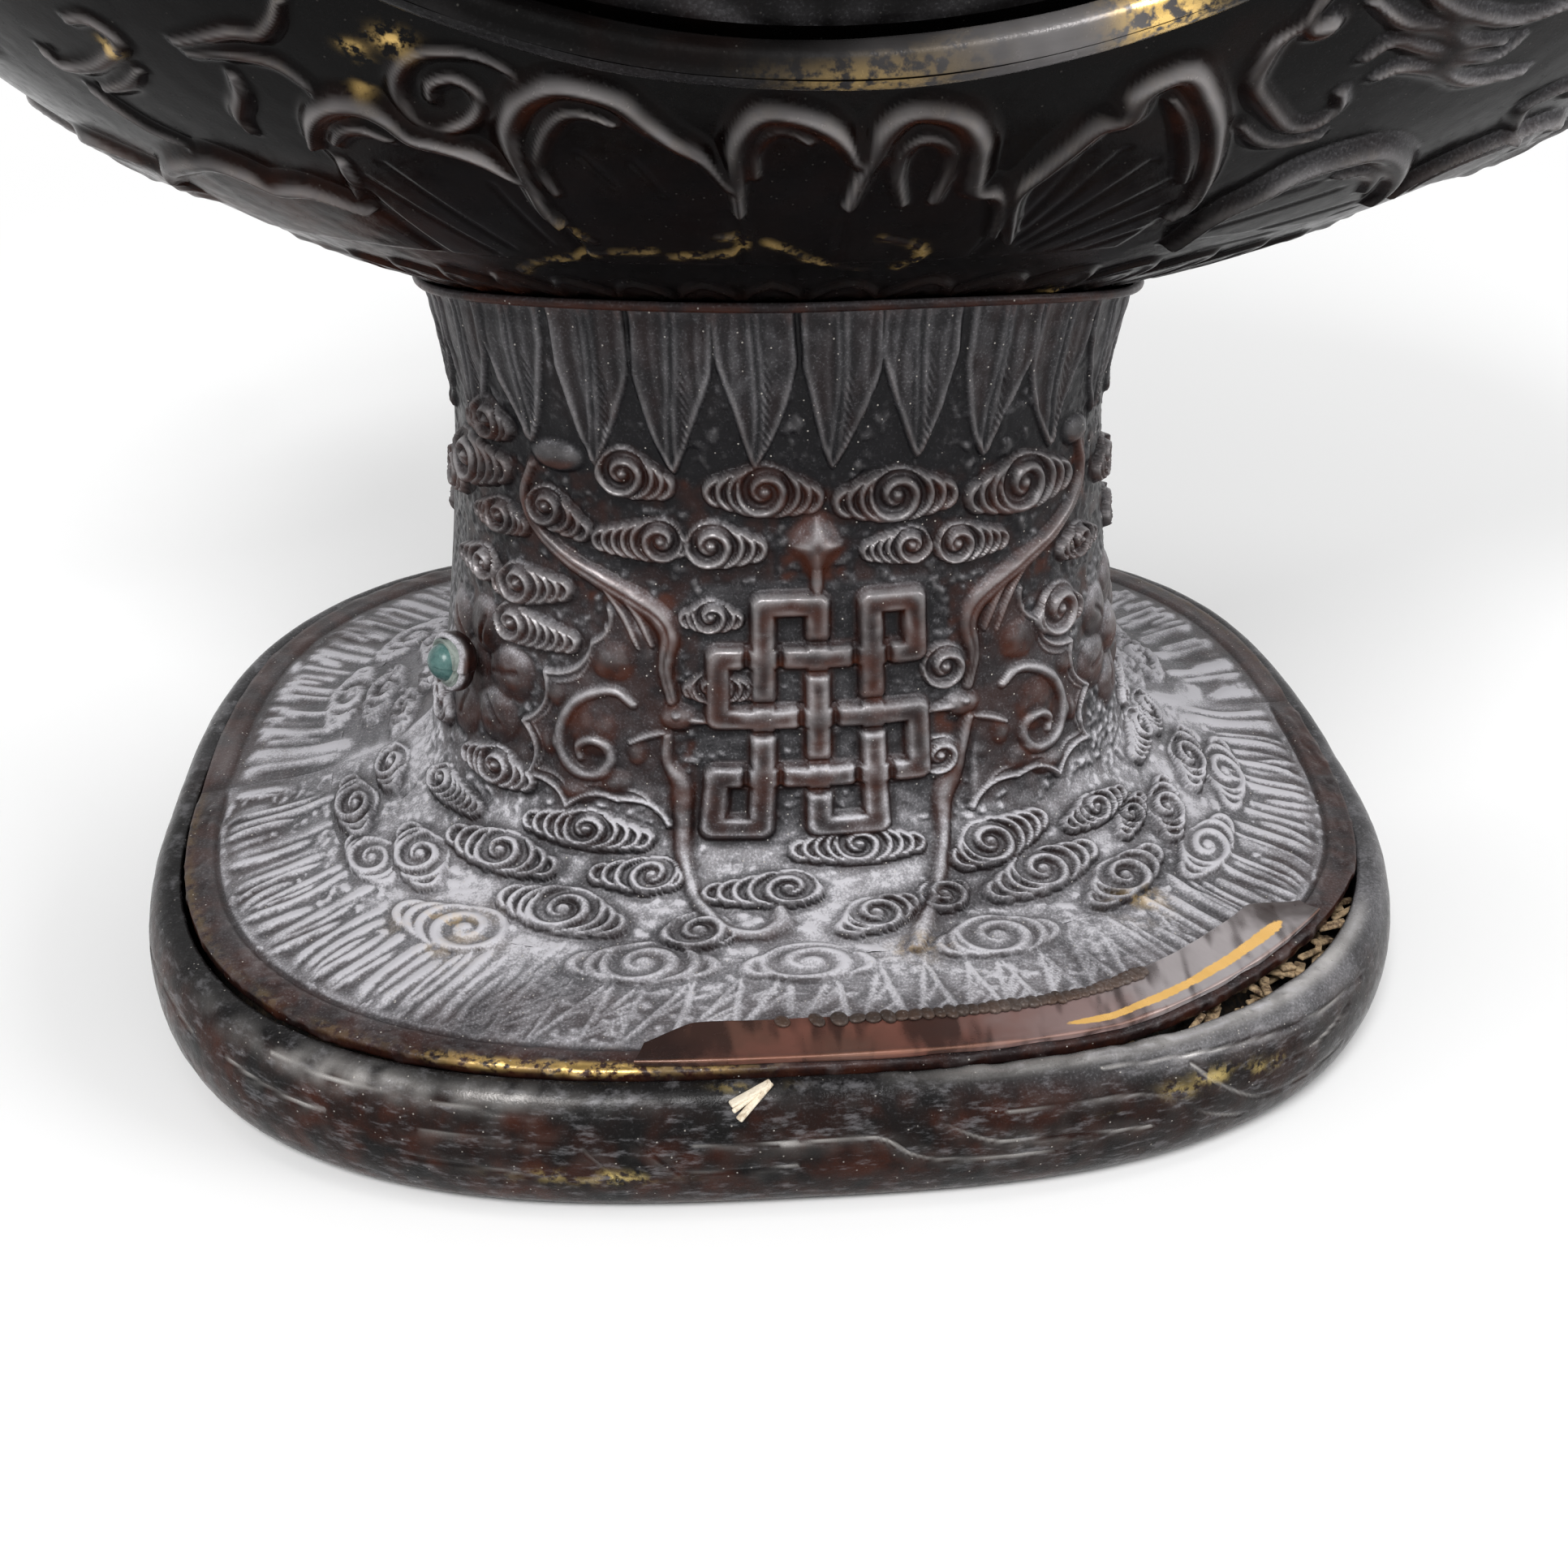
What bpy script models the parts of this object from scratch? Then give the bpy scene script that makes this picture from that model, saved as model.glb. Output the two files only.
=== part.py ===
"""Ritual ewer of embossed copper sheet: packed foot, bellied body, spout, handle and hinged lid.

Metres, +Z up. The origin is the middle of the foot's underside, the spout points along +X and
the front of the body faces -Y.
"""

import math

import bmesh
import bpy
from mathutils import Matrix, Vector

MM = 0.001

# Sheet and fits
SHEET = 1.2 * MM
GAP = 0.3 * MM
PIN_PLAY = 0.3 * MM
PLUG_PLAY = 1.0 * MM

# Foot rim: rounded band round the bottom edge
RIM_HALF_WIDTH = 77.5 * MM
RIM_HEIGHT = 15.4 * MM
RIM_TOP_INSET = 3.6 * MM
RIM_BASE_INSET = 3.4 * MM
RIM_FLANGE = 8.0 * MM
RIM_POWER = 2.85

# Foot shell: stem, apron and border, measured across the width
FOOT_DEPTH_LESS = 9.0 * MM
STEM_CENTRE = 1.8 * MM
STEM_TOP_HALF_WIDTH = 39.4 * MM
STEM_WAIST_HALF_WIDTH = 37.8 * MM
STEM_WAIST_HEIGHT = 64.0 * MM
STEM_LOW_HALF_WIDTH = 42.4 * MM
STEM_LOW_HEIGHT = 31.0 * MM
COVE_HALF_WIDTH = 47.5 * MM
COVE_HEIGHT = 22.0 * MM
APRON_HALF_WIDTH = 58.0 * MM
APRON_HEIGHT = 17.6 * MM
BORDER_WIDTH = 6.4 * MM
STEM_POWER = 2.35

# Split seam between border and rim, front right
SPLIT_ANGLE = math.radians(-46)
SPLIT_SPREAD = math.radians(24)
SPLIT_WIDTH = 3.6 * MM

# Border strip, base plate and packing
STRIP_START = math.radians(-98)
STRIP_END = math.radians(-36)
STRIP_WIDTH = 5.6 * MM
STRIP_THICK = 0.7 * MM
BASE_THICK = 1.5 * MM
PACKING_CLEAR = 1.0 * MM
PACKING_TOP = 58.0 * MM

# Beads on the two sides of the stem
BEAD_HEIGHT = 40.0 * MM
BEAD_ANGLE = math.radians(209)
BEAD_RADIUS = 2.2 * MM
COLLET_WALL = 1.0 * MM
COLLET_DEPTH = 2.4 * MM

# Body
BODY_HALF_WIDTH = 110.5 * MM
BODY_SPOUT_HALF_WIDTH = 131.0 * MM
BODY_HALF_DEPTH = 68.0 * MM
BODY_LOW_HEIGHT = 89.0 * MM
BODY_BOTTOM = 75.8 * MM
BODY_TOP_HEIGHT = 88.0 * MM
SHOULDER_POWER = 1.2
COLLAR_WIRE_RADIUS = 0.5 * MM

# Medallions on front and back
MEDALLION_HALF_WIDTH = 68.0 * MM
MEDALLION_HALF_HEIGHT = 54.0 * MM
MEDALLION_RISE = 2.2 * MM
MEDALLION_WIRE_RADIUS = 1.8 * MM
MEDALLION_THICK = 1.0 * MM

# Neck and mouth
NECK_RADIUS = 20.5 * MM
NECK_WAIST_RADIUS = 17.8 * MM
NECK_SUNK = 5.0 * MM
NECK_HEIGHT = 53.0 * MM
MOUTH_RADIUS = 21.0 * MM
MOUTH_STRAIGHT = 10.0 * MM
MOUTH_FLANGE_WIDTH = 4.8 * MM
MOUTH_FLANGE_HEIGHT = 6.0 * MM
NECK_COLLAR_WIDTH = 6.0 * MM
NECK_COLLAR_HEIGHT = 5.5 * MM

# Lid
LID_BRIM_WIDTH = 8.5 * MM
LID_DOME_HEIGHT = 23.0 * MM
LID_PLUG_DEPTH = 5.5 * MM
SHANK_RADIUS = 2.2 * MM
FINIAL_HEIGHT = 24.0 * MM
FINIAL_RADIUS = 7.5 * MM
FINIAL_BEAD_RADIUS = 4.2 * MM
WASHER_RADIUS = 5.0 * MM
WASHER_THICK = 1.2 * MM

# Lid hinge
HINGE_PIN_RADIUS = 1.5 * MM
HINGE_KNUCKLE_RADIUS = 3.0 * MM
HINGE_REACH = 4.5 * MM
HINGE_RISE = 1.2 * MM
HINGE_HALF_LENGTH = 8.0 * MM
HINGE_STRAP_HALF_WIDTH = 3.0 * MM
HINGE_STRAP_LENGTH = 7.0 * MM
HINGE_STRAP_THICK = 1.4 * MM
HINGE_SEAT_DROP = 8.0 * MM

# Spout
SPOUT_HEIGHT = 136.0 * MM
SPOUT_BASE_RADIUS = 14.0 * MM
SPOUT_TIP_RADIUS = 7.0 * MM
SPOUT_REACH = 60.0 * MM
SPOUT_RISE = 146.0 * MM
SPOUT_WALL = 1.5 * MM
SPOUT_LIP_WIDTH = 1.8 * MM
SPOUT_LIP_HEIGHT = 5.0 * MM
MASK_HALF_HEIGHT = 30.0 * MM
MASK_HALF_WIDTH = 27.0 * MM
MASK_HALF_LENGTH = 34.0 * MM
MASK_SUNK = 15.0 * MM
MASK_DROP = 4.0 * MM
SOCKET_DEPTH = 7.0 * MM

# Handle
HANDLE_HEIGHT = 142.0 * MM
HANDLE_TOP_RISE = 18.5 * MM
HANDLE_REACH = 50.0 * MM
HANDLE_HALF_WIDTH = 6.5 * MM
HANDLE_HALF_THICK = 4.5 * MM
HANDLE_MASK_HALF_HEIGHT = 22.0 * MM
HANDLE_MASK_HALF_WIDTH = 17.0 * MM
HANDLE_MASK_HALF_LENGTH = 24.0 * MM
HANDLE_MASK_SUNK = 9.0 * MM
CLASP_THICK = 2.0 * MM
CLASP_HEIGHT = 11.0 * MM

# Relief of the body: turn about the neck, dip below the widest level and half width, in degrees
PETAL_RISE = 1.1 * MM
PETAL_ROOT = 0.6 * MM
BELLY_PETAL_BASE = 52.5
BELLY_PETALS = (
    (190.0, 46.0, 7.0),
    (207.0, 47.0, 7.0),
    (224.0, 46.5, 7.0),
    (243.5, 40.2, 6.5),
    (256.5, 39.0, 6.2),
    (267.8, 40.2, 3.4),
    (275.8, 40.0, 3.8),
    (286.0, 38.5, 6.0),
    (305.5, 47.3, 5.5),
    (322.0, 46.0, 7.0),
    (338.0, 47.0, 7.0),
    (353.0, 46.0, 6.0),
)
BELLY_CURLS = (
    (210.0, 36.0, 4.0),
    (227.0, 38.5, 4.5),
    (249.5, 38.5, 2.2),
    (295.0, 41.0, 3.0),
    (325.0, 36.0, 4.0),
)
SHOULDER_PETALS = 9
SHOULDER_PETAL_TIP = -52.0
SHOULDER_PETAL_BASE = -76.0
SHOULDER_PETAL_HALF = 9.0

# Facets
FOOT_SIDES = 40
BODY_SIDES = 18
BODY_ROWS = 16
TURNED_SIDES = 24
TUBE_SIDES = 12
SMALL_SIDES = 16

# Sizes that follow from the ones above
BODY_MID = BODY_BOTTOM + BODY_LOW_HEIGHT
BODY_TOP = BODY_MID + BODY_TOP_HEIGHT
NECK_HOLE_RADIUS = NECK_RADIUS + GAP
NECK_BOTTOM = BODY_TOP - NECK_SUNK
MOUTH_TOP = BODY_TOP + NECK_HEIGHT
FLANGE_RADIUS = MOUTH_RADIUS + GAP + MOUTH_FLANGE_WIDTH
LID_BOTTOM = MOUTH_TOP + GAP
HINGE_X = -(FLANGE_RADIUS + HINGE_REACH)
HINGE_Z = LID_BOTTOM + SHEET + HINGE_RISE
BORDER_EDGE_INSET = RIM_TOP_INSET + SHEET + GAP
HANDLE_TOP_HEIGHT = BODY_TOP + HANDLE_TOP_RISE

COPPER = ("patina_copper", (0.045, 0.032, 0.027), 0.36, 0.85)
RIM_COPPER = ("rim_copper", (0.075, 0.050, 0.040), 0.42, 0.8)
STRIP_COPPER = ("strip_copper", (0.23, 0.125, 0.10), 0.4, 0.85)
GILT = ("gilt_copper", (0.36, 0.235, 0.09), 0.34, 0.9)
BASE_METAL = ("base_copper", (0.11, 0.07, 0.05), 0.5, 0.8)
STRAW = ("straw_packing", (0.33, 0.23, 0.13), 0.9, 0.0)
TURQUOISE = ("turquoise_bead", (0.10, 0.36, 0.37), 0.3, 0.0)
PIN_METAL = ("hinge_pin_copper", (0.17, 0.11, 0.07), 0.35, 0.9)


def clear_scene():
    """Empties the scene."""
    for obj in list(bpy.data.objects):
        bpy.data.objects.remove(obj, do_unlink=True)


def material(finish):
    """The material of a finish, made once."""
    name, colour, roughness, metallic = finish
    made = bpy.data.materials.get(name)
    if made is None:
        made = bpy.data.materials.new(name)
        made.use_nodes = True
        shader = made.node_tree.nodes["Principled BSDF"]
        shader.inputs["Base Color"].default_value = (*colour, 1.0)
        shader.inputs["Roughness"].default_value = roughness
        shader.inputs["Metallic"].default_value = metallic
    made.diffuse_color = (*colour, 1.0)
    return made


def add_empty(name, place, parent=None):
    """An axis that pieces hang on."""
    axis = bpy.data.objects.new(name, None)
    axis.location = place
    axis.parent = parent
    bpy.context.scene.collection.objects.link(axis)
    return axis


def upper():
    """The upright axis of everything above the foot."""
    return bpy.data.objects["upper_axis"]


def add_mesh(name, bm, finish, parent=None):
    """Puts a bmesh in the scene as a smooth-shaded node."""
    bmesh.ops.remove_doubles(bm, verts=bm.verts, dist=1e-6)
    bmesh.ops.recalc_face_normals(bm, faces=bm.faces)
    mesh = bpy.data.meshes.new(name)
    bm.to_mesh(mesh)
    bm.free()
    for polygon in mesh.polygons:
        polygon.use_smooth = True
    obj = bpy.data.objects.new(name, mesh)
    bpy.context.scene.collection.objects.link(obj)
    mesh.materials.append(material(finish))
    if parent is not None:
        obj.parent = parent
        if parent is not upper():
            obj.matrix_parent_inverse = Matrix.Translation(parent.location).inverted()
    return obj


def as_cutter(obj):
    """Marks an object as a cutter."""
    obj.hide_render = True
    obj.display_type = "WIRE"
    return obj


def boolean(obj, other, operation="DIFFERENCE"):
    """Cuts an object with another, or joins the two."""
    modifier = obj.modifiers.new(operation.lower(), "BOOLEAN")
    modifier.operation = operation
    modifier.solver = "EXACT"
    modifier.object = other


def skin(bm, rings, closed=False, caps=True):
    """Faces between rings of points; a closed run joins the last ring to the first."""
    rows = [[bm.verts.new(point) for point in ring] for ring in rings]
    count = len(rows[0])
    last = len(rows) if closed else len(rows) - 1
    for row in range(last):
        low, high = rows[row], rows[(row + 1) % len(rows)]
        for side in range(count):
            after = (side + 1) % count
            bm.faces.new((low[side], low[after], high[after], high[side]))
    if caps and not closed:
        bm.faces.new(list(reversed(rows[0])))
        bm.faces.new(rows[-1])


def oval(half_width, half_depth, power, angle):
    """A point of a rounded-rectangle outline."""
    across, along = math.cos(angle), math.sin(angle)
    x = math.copysign(abs(across) ** (2.0 / power), across) * half_width
    y = math.copysign(abs(along) ** (2.0 / power), along) * half_depth
    return x, y


def smooth_curve(points, steps):
    """Points of a smooth curve through a few points, as many steps between each pair."""
    ends = [2 * points[0] - points[1], *points, 2 * points[-1] - points[-2]]
    curve = []
    for index in range(1, len(ends) - 2):
        before, start, end, after = ends[index - 1 : index + 3]
        for step in range(steps):
            t = step / steps
            near = start * 2.0 + (end - before) * t
            bend = (before * 2.0 - start * 5.0 + end * 4.0 - after) * t * t
            turn = (start * 3.0 - before - end * 3.0 + after) * t * t * t
            curve.append((near + bend + turn) * 0.5)
    curve.append(points[-1])
    return curve


def offset_curve(points, distance):
    """A plane curve moved sideways, to the right of its direction."""
    moved = []
    for index, point in enumerate(points):
        ahead = points[min(index + 1, len(points) - 1)]
        behind = points[max(index - 1, 0)]
        run = (ahead - behind).normalized()
        moved.append(point + Vector((run.y, -run.x)) * distance)
    return moved


def body_half(x):
    """Half-width of the body on the side of a point: fuller towards the spout."""
    return BODY_SPOUT_HALF_WIDTH if x > 0.0 else BODY_HALF_WIDTH


def body_low(x, y):
    """Height of the body's underside over a point, and how steep it is there."""
    x = x - STEM_CENTRE
    inside = 1.0 - (x / body_half(x)) ** 2 - (y / BODY_HALF_DEPTH) ** 2
    root = math.sqrt(max(inside, 1e-6))
    slope_x = BODY_LOW_HEIGHT * x / (body_half(x) ** 2 * root)
    slope_y = BODY_LOW_HEIGHT * y / (BODY_HALF_DEPTH**2 * root)
    return BODY_MID - BODY_LOW_HEIGHT * root, math.sqrt(1.0 + slope_x**2 + slope_y**2)


def body_point(lift, turn, grow=0.0):
    """A point of the body's outside at a rise angle and a turn about the neck."""
    half = body_half(math.cos(turn))
    if lift < 0.0:
        across = half * math.cos(lift)
        along = BODY_HALF_DEPTH * math.cos(lift)
        height = BODY_LOW_HEIGHT * math.sin(lift)
    else:
        share = max(math.cos(lift), 0.0) ** SHOULDER_POWER
        across = NECK_HOLE_RADIUS + (half - NECK_HOLE_RADIUS) * share
        along = NECK_HOLE_RADIUS + (BODY_HALF_DEPTH - NECK_HOLE_RADIUS) * share
        height = BODY_TOP_HEIGHT * math.sin(lift)
    point = Vector((across * math.cos(turn), along * math.sin(turn), BODY_MID + height))
    upright = BODY_LOW_HEIGHT if lift < 0.0 else BODY_TOP_HEIGHT
    level = 1.0 if lift < 0.0 else min(1.0, 2.0 * max(math.cos(lift), 0.0))
    out = Vector(
        (
            level * point.x / half**2,
            level * point.y / BODY_HALF_DEPTH**2,
            height / upright**2,
        )
    )
    return point + out.normalized() * grow


def body_front(x, z):
    """Depth of the body's front at a place on it, as a positive distance from the middle."""
    height = z - BODY_MID
    if height < 0.0:
        inside = 1.0 - (x / body_half(x)) ** 2 - (height / BODY_LOW_HEIGHT) ** 2
        return BODY_HALF_DEPTH * math.sqrt(max(inside, 0.0))
    share = (1.0 - (height / BODY_TOP_HEIGHT) ** 2) ** (SHOULDER_POWER / 2)
    across = NECK_HOLE_RADIUS + (body_half(x) - NECK_HOLE_RADIUS) * share
    along = NECK_HOLE_RADIUS + (BODY_HALF_DEPTH - NECK_HOLE_RADIUS) * share
    return along * math.sqrt(max(1.0 - (x / across) ** 2, 0.0))


def body_front_out(x, z, grow):
    """A point standing off the body's front along its normal."""
    step = 0.5 * MM
    slope_x = (body_front(x + step, z) - body_front(x - step, z)) / (2 * step)
    slope_z = (body_front(x, z + step) - body_front(x, z - step)) / (2 * step)
    out = Vector((-slope_x, -1.0, -slope_z)).normalized()
    return Vector((x, -body_front(x, z), z)) + out * grow


def foot_profile():
    """Outer edge of the foot shell from the stem's top to the border, as half-width and height."""
    border_out = RIM_HALF_WIDTH - BORDER_EDGE_INSET
    bends = [
        Vector((STEM_TOP_HALF_WIDTH, body_low(STEM_CENTRE + STEM_TOP_HALF_WIDTH, 0.0)[0])),
        Vector((STEM_WAIST_HALF_WIDTH, STEM_WAIST_HEIGHT)),
        Vector((STEM_LOW_HALF_WIDTH, STEM_LOW_HEIGHT)),
        Vector((COVE_HALF_WIDTH, COVE_HEIGHT)),
        Vector((APRON_HALF_WIDTH, APRON_HEIGHT)),
        Vector((border_out - BORDER_WIDTH, RIM_HEIGHT + SHEET)),
        Vector((border_out, RIM_HEIGHT + SHEET * 0.6)),
    ]
    return smooth_curve(bends[:4], 3)[:-1] + smooth_curve(bends[3:], 2)[:-2] + bends[-1:]


def foot_ring(half_width, height, angles, share, top_follow=0.0, drop=0.0, split=0.0):
    """One ring of the foot; the top ring follows the body, the edge ring yields to the split."""
    power = STEM_POWER + (RIM_POWER - STEM_POWER) * share
    centre = STEM_CENTRE * (1.0 - share)
    ring = []
    for angle in angles:
        wide = half_width - split * split_open(angle)
        x, y = oval(wide, wide - FOOT_DEPTH_LESS, power, angle)
        low, steep = body_low(x + centre, y)
        z = height + top_follow * (low - GAP * steep - drop - height)
        ring.append(Vector((x + centre, y, z)))
    return ring


def foot_share(half_width):
    """How far a ring lies from the stem (0) to the rim (1)."""
    reach = (half_width - STEM_LOW_HALF_WIDTH) / (RIM_HALF_WIDTH - STEM_LOW_HALF_WIDTH)
    return min(max(reach, 0.0), 1.0) ** 0.8


def turns(sides):
    """Angles round a full turn."""
    return [2 * math.pi * side / sides for side in range(sides)]


def build_foot_shell():
    """Stem, apron and border in one sheet."""
    outer = foot_profile()
    inner = offset_curve(outer, SHEET)
    rings = []
    angles = turns(FOOT_SIDES)
    for curve in (outer, list(reversed(inner))):
        for place, point in enumerate(curve):
            index = place if curve is outer else len(curve) - 1 - place
            wide, height = point.x, point.y
            if index == len(outer) - 1:
                wide, height = outer[-1].x, outer[-1].y
                height -= 0.0 if curve is outer else SHEET
            follow = 1.0 if index == 0 else 0.35 if index == 1 else 0.0
            drop = 0.0 if index == 0 else (outer[0].y - outer[1].y) * 1.2
            split = SPLIT_WIDTH if index == len(outer) - 1 else 0.0
            share = foot_share(outer[index].x)
            rings.append(foot_ring(wide, height, angles, share, follow, drop, split))
    bm = bmesh.new()
    skin(bm, rings, closed=True)
    return add_mesh("foot_shell", bm, COPPER)


def build_foot_rim():
    """Rolled band: rounded outside, flat flange underneath."""
    arc = []
    steps = 6
    top = Vector((RIM_HALF_WIDTH - RIM_TOP_INSET, RIM_HEIGHT))
    low = Vector((RIM_HALF_WIDTH - RIM_BASE_INSET, 0.0))
    for step in range(steps + 1):
        t = math.pi * step / steps
        height = RIM_HEIGHT * (1.0 + math.cos(t)) / 2
        inset = RIM_TOP_INSET if t < math.pi / 2 else RIM_BASE_INSET
        arc.append(Vector((RIM_HALF_WIDTH - inset * (1.0 - math.sin(t)), height)))
    arc[0], arc[-1] = top, low
    inner = offset_curve(arc, SHEET)
    inner[0] = top + Vector((-SHEET, 0.0))
    inner[-1] = low + Vector((-SHEET, SHEET))
    flange = [low + Vector((-RIM_FLANGE, 0.0)), low + Vector((-RIM_FLANGE, SHEET))]
    angles = turns(FOOT_SIDES)
    rings = []
    for point in [*arc, *flange, *reversed(inner)]:
        wide = point.x
        rings.append(
            [
                Vector((*oval(wide, wide - FOOT_DEPTH_LESS, RIM_POWER, angle), point.y))
                for angle in angles
            ]
        )
    bm = bmesh.new()
    skin(bm, rings, closed=True)
    return add_mesh("foot_rim", bm, RIM_COPPER)


def build_border_strip():
    """Copper strip laid over the border along the front right, open where the seam has split."""
    border_out = RIM_HALF_WIDTH - BORDER_EDGE_INSET
    profile = foot_profile()
    steps = 14
    rings = []
    for step in range(steps + 1):
        angle = STRIP_START + (STRIP_END - STRIP_START) * step / steps
        ring = []
        for lift, share in ((0, 0.0), (0, 0.5), (0, 1.0), (1, 1.0), (1, 0.5), (1, 0.0)):
            wide = border_out - STRIP_WIDTH * (1.0 - share) - GAP
            height = profile_height(profile, wide) + GAP * 1.4 + STRIP_THICK * lift
            spread = foot_share(wide)
            power = STEM_POWER + (RIM_POWER - STEM_POWER) * spread
            wide -= SPLIT_WIDTH * split_open(angle)
            x, y = oval(wide, wide - FOOT_DEPTH_LESS, power, angle)
            ring.append(Vector((x + STEM_CENTRE * (1.0 - spread), y, height)))
        rings.append(ring)
    bm = bmesh.new()
    skin(bm, rings)
    return add_mesh("foot_border_strip", bm, STRIP_COPPER)


def split_open(angle):
    """How far the seam stands open at an angle round the foot, from 0 to 1."""
    turn = (angle - SPLIT_ANGLE + math.pi) % (2 * math.pi) - math.pi
    return max(math.cos(min(abs(turn) / SPLIT_SPREAD, 1.0) * math.pi / 2), 0.0)


def profile_height(profile, wide):
    """Height of the foot's profile at a half-width out on the apron."""
    for near, far in zip(profile, profile[1:]):
        if near.x <= wide <= far.x and far.x > STEM_LOW_HALF_WIDTH:
            t = (wide - near.x) / max(far.x - near.x, 1e-9)
            return near.y + (far.y - near.y) * t
    return profile[-1].y


def build_base_plate():
    """Plate that closes the underside inside the rim's flange."""
    wide = RIM_HALF_WIDTH - RIM_BASE_INSET - RIM_FLANGE - GAP
    bm = bmesh.new()
    rings = [
        [
            Vector((*oval(wide, wide - FOOT_DEPTH_LESS, RIM_POWER, angle), height))
            for angle in turns(FOOT_SIDES)
        ]
        for height in (0.0, BASE_THICK)
    ]
    skin(bm, rings)
    return add_mesh("base_plate", bm, BASE_METAL)


def build_packing():
    """Straw loaf that fills the foot."""
    outer = foot_profile()
    limit = RIM_HALF_WIDTH - RIM_BASE_INSET - SHEET - PACKING_CLEAR
    inner = offset_curve(outer, SHEET + PACKING_CLEAR)
    stem = [point for point in inner[2:-1] if point.y < PACKING_TOP]
    base = max(BASE_THICK, SHEET) + GAP
    low = limit - RIM_FLANGE * 0.2
    rows = [Vector((low, base)), Vector((limit, RIM_HEIGHT * 0.4)), *reversed(stem[1:])]
    angles = turns(FOOT_SIDES // 2)
    rings = []
    for row in rows:
        share = foot_share(row.x + SHEET)
        rings.append(foot_ring(row.x, row.y, angles, share))
    bm = bmesh.new()
    skin(bm, rings)
    return add_mesh("foot_packing", bm, STRAW)


def stem_spot(angle, height):
    """A place on the stem's outside with its outward direction."""
    profile = foot_profile()
    wide = STEM_LOW_HALF_WIDTH
    lean = 0.0
    for near, far in zip(profile, profile[1:]):
        if far.y <= height <= near.y:
            t = (height - near.y) / (far.y - near.y)
            wide = near.x + (far.x - near.x) * t
            lean = (far.x - near.x) / (near.y - far.y)
            break
    def at(turn):
        x, y = oval(wide, wide - FOOT_DEPTH_LESS, STEM_POWER, turn)
        return Vector((x + STEM_CENTRE, y, height))
    run = at(angle + 0.02) - at(angle - 0.02)
    out = Vector((run.y, -run.x, 0.0)).normalized()
    return at(angle), (out + Vector((0.0, 0.0, lean))).normalized()


def turned(bm, profile, sides):
    """Spins a closed profile of radius and height points about the upright axis."""
    verts = [bm.verts.new((point[0], 0.0, point[1])) for point in profile]
    edges = [bm.edges.new((verts[i - 1], verts[i])) for i in range(len(verts))]
    bmesh.ops.spin(
        bm,
        geom=verts + edges,
        axis=(0.0, 0.0, 1.0),
        cent=(0.0, 0.0, 0.0),
        angle=2 * math.pi,
        steps=sides,
        use_merge=True,
    )
    bmesh.ops.remove_doubles(bm, verts=bm.verts, dist=1e-6)
    loose = [edge for edge in bm.edges if not edge.link_faces]
    bmesh.ops.delete(bm, geom=loose, context="EDGES")


def solid_turned(bm, profile, sides):
    """Spins an open profile whose two ends lie on the axis."""
    verts = [bm.verts.new((point[0], 0.0, point[1])) for point in profile]
    edges = [bm.edges.new((verts[i], verts[i + 1])) for i in range(len(verts) - 1)]
    bmesh.ops.spin(
        bm,
        geom=verts + edges,
        axis=(0.0, 0.0, 1.0),
        cent=(0.0, 0.0, 0.0),
        angle=2 * math.pi,
        steps=sides,
        use_merge=True,
    )
    bmesh.ops.remove_doubles(bm, verts=bm.verts, dist=1e-6)


def build_beads():
    """A collet and its bead on each side of the stem."""
    for side, angle in (("left", BEAD_ANGLE), ("right", BEAD_ANGLE - math.pi)):
        spot, out = stem_spot(angle, BEAD_HEIGHT)
        stand = Matrix.Translation(spot) @ out.to_track_quat("Z", "Y").to_matrix().to_4x4()
        rim = BEAD_RADIUS + GAP + COLLET_WALL
        floor = GAP + COLLET_WALL * 0.8 + rim * rim / (2 * STEM_LOW_HALF_WIDTH) * 1.6
        bm = bmesh.new()
        cup = [
            (0.0, floor - COLLET_WALL * 0.8),
            (rim * 0.8, floor - COLLET_WALL * 0.8),
            (rim, floor),
            (rim, floor + COLLET_DEPTH * 0.7),
            (rim - COLLET_WALL * 0.4, floor + COLLET_DEPTH),
            (BEAD_RADIUS + GAP, floor + COLLET_DEPTH * 0.9),
            (BEAD_RADIUS + GAP, floor),
            (0.0, floor),
        ]
        solid_turned(bm, cup, SMALL_SIDES)
        bmesh.ops.transform(bm, matrix=stand, verts=bm.verts)
        add_mesh(f"{side}_collet", bm, GILT)
        bm = bmesh.new()
        lift = Matrix.Translation((0.0, 0.0, floor + GAP + BEAD_RADIUS))
        bmesh.ops.create_uvsphere(
            bm, u_segments=SMALL_SIDES, v_segments=8, radius=BEAD_RADIUS, matrix=stand @ lift
        )
        add_mesh(f"{side}_bead", bm, TURQUOISE)


def tube_along(path, radii, sides, squash=1.0):
    """Rings round a plane path in the XZ plane; squash narrows them in the plane."""
    rings = []
    for index, point in enumerate(path):
        ahead = path[min(index + 1, len(path) - 1)]
        behind = path[max(index - 1, 0)]
        run = (ahead - behind).normalized()
        side = Vector((0.0, 1.0, 0.0))
        up = run.cross(side)
        ring = []
        for angle in turns(sides):
            wide = side * math.cos(angle) * radii[index]
            ring.append(point + wide + up * math.sin(angle) * radii[index] * squash)
        rings.append(ring)
    return rings


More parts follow.
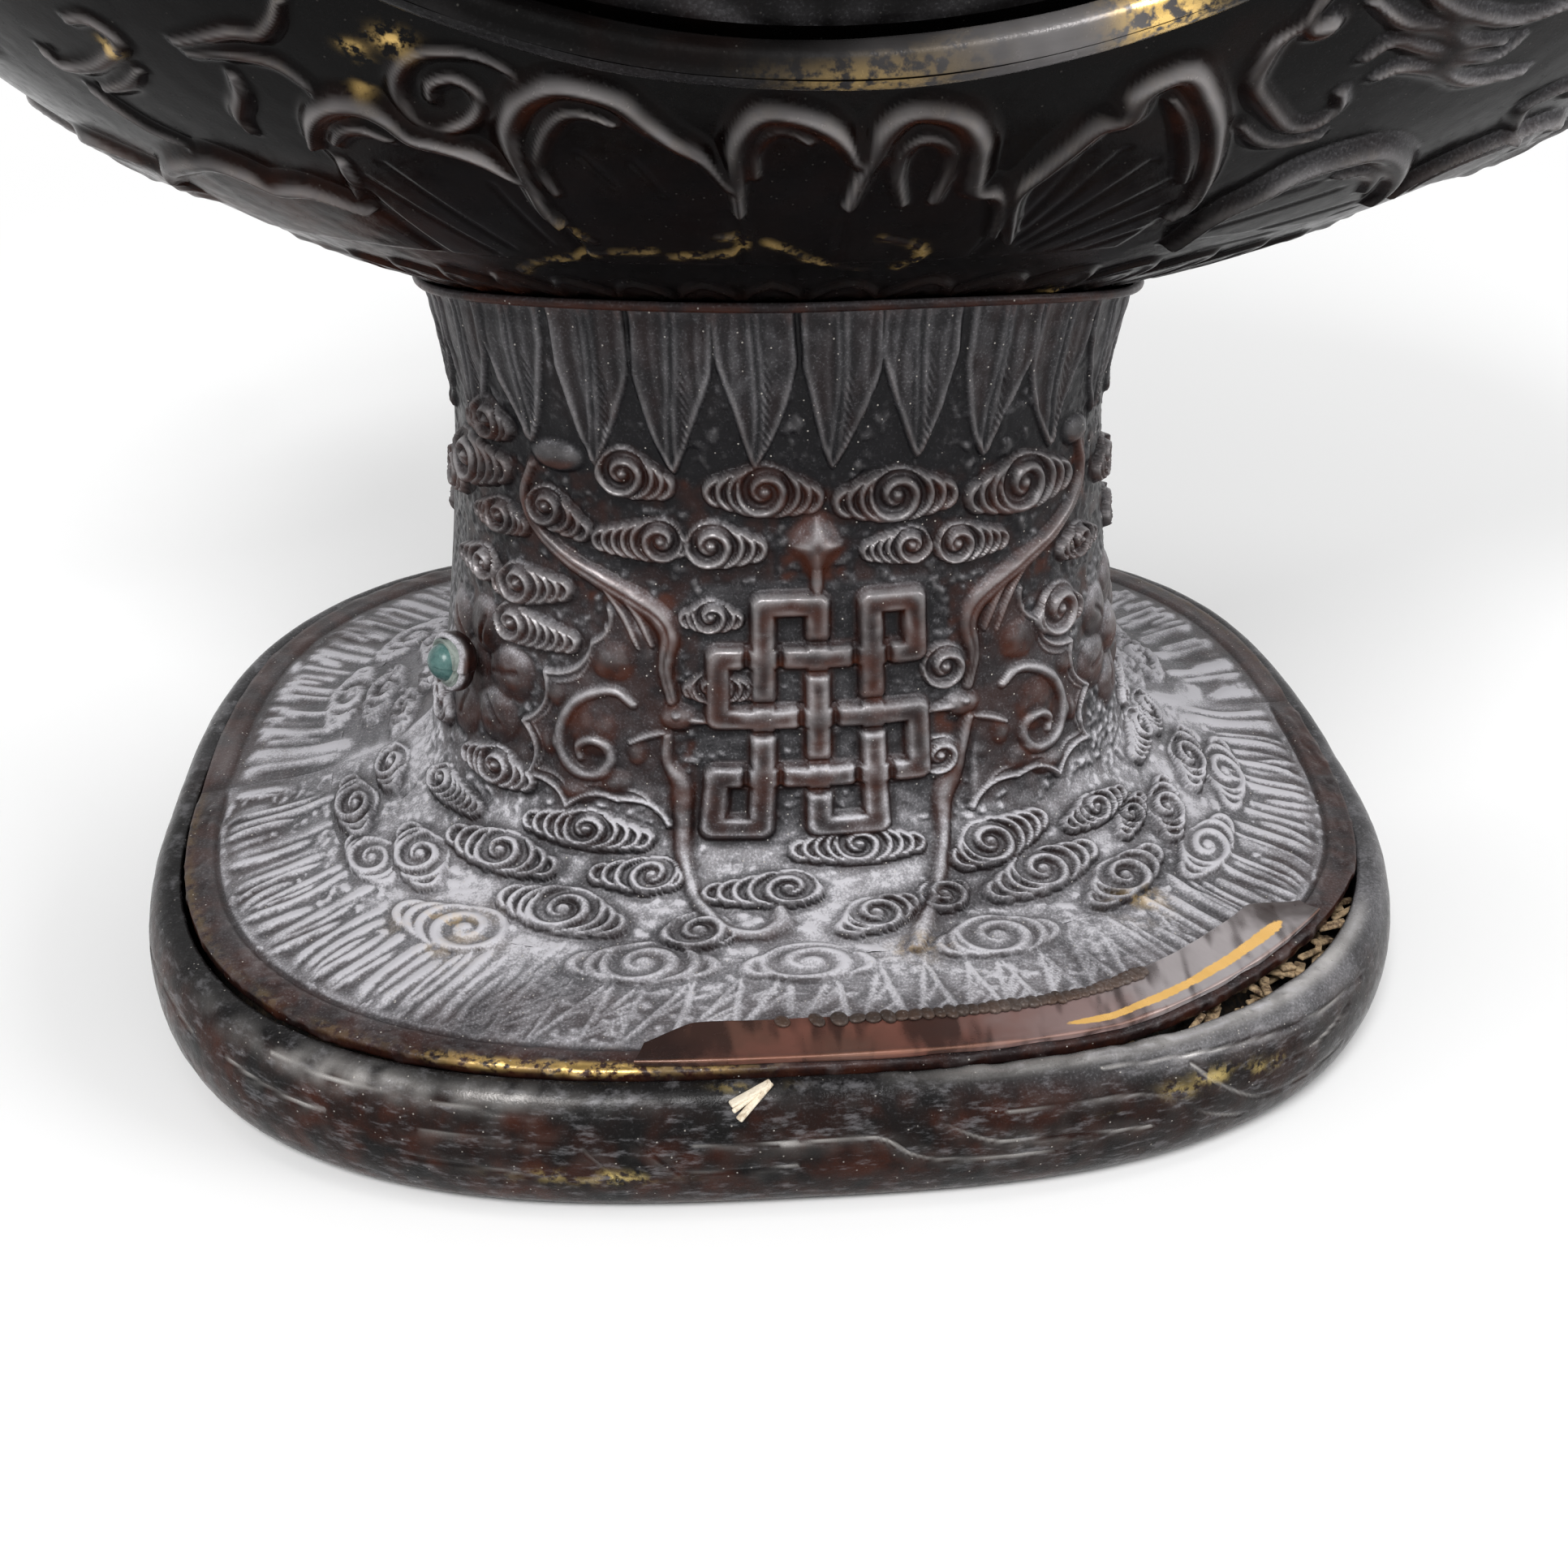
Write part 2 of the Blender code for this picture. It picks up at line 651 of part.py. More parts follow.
def build_stem_collar():
    """Wire laid in the corner between stem and body."""
    wide = STEM_TOP_HALF_WIDTH + COLLAR_WIRE_RADIUS + GAP
    angles = turns(FOOT_SIDES)
    path = []
    for angle in angles:
        x, y = oval(wide, wide - FOOT_DEPTH_LESS, STEM_POWER, angle)
        low, steep = body_low(x + STEM_CENTRE, y)
        path.append(Vector((x + STEM_CENTRE, y, low - (COLLAR_WIRE_RADIUS + GAP) * steep)))
    return closed_wire("stem_collar", path, COLLAR_WIRE_RADIUS, GILT, 5)


def closed_wire(name, path, radius, finish, sides, parent=None):
    """A round wire along a closed path."""
    rings = []
    count = len(path)
    middle = sum(path, Vector()) / count
    for index, point in enumerate(path):
        run = (path[(index + 1) % count] - path[index - 1]).normalized()
        out = (point - middle) - run * (point - middle).dot(run)
        out.normalize()
        up = run.cross(out)
        rings.append(
            [
                point + (out * math.cos(angle) + up * math.sin(angle)) * radius
                for angle in turns(sides)
            ]
        )
    bm = bmesh.new()
    skin(bm, rings, closed=True)
    return add_mesh(name, bm, finish, parent)


def body_solid(name, grow):
    """The body as a filled solid, standing off its outside: a cutter for what sits on it."""
    rings = []
    rows = BODY_ROWS
    for row in range(1, rows + 1):
        lift = -math.pi / 2 + math.pi * row / rows
        ring = [body_point(lift, turn, grow) for turn in turns(BODY_SIDES * 2)]
        rings.append(ring)
    bm = bmesh.new()
    skin(bm, rings)
    return as_cutter(add_mesh(name, bm, COPPER, upper()))


def body_facet(dip, turn, grow):
    """A point over the body's facets, at a dip and a turn in degrees."""
    row = (90.0 - dip) / 180.0 * BODY_ROWS
    side = turn / 180.0 * BODY_SIDES
    corners = []
    for up in (math.floor(row), math.floor(row) + 1):
        lift = -math.pi / 2 + math.pi * up / BODY_ROWS
        edge = [body_point(lift, math.pi * (math.floor(side) + step) / BODY_SIDES, grow) for step in (0, 1)]
        corners.append(edge[0].lerp(edge[1], side % 1.0))
    return corners[0].lerp(corners[1], row % 1.0)


def petal_outline(middle, tip, half, base):
    """Turn and dip of the corners of a pointed petal."""
    side = ((0.8, 0.0), (1.0, 0.35), (0.75, 0.75))
    right = [(middle + half * wide, base + (tip - base) * tall) for wide, tall in side]
    left = [(2 * middle - turn, dip) for turn, dip in reversed(right)]
    return right + [(middle, tip)] + left


def body_relief(start):
    """Outlines of the raised petals and curls on the half of the body that starts at a turn."""
    outlines = []
    for middle, tip, half in BELLY_PETALS:
        outlines.append(petal_outline(middle - 180.0 + start, tip, half, BELLY_PETAL_BASE))
    pitch = 180.0 / SHOULDER_PETALS
    for index in range(SHOULDER_PETALS):
        middle = start + pitch * (index + 0.5)
        outlines.append(
            petal_outline(middle, SHOULDER_PETAL_TIP, SHOULDER_PETAL_HALF, SHOULDER_PETAL_BASE)
        )
    for turn, dip, radius in BELLY_CURLS:
        outlines.append(
            [
                (turn - 180.0 + start + radius * math.cos(angle), dip + radius * math.sin(angle))
                for angle in turns(SMALL_SIDES // 2)
            ]
        )
    return outlines


def raised(bm, outline, shift):
    """A low bevelled boss over an outline, rooted in the body's sheet."""
    middle = sum((Vector(corner) for corner in outline), Vector((0.0, 0.0))) / len(outline)
    rings = []
    tops = []
    for spread, grow in ((1.06, -PETAL_ROOT), (0.8, PETAL_RISE)):
        ring = []
        for corner in outline:
            turn, dip = middle + (Vector(corner) - middle) * spread
            ring.append(bm.verts.new(body_facet(dip, turn, grow) + shift))
        rings.append(ring)
        tops.append(bm.verts.new(body_facet(middle.y, middle.x, grow) + shift))
    for index in range(len(outline)):
        low, high = rings
        after = (index + 1) % len(outline)
        bm.faces.new((low[index], low[after], high[after], high[index]))
        bm.faces.new((high[index], high[after], tops[1]))
        bm.faces.new((low[after], low[index], tops[0]))


def build_body():
    """Two half shells, raised in petals, that meet in the upright plane of spout and handle."""
    bm = bmesh.new()
    bore = SPOUT_BASE_RADIUS - SPOUT_WALL
    reach = BODY_SPOUT_HALF_WIDTH + MASK_SUNK
    bmesh.ops.create_cone(
        bm,
        cap_ends=True,
        segments=TUBE_SIDES * 2,
        radius1=bore,
        radius2=bore,
        depth=reach * 0.5,
        matrix=Matrix.Translation((reach * 0.85, 0.0, SPOUT_HEIGHT)) @ Matrix.Rotation(math.pi / 2, 4, "Y"),
    )
    hole = as_cutter(add_mesh("spout_hole_cutter", bm, COPPER, upper()))
    for name, start, away in (("body_front_shell", math.pi, -1.0), ("body_back_shell", 0.0, 1.0)):
        bm = bmesh.new()
        shift = Vector((0.0, away * GAP / 2, 0.0))
        walls = []
        for grow in (0.0, -SHEET):
            wall = []
            for row in range(BODY_ROWS + 1):
                lift = -math.pi / 2 + math.pi * row / BODY_ROWS
                spots = [
                    body_point(lift, start + math.pi * side / BODY_SIDES, grow) + shift
                    for side in range(BODY_SIDES + 1)
                ]
                wall.append([bm.verts.new(spot) for spot in spots])
            walls.append(wall)
        outside, inside = walls
        for row in range(BODY_ROWS):
            for wall in walls:
                low, high = wall[row], wall[row + 1]
                for side in range(BODY_SIDES):
                    bm.faces.new((low[side], low[side + 1], high[side + 1], high[side]))
            for side in (0, BODY_SIDES):
                low, high = outside[row], outside[row + 1]
                bm.faces.new((low[side], high[side], inside[row + 1][side], inside[row][side]))
        for side in range(BODY_SIDES):
            mouth, under = outside[-1], inside[-1]
            bm.faces.new((mouth[side], mouth[side + 1], under[side + 1], under[side]))
        shell = add_mesh(name, bm, COPPER, upper())
        bm = bmesh.new()
        for outline in body_relief(math.degrees(start)):
            raised(bm, outline, shift)
        petals = as_cutter(add_mesh(f"{name}_petals", bm, COPPER, upper()))
        boolean(shell, petals, "UNION")
        boolean(shell, hole)


def build_medallions():
    """Ring and field of the front medallion, and of the back one."""
    middle = BODY_MID + MEDALLION_RISE
    for side, sign in (("front", 1.0), ("back", -1.0)):
        path = []
        for angle in turns(FOOT_SIDES):
            x = MEDALLION_HALF_WIDTH * math.cos(angle)
            z = middle + MEDALLION_HALF_HEIGHT * math.sin(angle)
            spot = body_front_out(x, z, MEDALLION_WIRE_RADIUS + GAP * 2)
            path.append(Vector((spot.x, spot.y * sign, spot.z)))
        closed_wire(f"{side}_medallion_ring", path, MEDALLION_WIRE_RADIUS, GILT, 6, upper())
        bm = bmesh.new()
        inset = MEDALLION_WIRE_RADIUS + GAP
        steps = (0.0, 0.25, 0.5, 0.75, 1.0)
        rings = []
        for grow, shares in ((GAP * 2, steps), (GAP * 2 + MEDALLION_THICK, reversed(steps))):
            for share in shares:
                ring = []
                for angle in turns(FOOT_SIDES // 2):
                    x = (MEDALLION_HALF_WIDTH - inset) * share * math.cos(angle)
                    z = middle + (MEDALLION_HALF_HEIGHT - inset) * share * math.sin(angle)
                    spot = body_front_out(x, z, grow)
                    ring.append(Vector((spot.x, spot.y * sign, spot.z)))
                rings.append(ring)
        skin(bm, rings, caps=False)
        add_mesh(f"{side}_medallion_plate", bm, COPPER, upper())


def build_neck():
    """Neck tube, the collar on the shoulder and the flange round the mouth."""
    waist_low = HANDLE_TOP_HEIGHT - CLASP_HEIGHT / 2 - GAP
    waist_high = HANDLE_TOP_HEIGHT + CLASP_HEIGHT / 2 + GAP
    shoulder = (BODY_TOP + waist_low) / 2
    flare = (waist_high + MOUTH_TOP - MOUTH_STRAIGHT) / 2
    outer = [
        (NECK_RADIUS, NECK_BOTTOM),
        (NECK_RADIUS, BODY_TOP + GAP),
        (NECK_RADIUS * 0.35 + NECK_WAIST_RADIUS * 0.65, shoulder),
        (NECK_WAIST_RADIUS, waist_low),
        (NECK_WAIST_RADIUS, waist_high),
        (NECK_WAIST_RADIUS * 0.65 + MOUTH_RADIUS * 0.35, flare),
        (MOUTH_RADIUS, MOUTH_TOP - MOUTH_STRAIGHT),
        (MOUTH_RADIUS, MOUTH_TOP),
    ]
    inner = [(radius - SHEET, height) for radius, height in reversed(outer)]
    bm = bmesh.new()
    turned(bm, outer + inner, TURNED_SIDES)
    add_mesh("neck_tube", bm, COPPER, upper())

    collar_in = NECK_RADIUS + GAP
    collar_out = collar_in + NECK_COLLAR_WIDTH
    collar_top = BODY_TOP + NECK_COLLAR_HEIGHT
    under = body_front(0.0, BODY_MID)
    drop = BODY_TOP - NECK_SUNK * 2 - under * 0.05
    bm = bmesh.new()
    profile = [
        (collar_in, drop),
        (collar_out, drop),
        (collar_out, BODY_TOP + NECK_COLLAR_HEIGHT * 0.1),
        (collar_out - NECK_COLLAR_WIDTH * 0.15, BODY_TOP + NECK_COLLAR_HEIGHT * 0.45),
        (collar_out - NECK_COLLAR_WIDTH * 0.5, collar_top - NECK_COLLAR_HEIGHT * 0.15),
        (collar_in, collar_top),
    ]
    turned(bm, profile, TURNED_SIDES)
    collar = add_mesh("neck_collar", bm, GILT, upper())
    boolean(collar, bpy.data.objects["body_clearance"])

    flange_in = MOUTH_RADIUS + GAP
    low = MOUTH_TOP - MOUTH_FLANGE_HEIGHT
    bm = bmesh.new()
    profile = [
        (flange_in, low),
        (FLANGE_RADIUS - MOUTH_FLANGE_WIDTH * 0.4, low),
        (FLANGE_RADIUS, low + MOUTH_FLANGE_HEIGHT * 0.35),
        (FLANGE_RADIUS, MOUTH_TOP - MOUTH_FLANGE_HEIGHT * 0.15),
        (FLANGE_RADIUS - MOUTH_FLANGE_WIDTH * 0.15, MOUTH_TOP),
        (flange_in, MOUTH_TOP),
    ]
    turned(bm, profile, TURNED_SIDES)
    add_mesh("mouth_flange", bm, GILT, upper())


def build_lid():
    """Lid dome, plug, finial, washer and bead, all hung on the hinge axis."""
    axis = add_empty("lid_axis", (HINGE_X, 0.0, HINGE_Z), upper())

    brim_in = FLANGE_RADIUS - LID_BRIM_WIDTH
    brim_top = LID_BOTTOM + SHEET
    hole = SHANK_RADIUS + GAP
    land = max(FINIAL_RADIUS, WASHER_RADIUS) + SHEET
    arc = []
    steps = 6
    for step in range(steps + 1):
        t = math.pi / 2 * step / steps
        radius = land + (brim_in - land) * math.cos(t)
        arc.append(Vector((radius, brim_top + LID_DOME_HEIGHT * math.sin(t))))
    inside = offset_curve(arc, -SHEET)
    inside[0] = Vector((brim_in - SHEET, LID_BOTTOM))
    inside[-1] = arc[-1] + Vector((0.0, -SHEET))
    arc.append(Vector((hole, arc[-1].y)))
    inside.append(Vector((hole, arc[-1].y - SHEET)))
    outer = [(FLANGE_RADIUS, LID_BOTTOM), (FLANGE_RADIUS, brim_top)]
    outer += [(point.x, point.y) for point in arc]
    outer += [(point.x, point.y) for point in reversed(inside)]
    bm = bmesh.new()
    turned(bm, outer, TURNED_SIDES)
    add_mesh("lid_dome", bm, COPPER, axis)

    plug_out = MOUTH_RADIUS - SHEET - PLUG_PLAY
    plug_in = plug_out - SHEET
    bm = bmesh.new()
    low = LID_BOTTOM - GAP - LID_PLUG_DEPTH
    turned(
        bm,
        [(plug_in, low), (plug_out, low), (plug_out, LID_BOTTOM - GAP), (plug_in, LID_BOTTOM - GAP)],
        TURNED_SIDES,
    )
    add_mesh("lid_plug", bm, COPPER, axis)

    dome_top = brim_top + LID_DOME_HEIGHT
    base = dome_top + GAP
    shank_low = dome_top - SHEET - GAP * 2 - WASHER_THICK
    knob = [
        (0.0, shank_low),
        (SHANK_RADIUS, shank_low),
        (SHANK_RADIUS, base),
        (FINIAL_RADIUS, base),
        (FINIAL_RADIUS, base + FINIAL_HEIGHT * 0.12),
        (FINIAL_RADIUS * 0.5, base + FINIAL_HEIGHT * 0.3),
        (FINIAL_RADIUS * 0.85, base + FINIAL_HEIGHT * 0.48),
        (FINIAL_RADIUS * 0.85, base + FINIAL_HEIGHT * 0.6),
        (FINIAL_RADIUS * 0.4, base + FINIAL_HEIGHT * 0.78),
        (FINIAL_RADIUS * 0.55, base + FINIAL_HEIGHT),
        (0.0, base + FINIAL_HEIGHT),
    ]
    bm = bmesh.new()
    solid_turned(bm, knob, SMALL_SIDES)
    add_mesh("lid_finial", bm, GILT, axis)

    bm = bmesh.new()
    lift = Matrix.Translation((0.0, 0.0, base + FINIAL_HEIGHT + GAP + FINIAL_BEAD_RADIUS))
    bmesh.ops.create_uvsphere(
        bm, u_segments=SMALL_SIDES, v_segments=10, radius=FINIAL_BEAD_RADIUS, matrix=lift
    )
    add_mesh("finial_bead", bm, TURQUOISE, axis)

    washer_top = dome_top - SHEET - GAP
    washer_low = washer_top - WASHER_THICK
    bm = bmesh.new()
    turned(
        bm,
        [(hole, washer_low), (WASHER_RADIUS, washer_low), (WASHER_RADIUS, washer_top), (hole, washer_top)],
        SMALL_SIDES,
    )
    add_mesh("finial_washer", bm, GILT, axis)
    return axis


def barrel(bm, y_from, y_to):
    """A knuckle on the hinge axis with its bore."""
    bore = HINGE_PIN_RADIUS + PIN_PLAY
    rings = []
    for radius, y in (
        (HINGE_KNUCKLE_RADIUS, y_from),
        (HINGE_KNUCKLE_RADIUS, y_to),
        (bore, y_to),
        (bore, y_from),
    ):
        rings.append(
            [
                Vector((HINGE_X + radius * math.cos(t), y, HINGE_Z + radius * math.sin(t)))
                for t in turns(SMALL_SIDES)
            ]
        )
    skin(bm, rings, closed=True)


def block(bm, low, high):
    """A box between two corners."""
    centre = (Vector(low) + Vector(high)) / 2
    size = Vector(high) - Vector(low)
    stretch = Matrix.Diagonal((*size, 1.0))
    bmesh.ops.create_cube(bm, size=1.0, matrix=Matrix.Translation(centre) @ stretch)


def build_hinge(axis):
    """Seat with two knuckles on the mouth, pin, and the strap on the lid."""
    seat_in = -(FLANGE_RADIUS + GAP)
    seat_out = HINGE_X - HINGE_KNUCKLE_RADIUS * 0.8
    seat_top = HINGE_Z - HINGE_PIN_RADIUS - PIN_PLAY - SHEET * 0.3
    seat_low = HINGE_Z - HINGE_SEAT_DROP
    bm = bmesh.new()
    block(bm, (seat_out, -HINGE_HALF_LENGTH, seat_low), (seat_in, HINGE_HALF_LENGTH, seat_top))
    seat = add_mesh("hinge_seat", bm, GILT, upper())
    inner = HINGE_STRAP_HALF_WIDTH + GAP
    for place, (y_from, y_to) in enumerate(((-HINGE_HALF_LENGTH, -inner), (inner, HINGE_HALF_LENGTH))):
        bm = bmesh.new()
        barrel(bm, y_from, y_to)
        boolean(seat, as_cutter(add_mesh(f"seat_knuckle_{place}", bm, GILT, upper())), "UNION")
    bm = bmesh.new()
    clear = HINGE_KNUCKLE_RADIUS + GAP
    bmesh.ops.create_cone(
        bm,
        cap_ends=True,
        segments=SMALL_SIDES,
        radius1=clear,
        radius2=clear,
        depth=inner * 2,
        matrix=Matrix.Translation((HINGE_X, 0.0, HINGE_Z)) @ Matrix.Rotation(math.pi / 2, 4, "X"),
    )
    boolean(seat, as_cutter(add_mesh("strap_clearance", bm, GILT, upper())))

    bm = bmesh.new()
    bmesh.ops.create_cone(
        bm,
        cap_ends=True,
        segments=SMALL_SIDES,
        radius1=HINGE_PIN_RADIUS,
        radius2=HINGE_PIN_RADIUS,
        depth=HINGE_HALF_LENGTH * 2 + SHEET,
        matrix=Matrix.Translation((HINGE_X, 0.0, HINGE_Z)) @ Matrix.Rotation(math.pi / 2, 4, "X"),
    )
    add_mesh("hinge_pin", bm, PIN_METAL, upper())

    low = LID_BOTTOM + SHEET + GAP
    bm = bmesh.new()
    bore = HINGE_PIN_RADIUS + PIN_PLAY
    start = HINGE_X + bore + SHEET * 0.3
    end = -FLANGE_RADIUS + HINGE_STRAP_LENGTH
    block(
        bm,
        (start, -HINGE_STRAP_HALF_WIDTH, low),
        (end, HINGE_STRAP_HALF_WIDTH, low + HINGE_STRAP_THICK),
    )
    strap = add_mesh("lid_hinge_strap", bm, GILT, axis)
    bm = bmesh.new()
    barrel(bm, -HINGE_STRAP_HALF_WIDTH, HINGE_STRAP_HALF_WIDTH)
    boolean(strap, as_cutter(add_mesh("strap_knuckle", bm, GILT, upper())), "UNION")


def spout_path():
    """Middle line of the spout, from its socket in the mask to the tip."""
    root = BODY_SPOUT_HALF_WIDTH - MASK_SUNK + MASK_HALF_LENGTH - SOCKET_DEPTH
    start = Vector((root, 0.0, SPOUT_HEIGHT + SOCKET_DEPTH * 0.6))
    tip = Vector((BODY_SPOUT_HALF_WIDTH + SPOUT_REACH, 0.0, SPOUT_HEIGHT + SPOUT_RISE))
    run = tip - start
    bends = [
        start,
        start + Vector((run.x * 0.38, 0.0, run.z * 0.15)),
        start + Vector((run.x * 0.56, 0.0, run.z * 0.42)),
        start + Vector((run.x * 0.66, 0.0, run.z * 0.72)),
        tip,
    ]
    return smooth_curve(bends, 4)


def boss(name, centre, halves, parent):
    """An egg-shaped boss seated on the body's outside."""
    bm = bmesh.new()
    stretch = Matrix.Translation(centre) @ Matrix.Diagonal((*halves, 1.0))
    bmesh.ops.create_uvsphere(
        bm,
        u_segments=TUBE_SIDES * 2,
        v_segments=TUBE_SIDES,
        radius=1.0,
        matrix=stretch @ Matrix.Rotation(math.pi / 2, 4, "Y"),
    )
    made = add_mesh(name, bm, COPPER, parent)
    boolean(made, bpy.data.objects["body_clearance"])
    return made


def rod_cutter(name, path, radii, squash=1.0):
    """A cutter along a path."""
    bm = bmesh.new()
    skin(bm, tube_along(path, radii, TUBE_SIDES * 2, squash))
    return as_cutter(add_mesh(name, bm, COPPER, upper()))


def build_spout():
    """Mask on the body, tapering tube and the lip at its tip."""
    path = spout_path()
    last = len(path) - 1
    radii = []
    for index in range(last + 1):
        share = (index / last) ** 0.75
        radii.append(SPOUT_BASE_RADIUS + (SPOUT_TIP_RADIUS - SPOUT_BASE_RADIUS) * share)
    outer = tube_along(path, radii, TUBE_SIDES)
    inner = tube_along(path, [radius - SPOUT_WALL for radius in radii], TUBE_SIDES)
    bm = bmesh.new()
    skin(bm, outer + list(reversed(inner)), closed=True)
    add_mesh("spout_tube", bm, COPPER, upper())

    tip = path[-1]
    run = (path[-1] - path[-2]).normalized()
    lip_in = SPOUT_TIP_RADIUS + GAP * 1.5
    bm = bmesh.new()
    profile = [
        (lip_in, -SPOUT_LIP_HEIGHT * 0.5),
        (lip_in + SPOUT_LIP_WIDTH, -SPOUT_LIP_HEIGHT * 0.3),
        (lip_in + SPOUT_LIP_WIDTH, SPOUT_LIP_HEIGHT * 0.3),
        (lip_in, SPOUT_LIP_HEIGHT * 0.5),
    ]
    turned(bm, profile, TUBE_SIDES * 2)
    stand = Matrix.Translation(tip - run * SPOUT_LIP_HEIGHT * 0.5)
    stand = stand @ run.to_track_quat("Z", "Y").to_matrix().to_4x4()
    bmesh.ops.transform(bm, matrix=stand, verts=bm.verts)
    add_mesh("spout_lip", bm, GILT, upper())

    centre = Vector((BODY_SPOUT_HALF_WIDTH - MASK_SUNK, 0.0, SPOUT_HEIGHT - MASK_DROP))
    mask = boss("spout_mask", centre, (MASK_HALF_LENGTH, MASK_HALF_WIDTH, MASK_HALF_HEIGHT), upper())
    start, ahead = path[0], path[1]
    run = (ahead - start).normalized()
    bore = SPOUT_BASE_RADIUS - SPOUT_WALL
    inside = Vector((BODY_SPOUT_HALF_WIDTH * 0.8, 0.0, SPOUT_HEIGHT))
    passage = [inside, inside.lerp(start, 0.5), start + run * GAP]
    boolean(mask, rod_cutter("spout_passage", passage, [bore] * 3))
    wide = SPOUT_BASE_RADIUS + GAP
    socket = [start - run * GAP, start + run * SOCKET_DEPTH, start + run * MASK_HALF_LENGTH]
    boolean(mask, rod_cutter("spout_socket", socket, [wide] * 3))


def build_handle():
    """Mask on the body, bow, and the clasp round the neck."""
    clasp_in = NECK_WAIST_RADIUS + GAP
    clasp_out = clasp_in + CLASP_THICK
    low = HANDLE_TOP_HEIGHT - CLASP_HEIGHT / 2
    high = HANDLE_TOP_HEIGHT + CLASP_HEIGHT / 2
    bm = bmesh.new()
    turned(
        bm,
        [
            (clasp_in, low),
            (clasp_out - CLASP_THICK * 0.3, low),
            (clasp_out, HANDLE_TOP_HEIGHT - CLASP_HEIGHT * 0.35),
            (clasp_out, HANDLE_TOP_HEIGHT + CLASP_HEIGHT * 0.35),
            (clasp_out - CLASP_THICK * 0.3, high),
            (clasp_in, high),
        ],
        TURNED_SIDES,
    )
    add_mesh("handle_clasp", bm, GILT, upper())

    reach = BODY_HALF_WIDTH - HANDLE_MASK_SUNK + HANDLE_MASK_HALF_LENGTH
    start = Vector((SOCKET_DEPTH - reach, 0.0, HANDLE_HEIGHT))
    end = Vector((-(clasp_out + GAP * 1.5), 0.0, HANDLE_TOP_HEIGHT))
    far = -(BODY_HALF_WIDTH + HANDLE_REACH)
    rise = HANDLE_TOP_HEIGHT - HANDLE_HEIGHT
    bends = [
        start,
        Vector((far * 0.93, 0.0, HANDLE_HEIGHT + rise * 0.10)),
        Vector((far, 0.0, HANDLE_HEIGHT + rise * 0.42)),
        Vector((far * 0.86, 0.0, HANDLE_HEIGHT + rise * 0.86)),
        Vector((far * 0.55, 0.0, HANDLE_TOP_HEIGHT + rise * 0.05)),
        end,
    ]
    path = smooth_curve(bends, 4)
    last = len(path) - 1
    radii = [
        HANDLE_HALF_WIDTH * (1.0 - 0.22 * abs(2.0 * index / last - 1.0) ** 2)
        for index in range(last + 1)
    ]
    flat = HANDLE_HALF_THICK / HANDLE_HALF_WIDTH
    bm = bmesh.new()
    rings = tube_along(path, radii, TUBE_SIDES, flat)
    rings[-1] = [Vector((end.x, point.y, point.z)) for point in rings[-1]]
    skin(bm, rings)
    add_mesh("handle_bow", bm, COPPER, upper())

    centre = Vector((HANDLE_MASK_SUNK - BODY_HALF_WIDTH, 0.0, HANDLE_HEIGHT))
    halves = (HANDLE_MASK_HALF_LENGTH, HANDLE_MASK_HALF_WIDTH, HANDLE_MASK_HALF_HEIGHT)
    mask = boss("handle_mask", centre, halves, upper())
    run = (path[1] - start).normalized()
    slack = GAP * 1.5
    socket = [start - run * slack, *path[1:4]]
    boolean(mask, rod_cutter("handle_socket", socket, [radii[i] + slack * 1.4 for i in range(4)], flat))


def build():
    """Builds every piece of the ewer."""
    clear_scene()
    add_empty("upper_axis", (STEM_CENTRE, 0.0, 0.0))
    body_solid("body_clearance", GAP * 1.5)
    build_foot_shell()
    build_foot_rim()
    build_border_strip()
    build_base_plate()
    build_packing()
    build_beads()
    build_stem_collar()
    build_body()
    build_medallions()
    build_neck()
    axis = build_lid()
    build_hinge(axis)
    build_spout()
    build_handle()


build()
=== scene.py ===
"""Looks of the ritual ewer: chased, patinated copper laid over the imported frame."""

import functools
import logging
import math
from dataclasses import dataclass, field
from enum import Enum
from typing import Callable, Sequence

import bmesh
import bpy
import numpy as np
from mathutils import Matrix, Vector


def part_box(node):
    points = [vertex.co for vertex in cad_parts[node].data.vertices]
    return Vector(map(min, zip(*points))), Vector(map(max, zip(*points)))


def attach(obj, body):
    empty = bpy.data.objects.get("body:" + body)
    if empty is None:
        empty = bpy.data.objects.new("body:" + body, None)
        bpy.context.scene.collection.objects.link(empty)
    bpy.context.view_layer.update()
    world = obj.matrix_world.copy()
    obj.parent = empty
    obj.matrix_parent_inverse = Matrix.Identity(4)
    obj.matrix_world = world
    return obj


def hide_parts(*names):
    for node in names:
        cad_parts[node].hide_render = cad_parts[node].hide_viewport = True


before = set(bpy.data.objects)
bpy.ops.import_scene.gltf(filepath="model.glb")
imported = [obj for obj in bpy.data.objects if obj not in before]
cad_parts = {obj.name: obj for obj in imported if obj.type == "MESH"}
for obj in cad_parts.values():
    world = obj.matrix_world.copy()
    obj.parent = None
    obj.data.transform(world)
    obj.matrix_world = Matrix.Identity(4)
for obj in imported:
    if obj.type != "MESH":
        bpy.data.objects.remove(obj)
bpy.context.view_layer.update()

MM = 0.001
LOG = logging.getLogger("ewer")
Net = np.ndarray
Colour = tuple[float, float, float]
Spot = tuple[float, float]
Line = Sequence[Spot]
Socket = bpy.types.NodeSocket
TAPER = (0.5, 0.85, 1, 0.85, 0.5)


class Rider(Enum):
    """The bodies of the frame that pieces ride on."""

    EWER = "ewer"
    LID = "lid"


class Mark(str, Enum):
    """Vertex attributes that the finishes read."""

    # Crests of the relief; this mark also carries painted highlights on upper flanks, on the rim's shoulder and on the
    # medallion moulding.
    CREST = "crest"
    TINT = "tint"
    DUST = "dust"
    GILT = "gilt"


CREST, TINT, DUST, GILT = Mark
# Rows past a seam that are pressed along and cut away, so that both sides meet.
SPARE_ROWS = 3


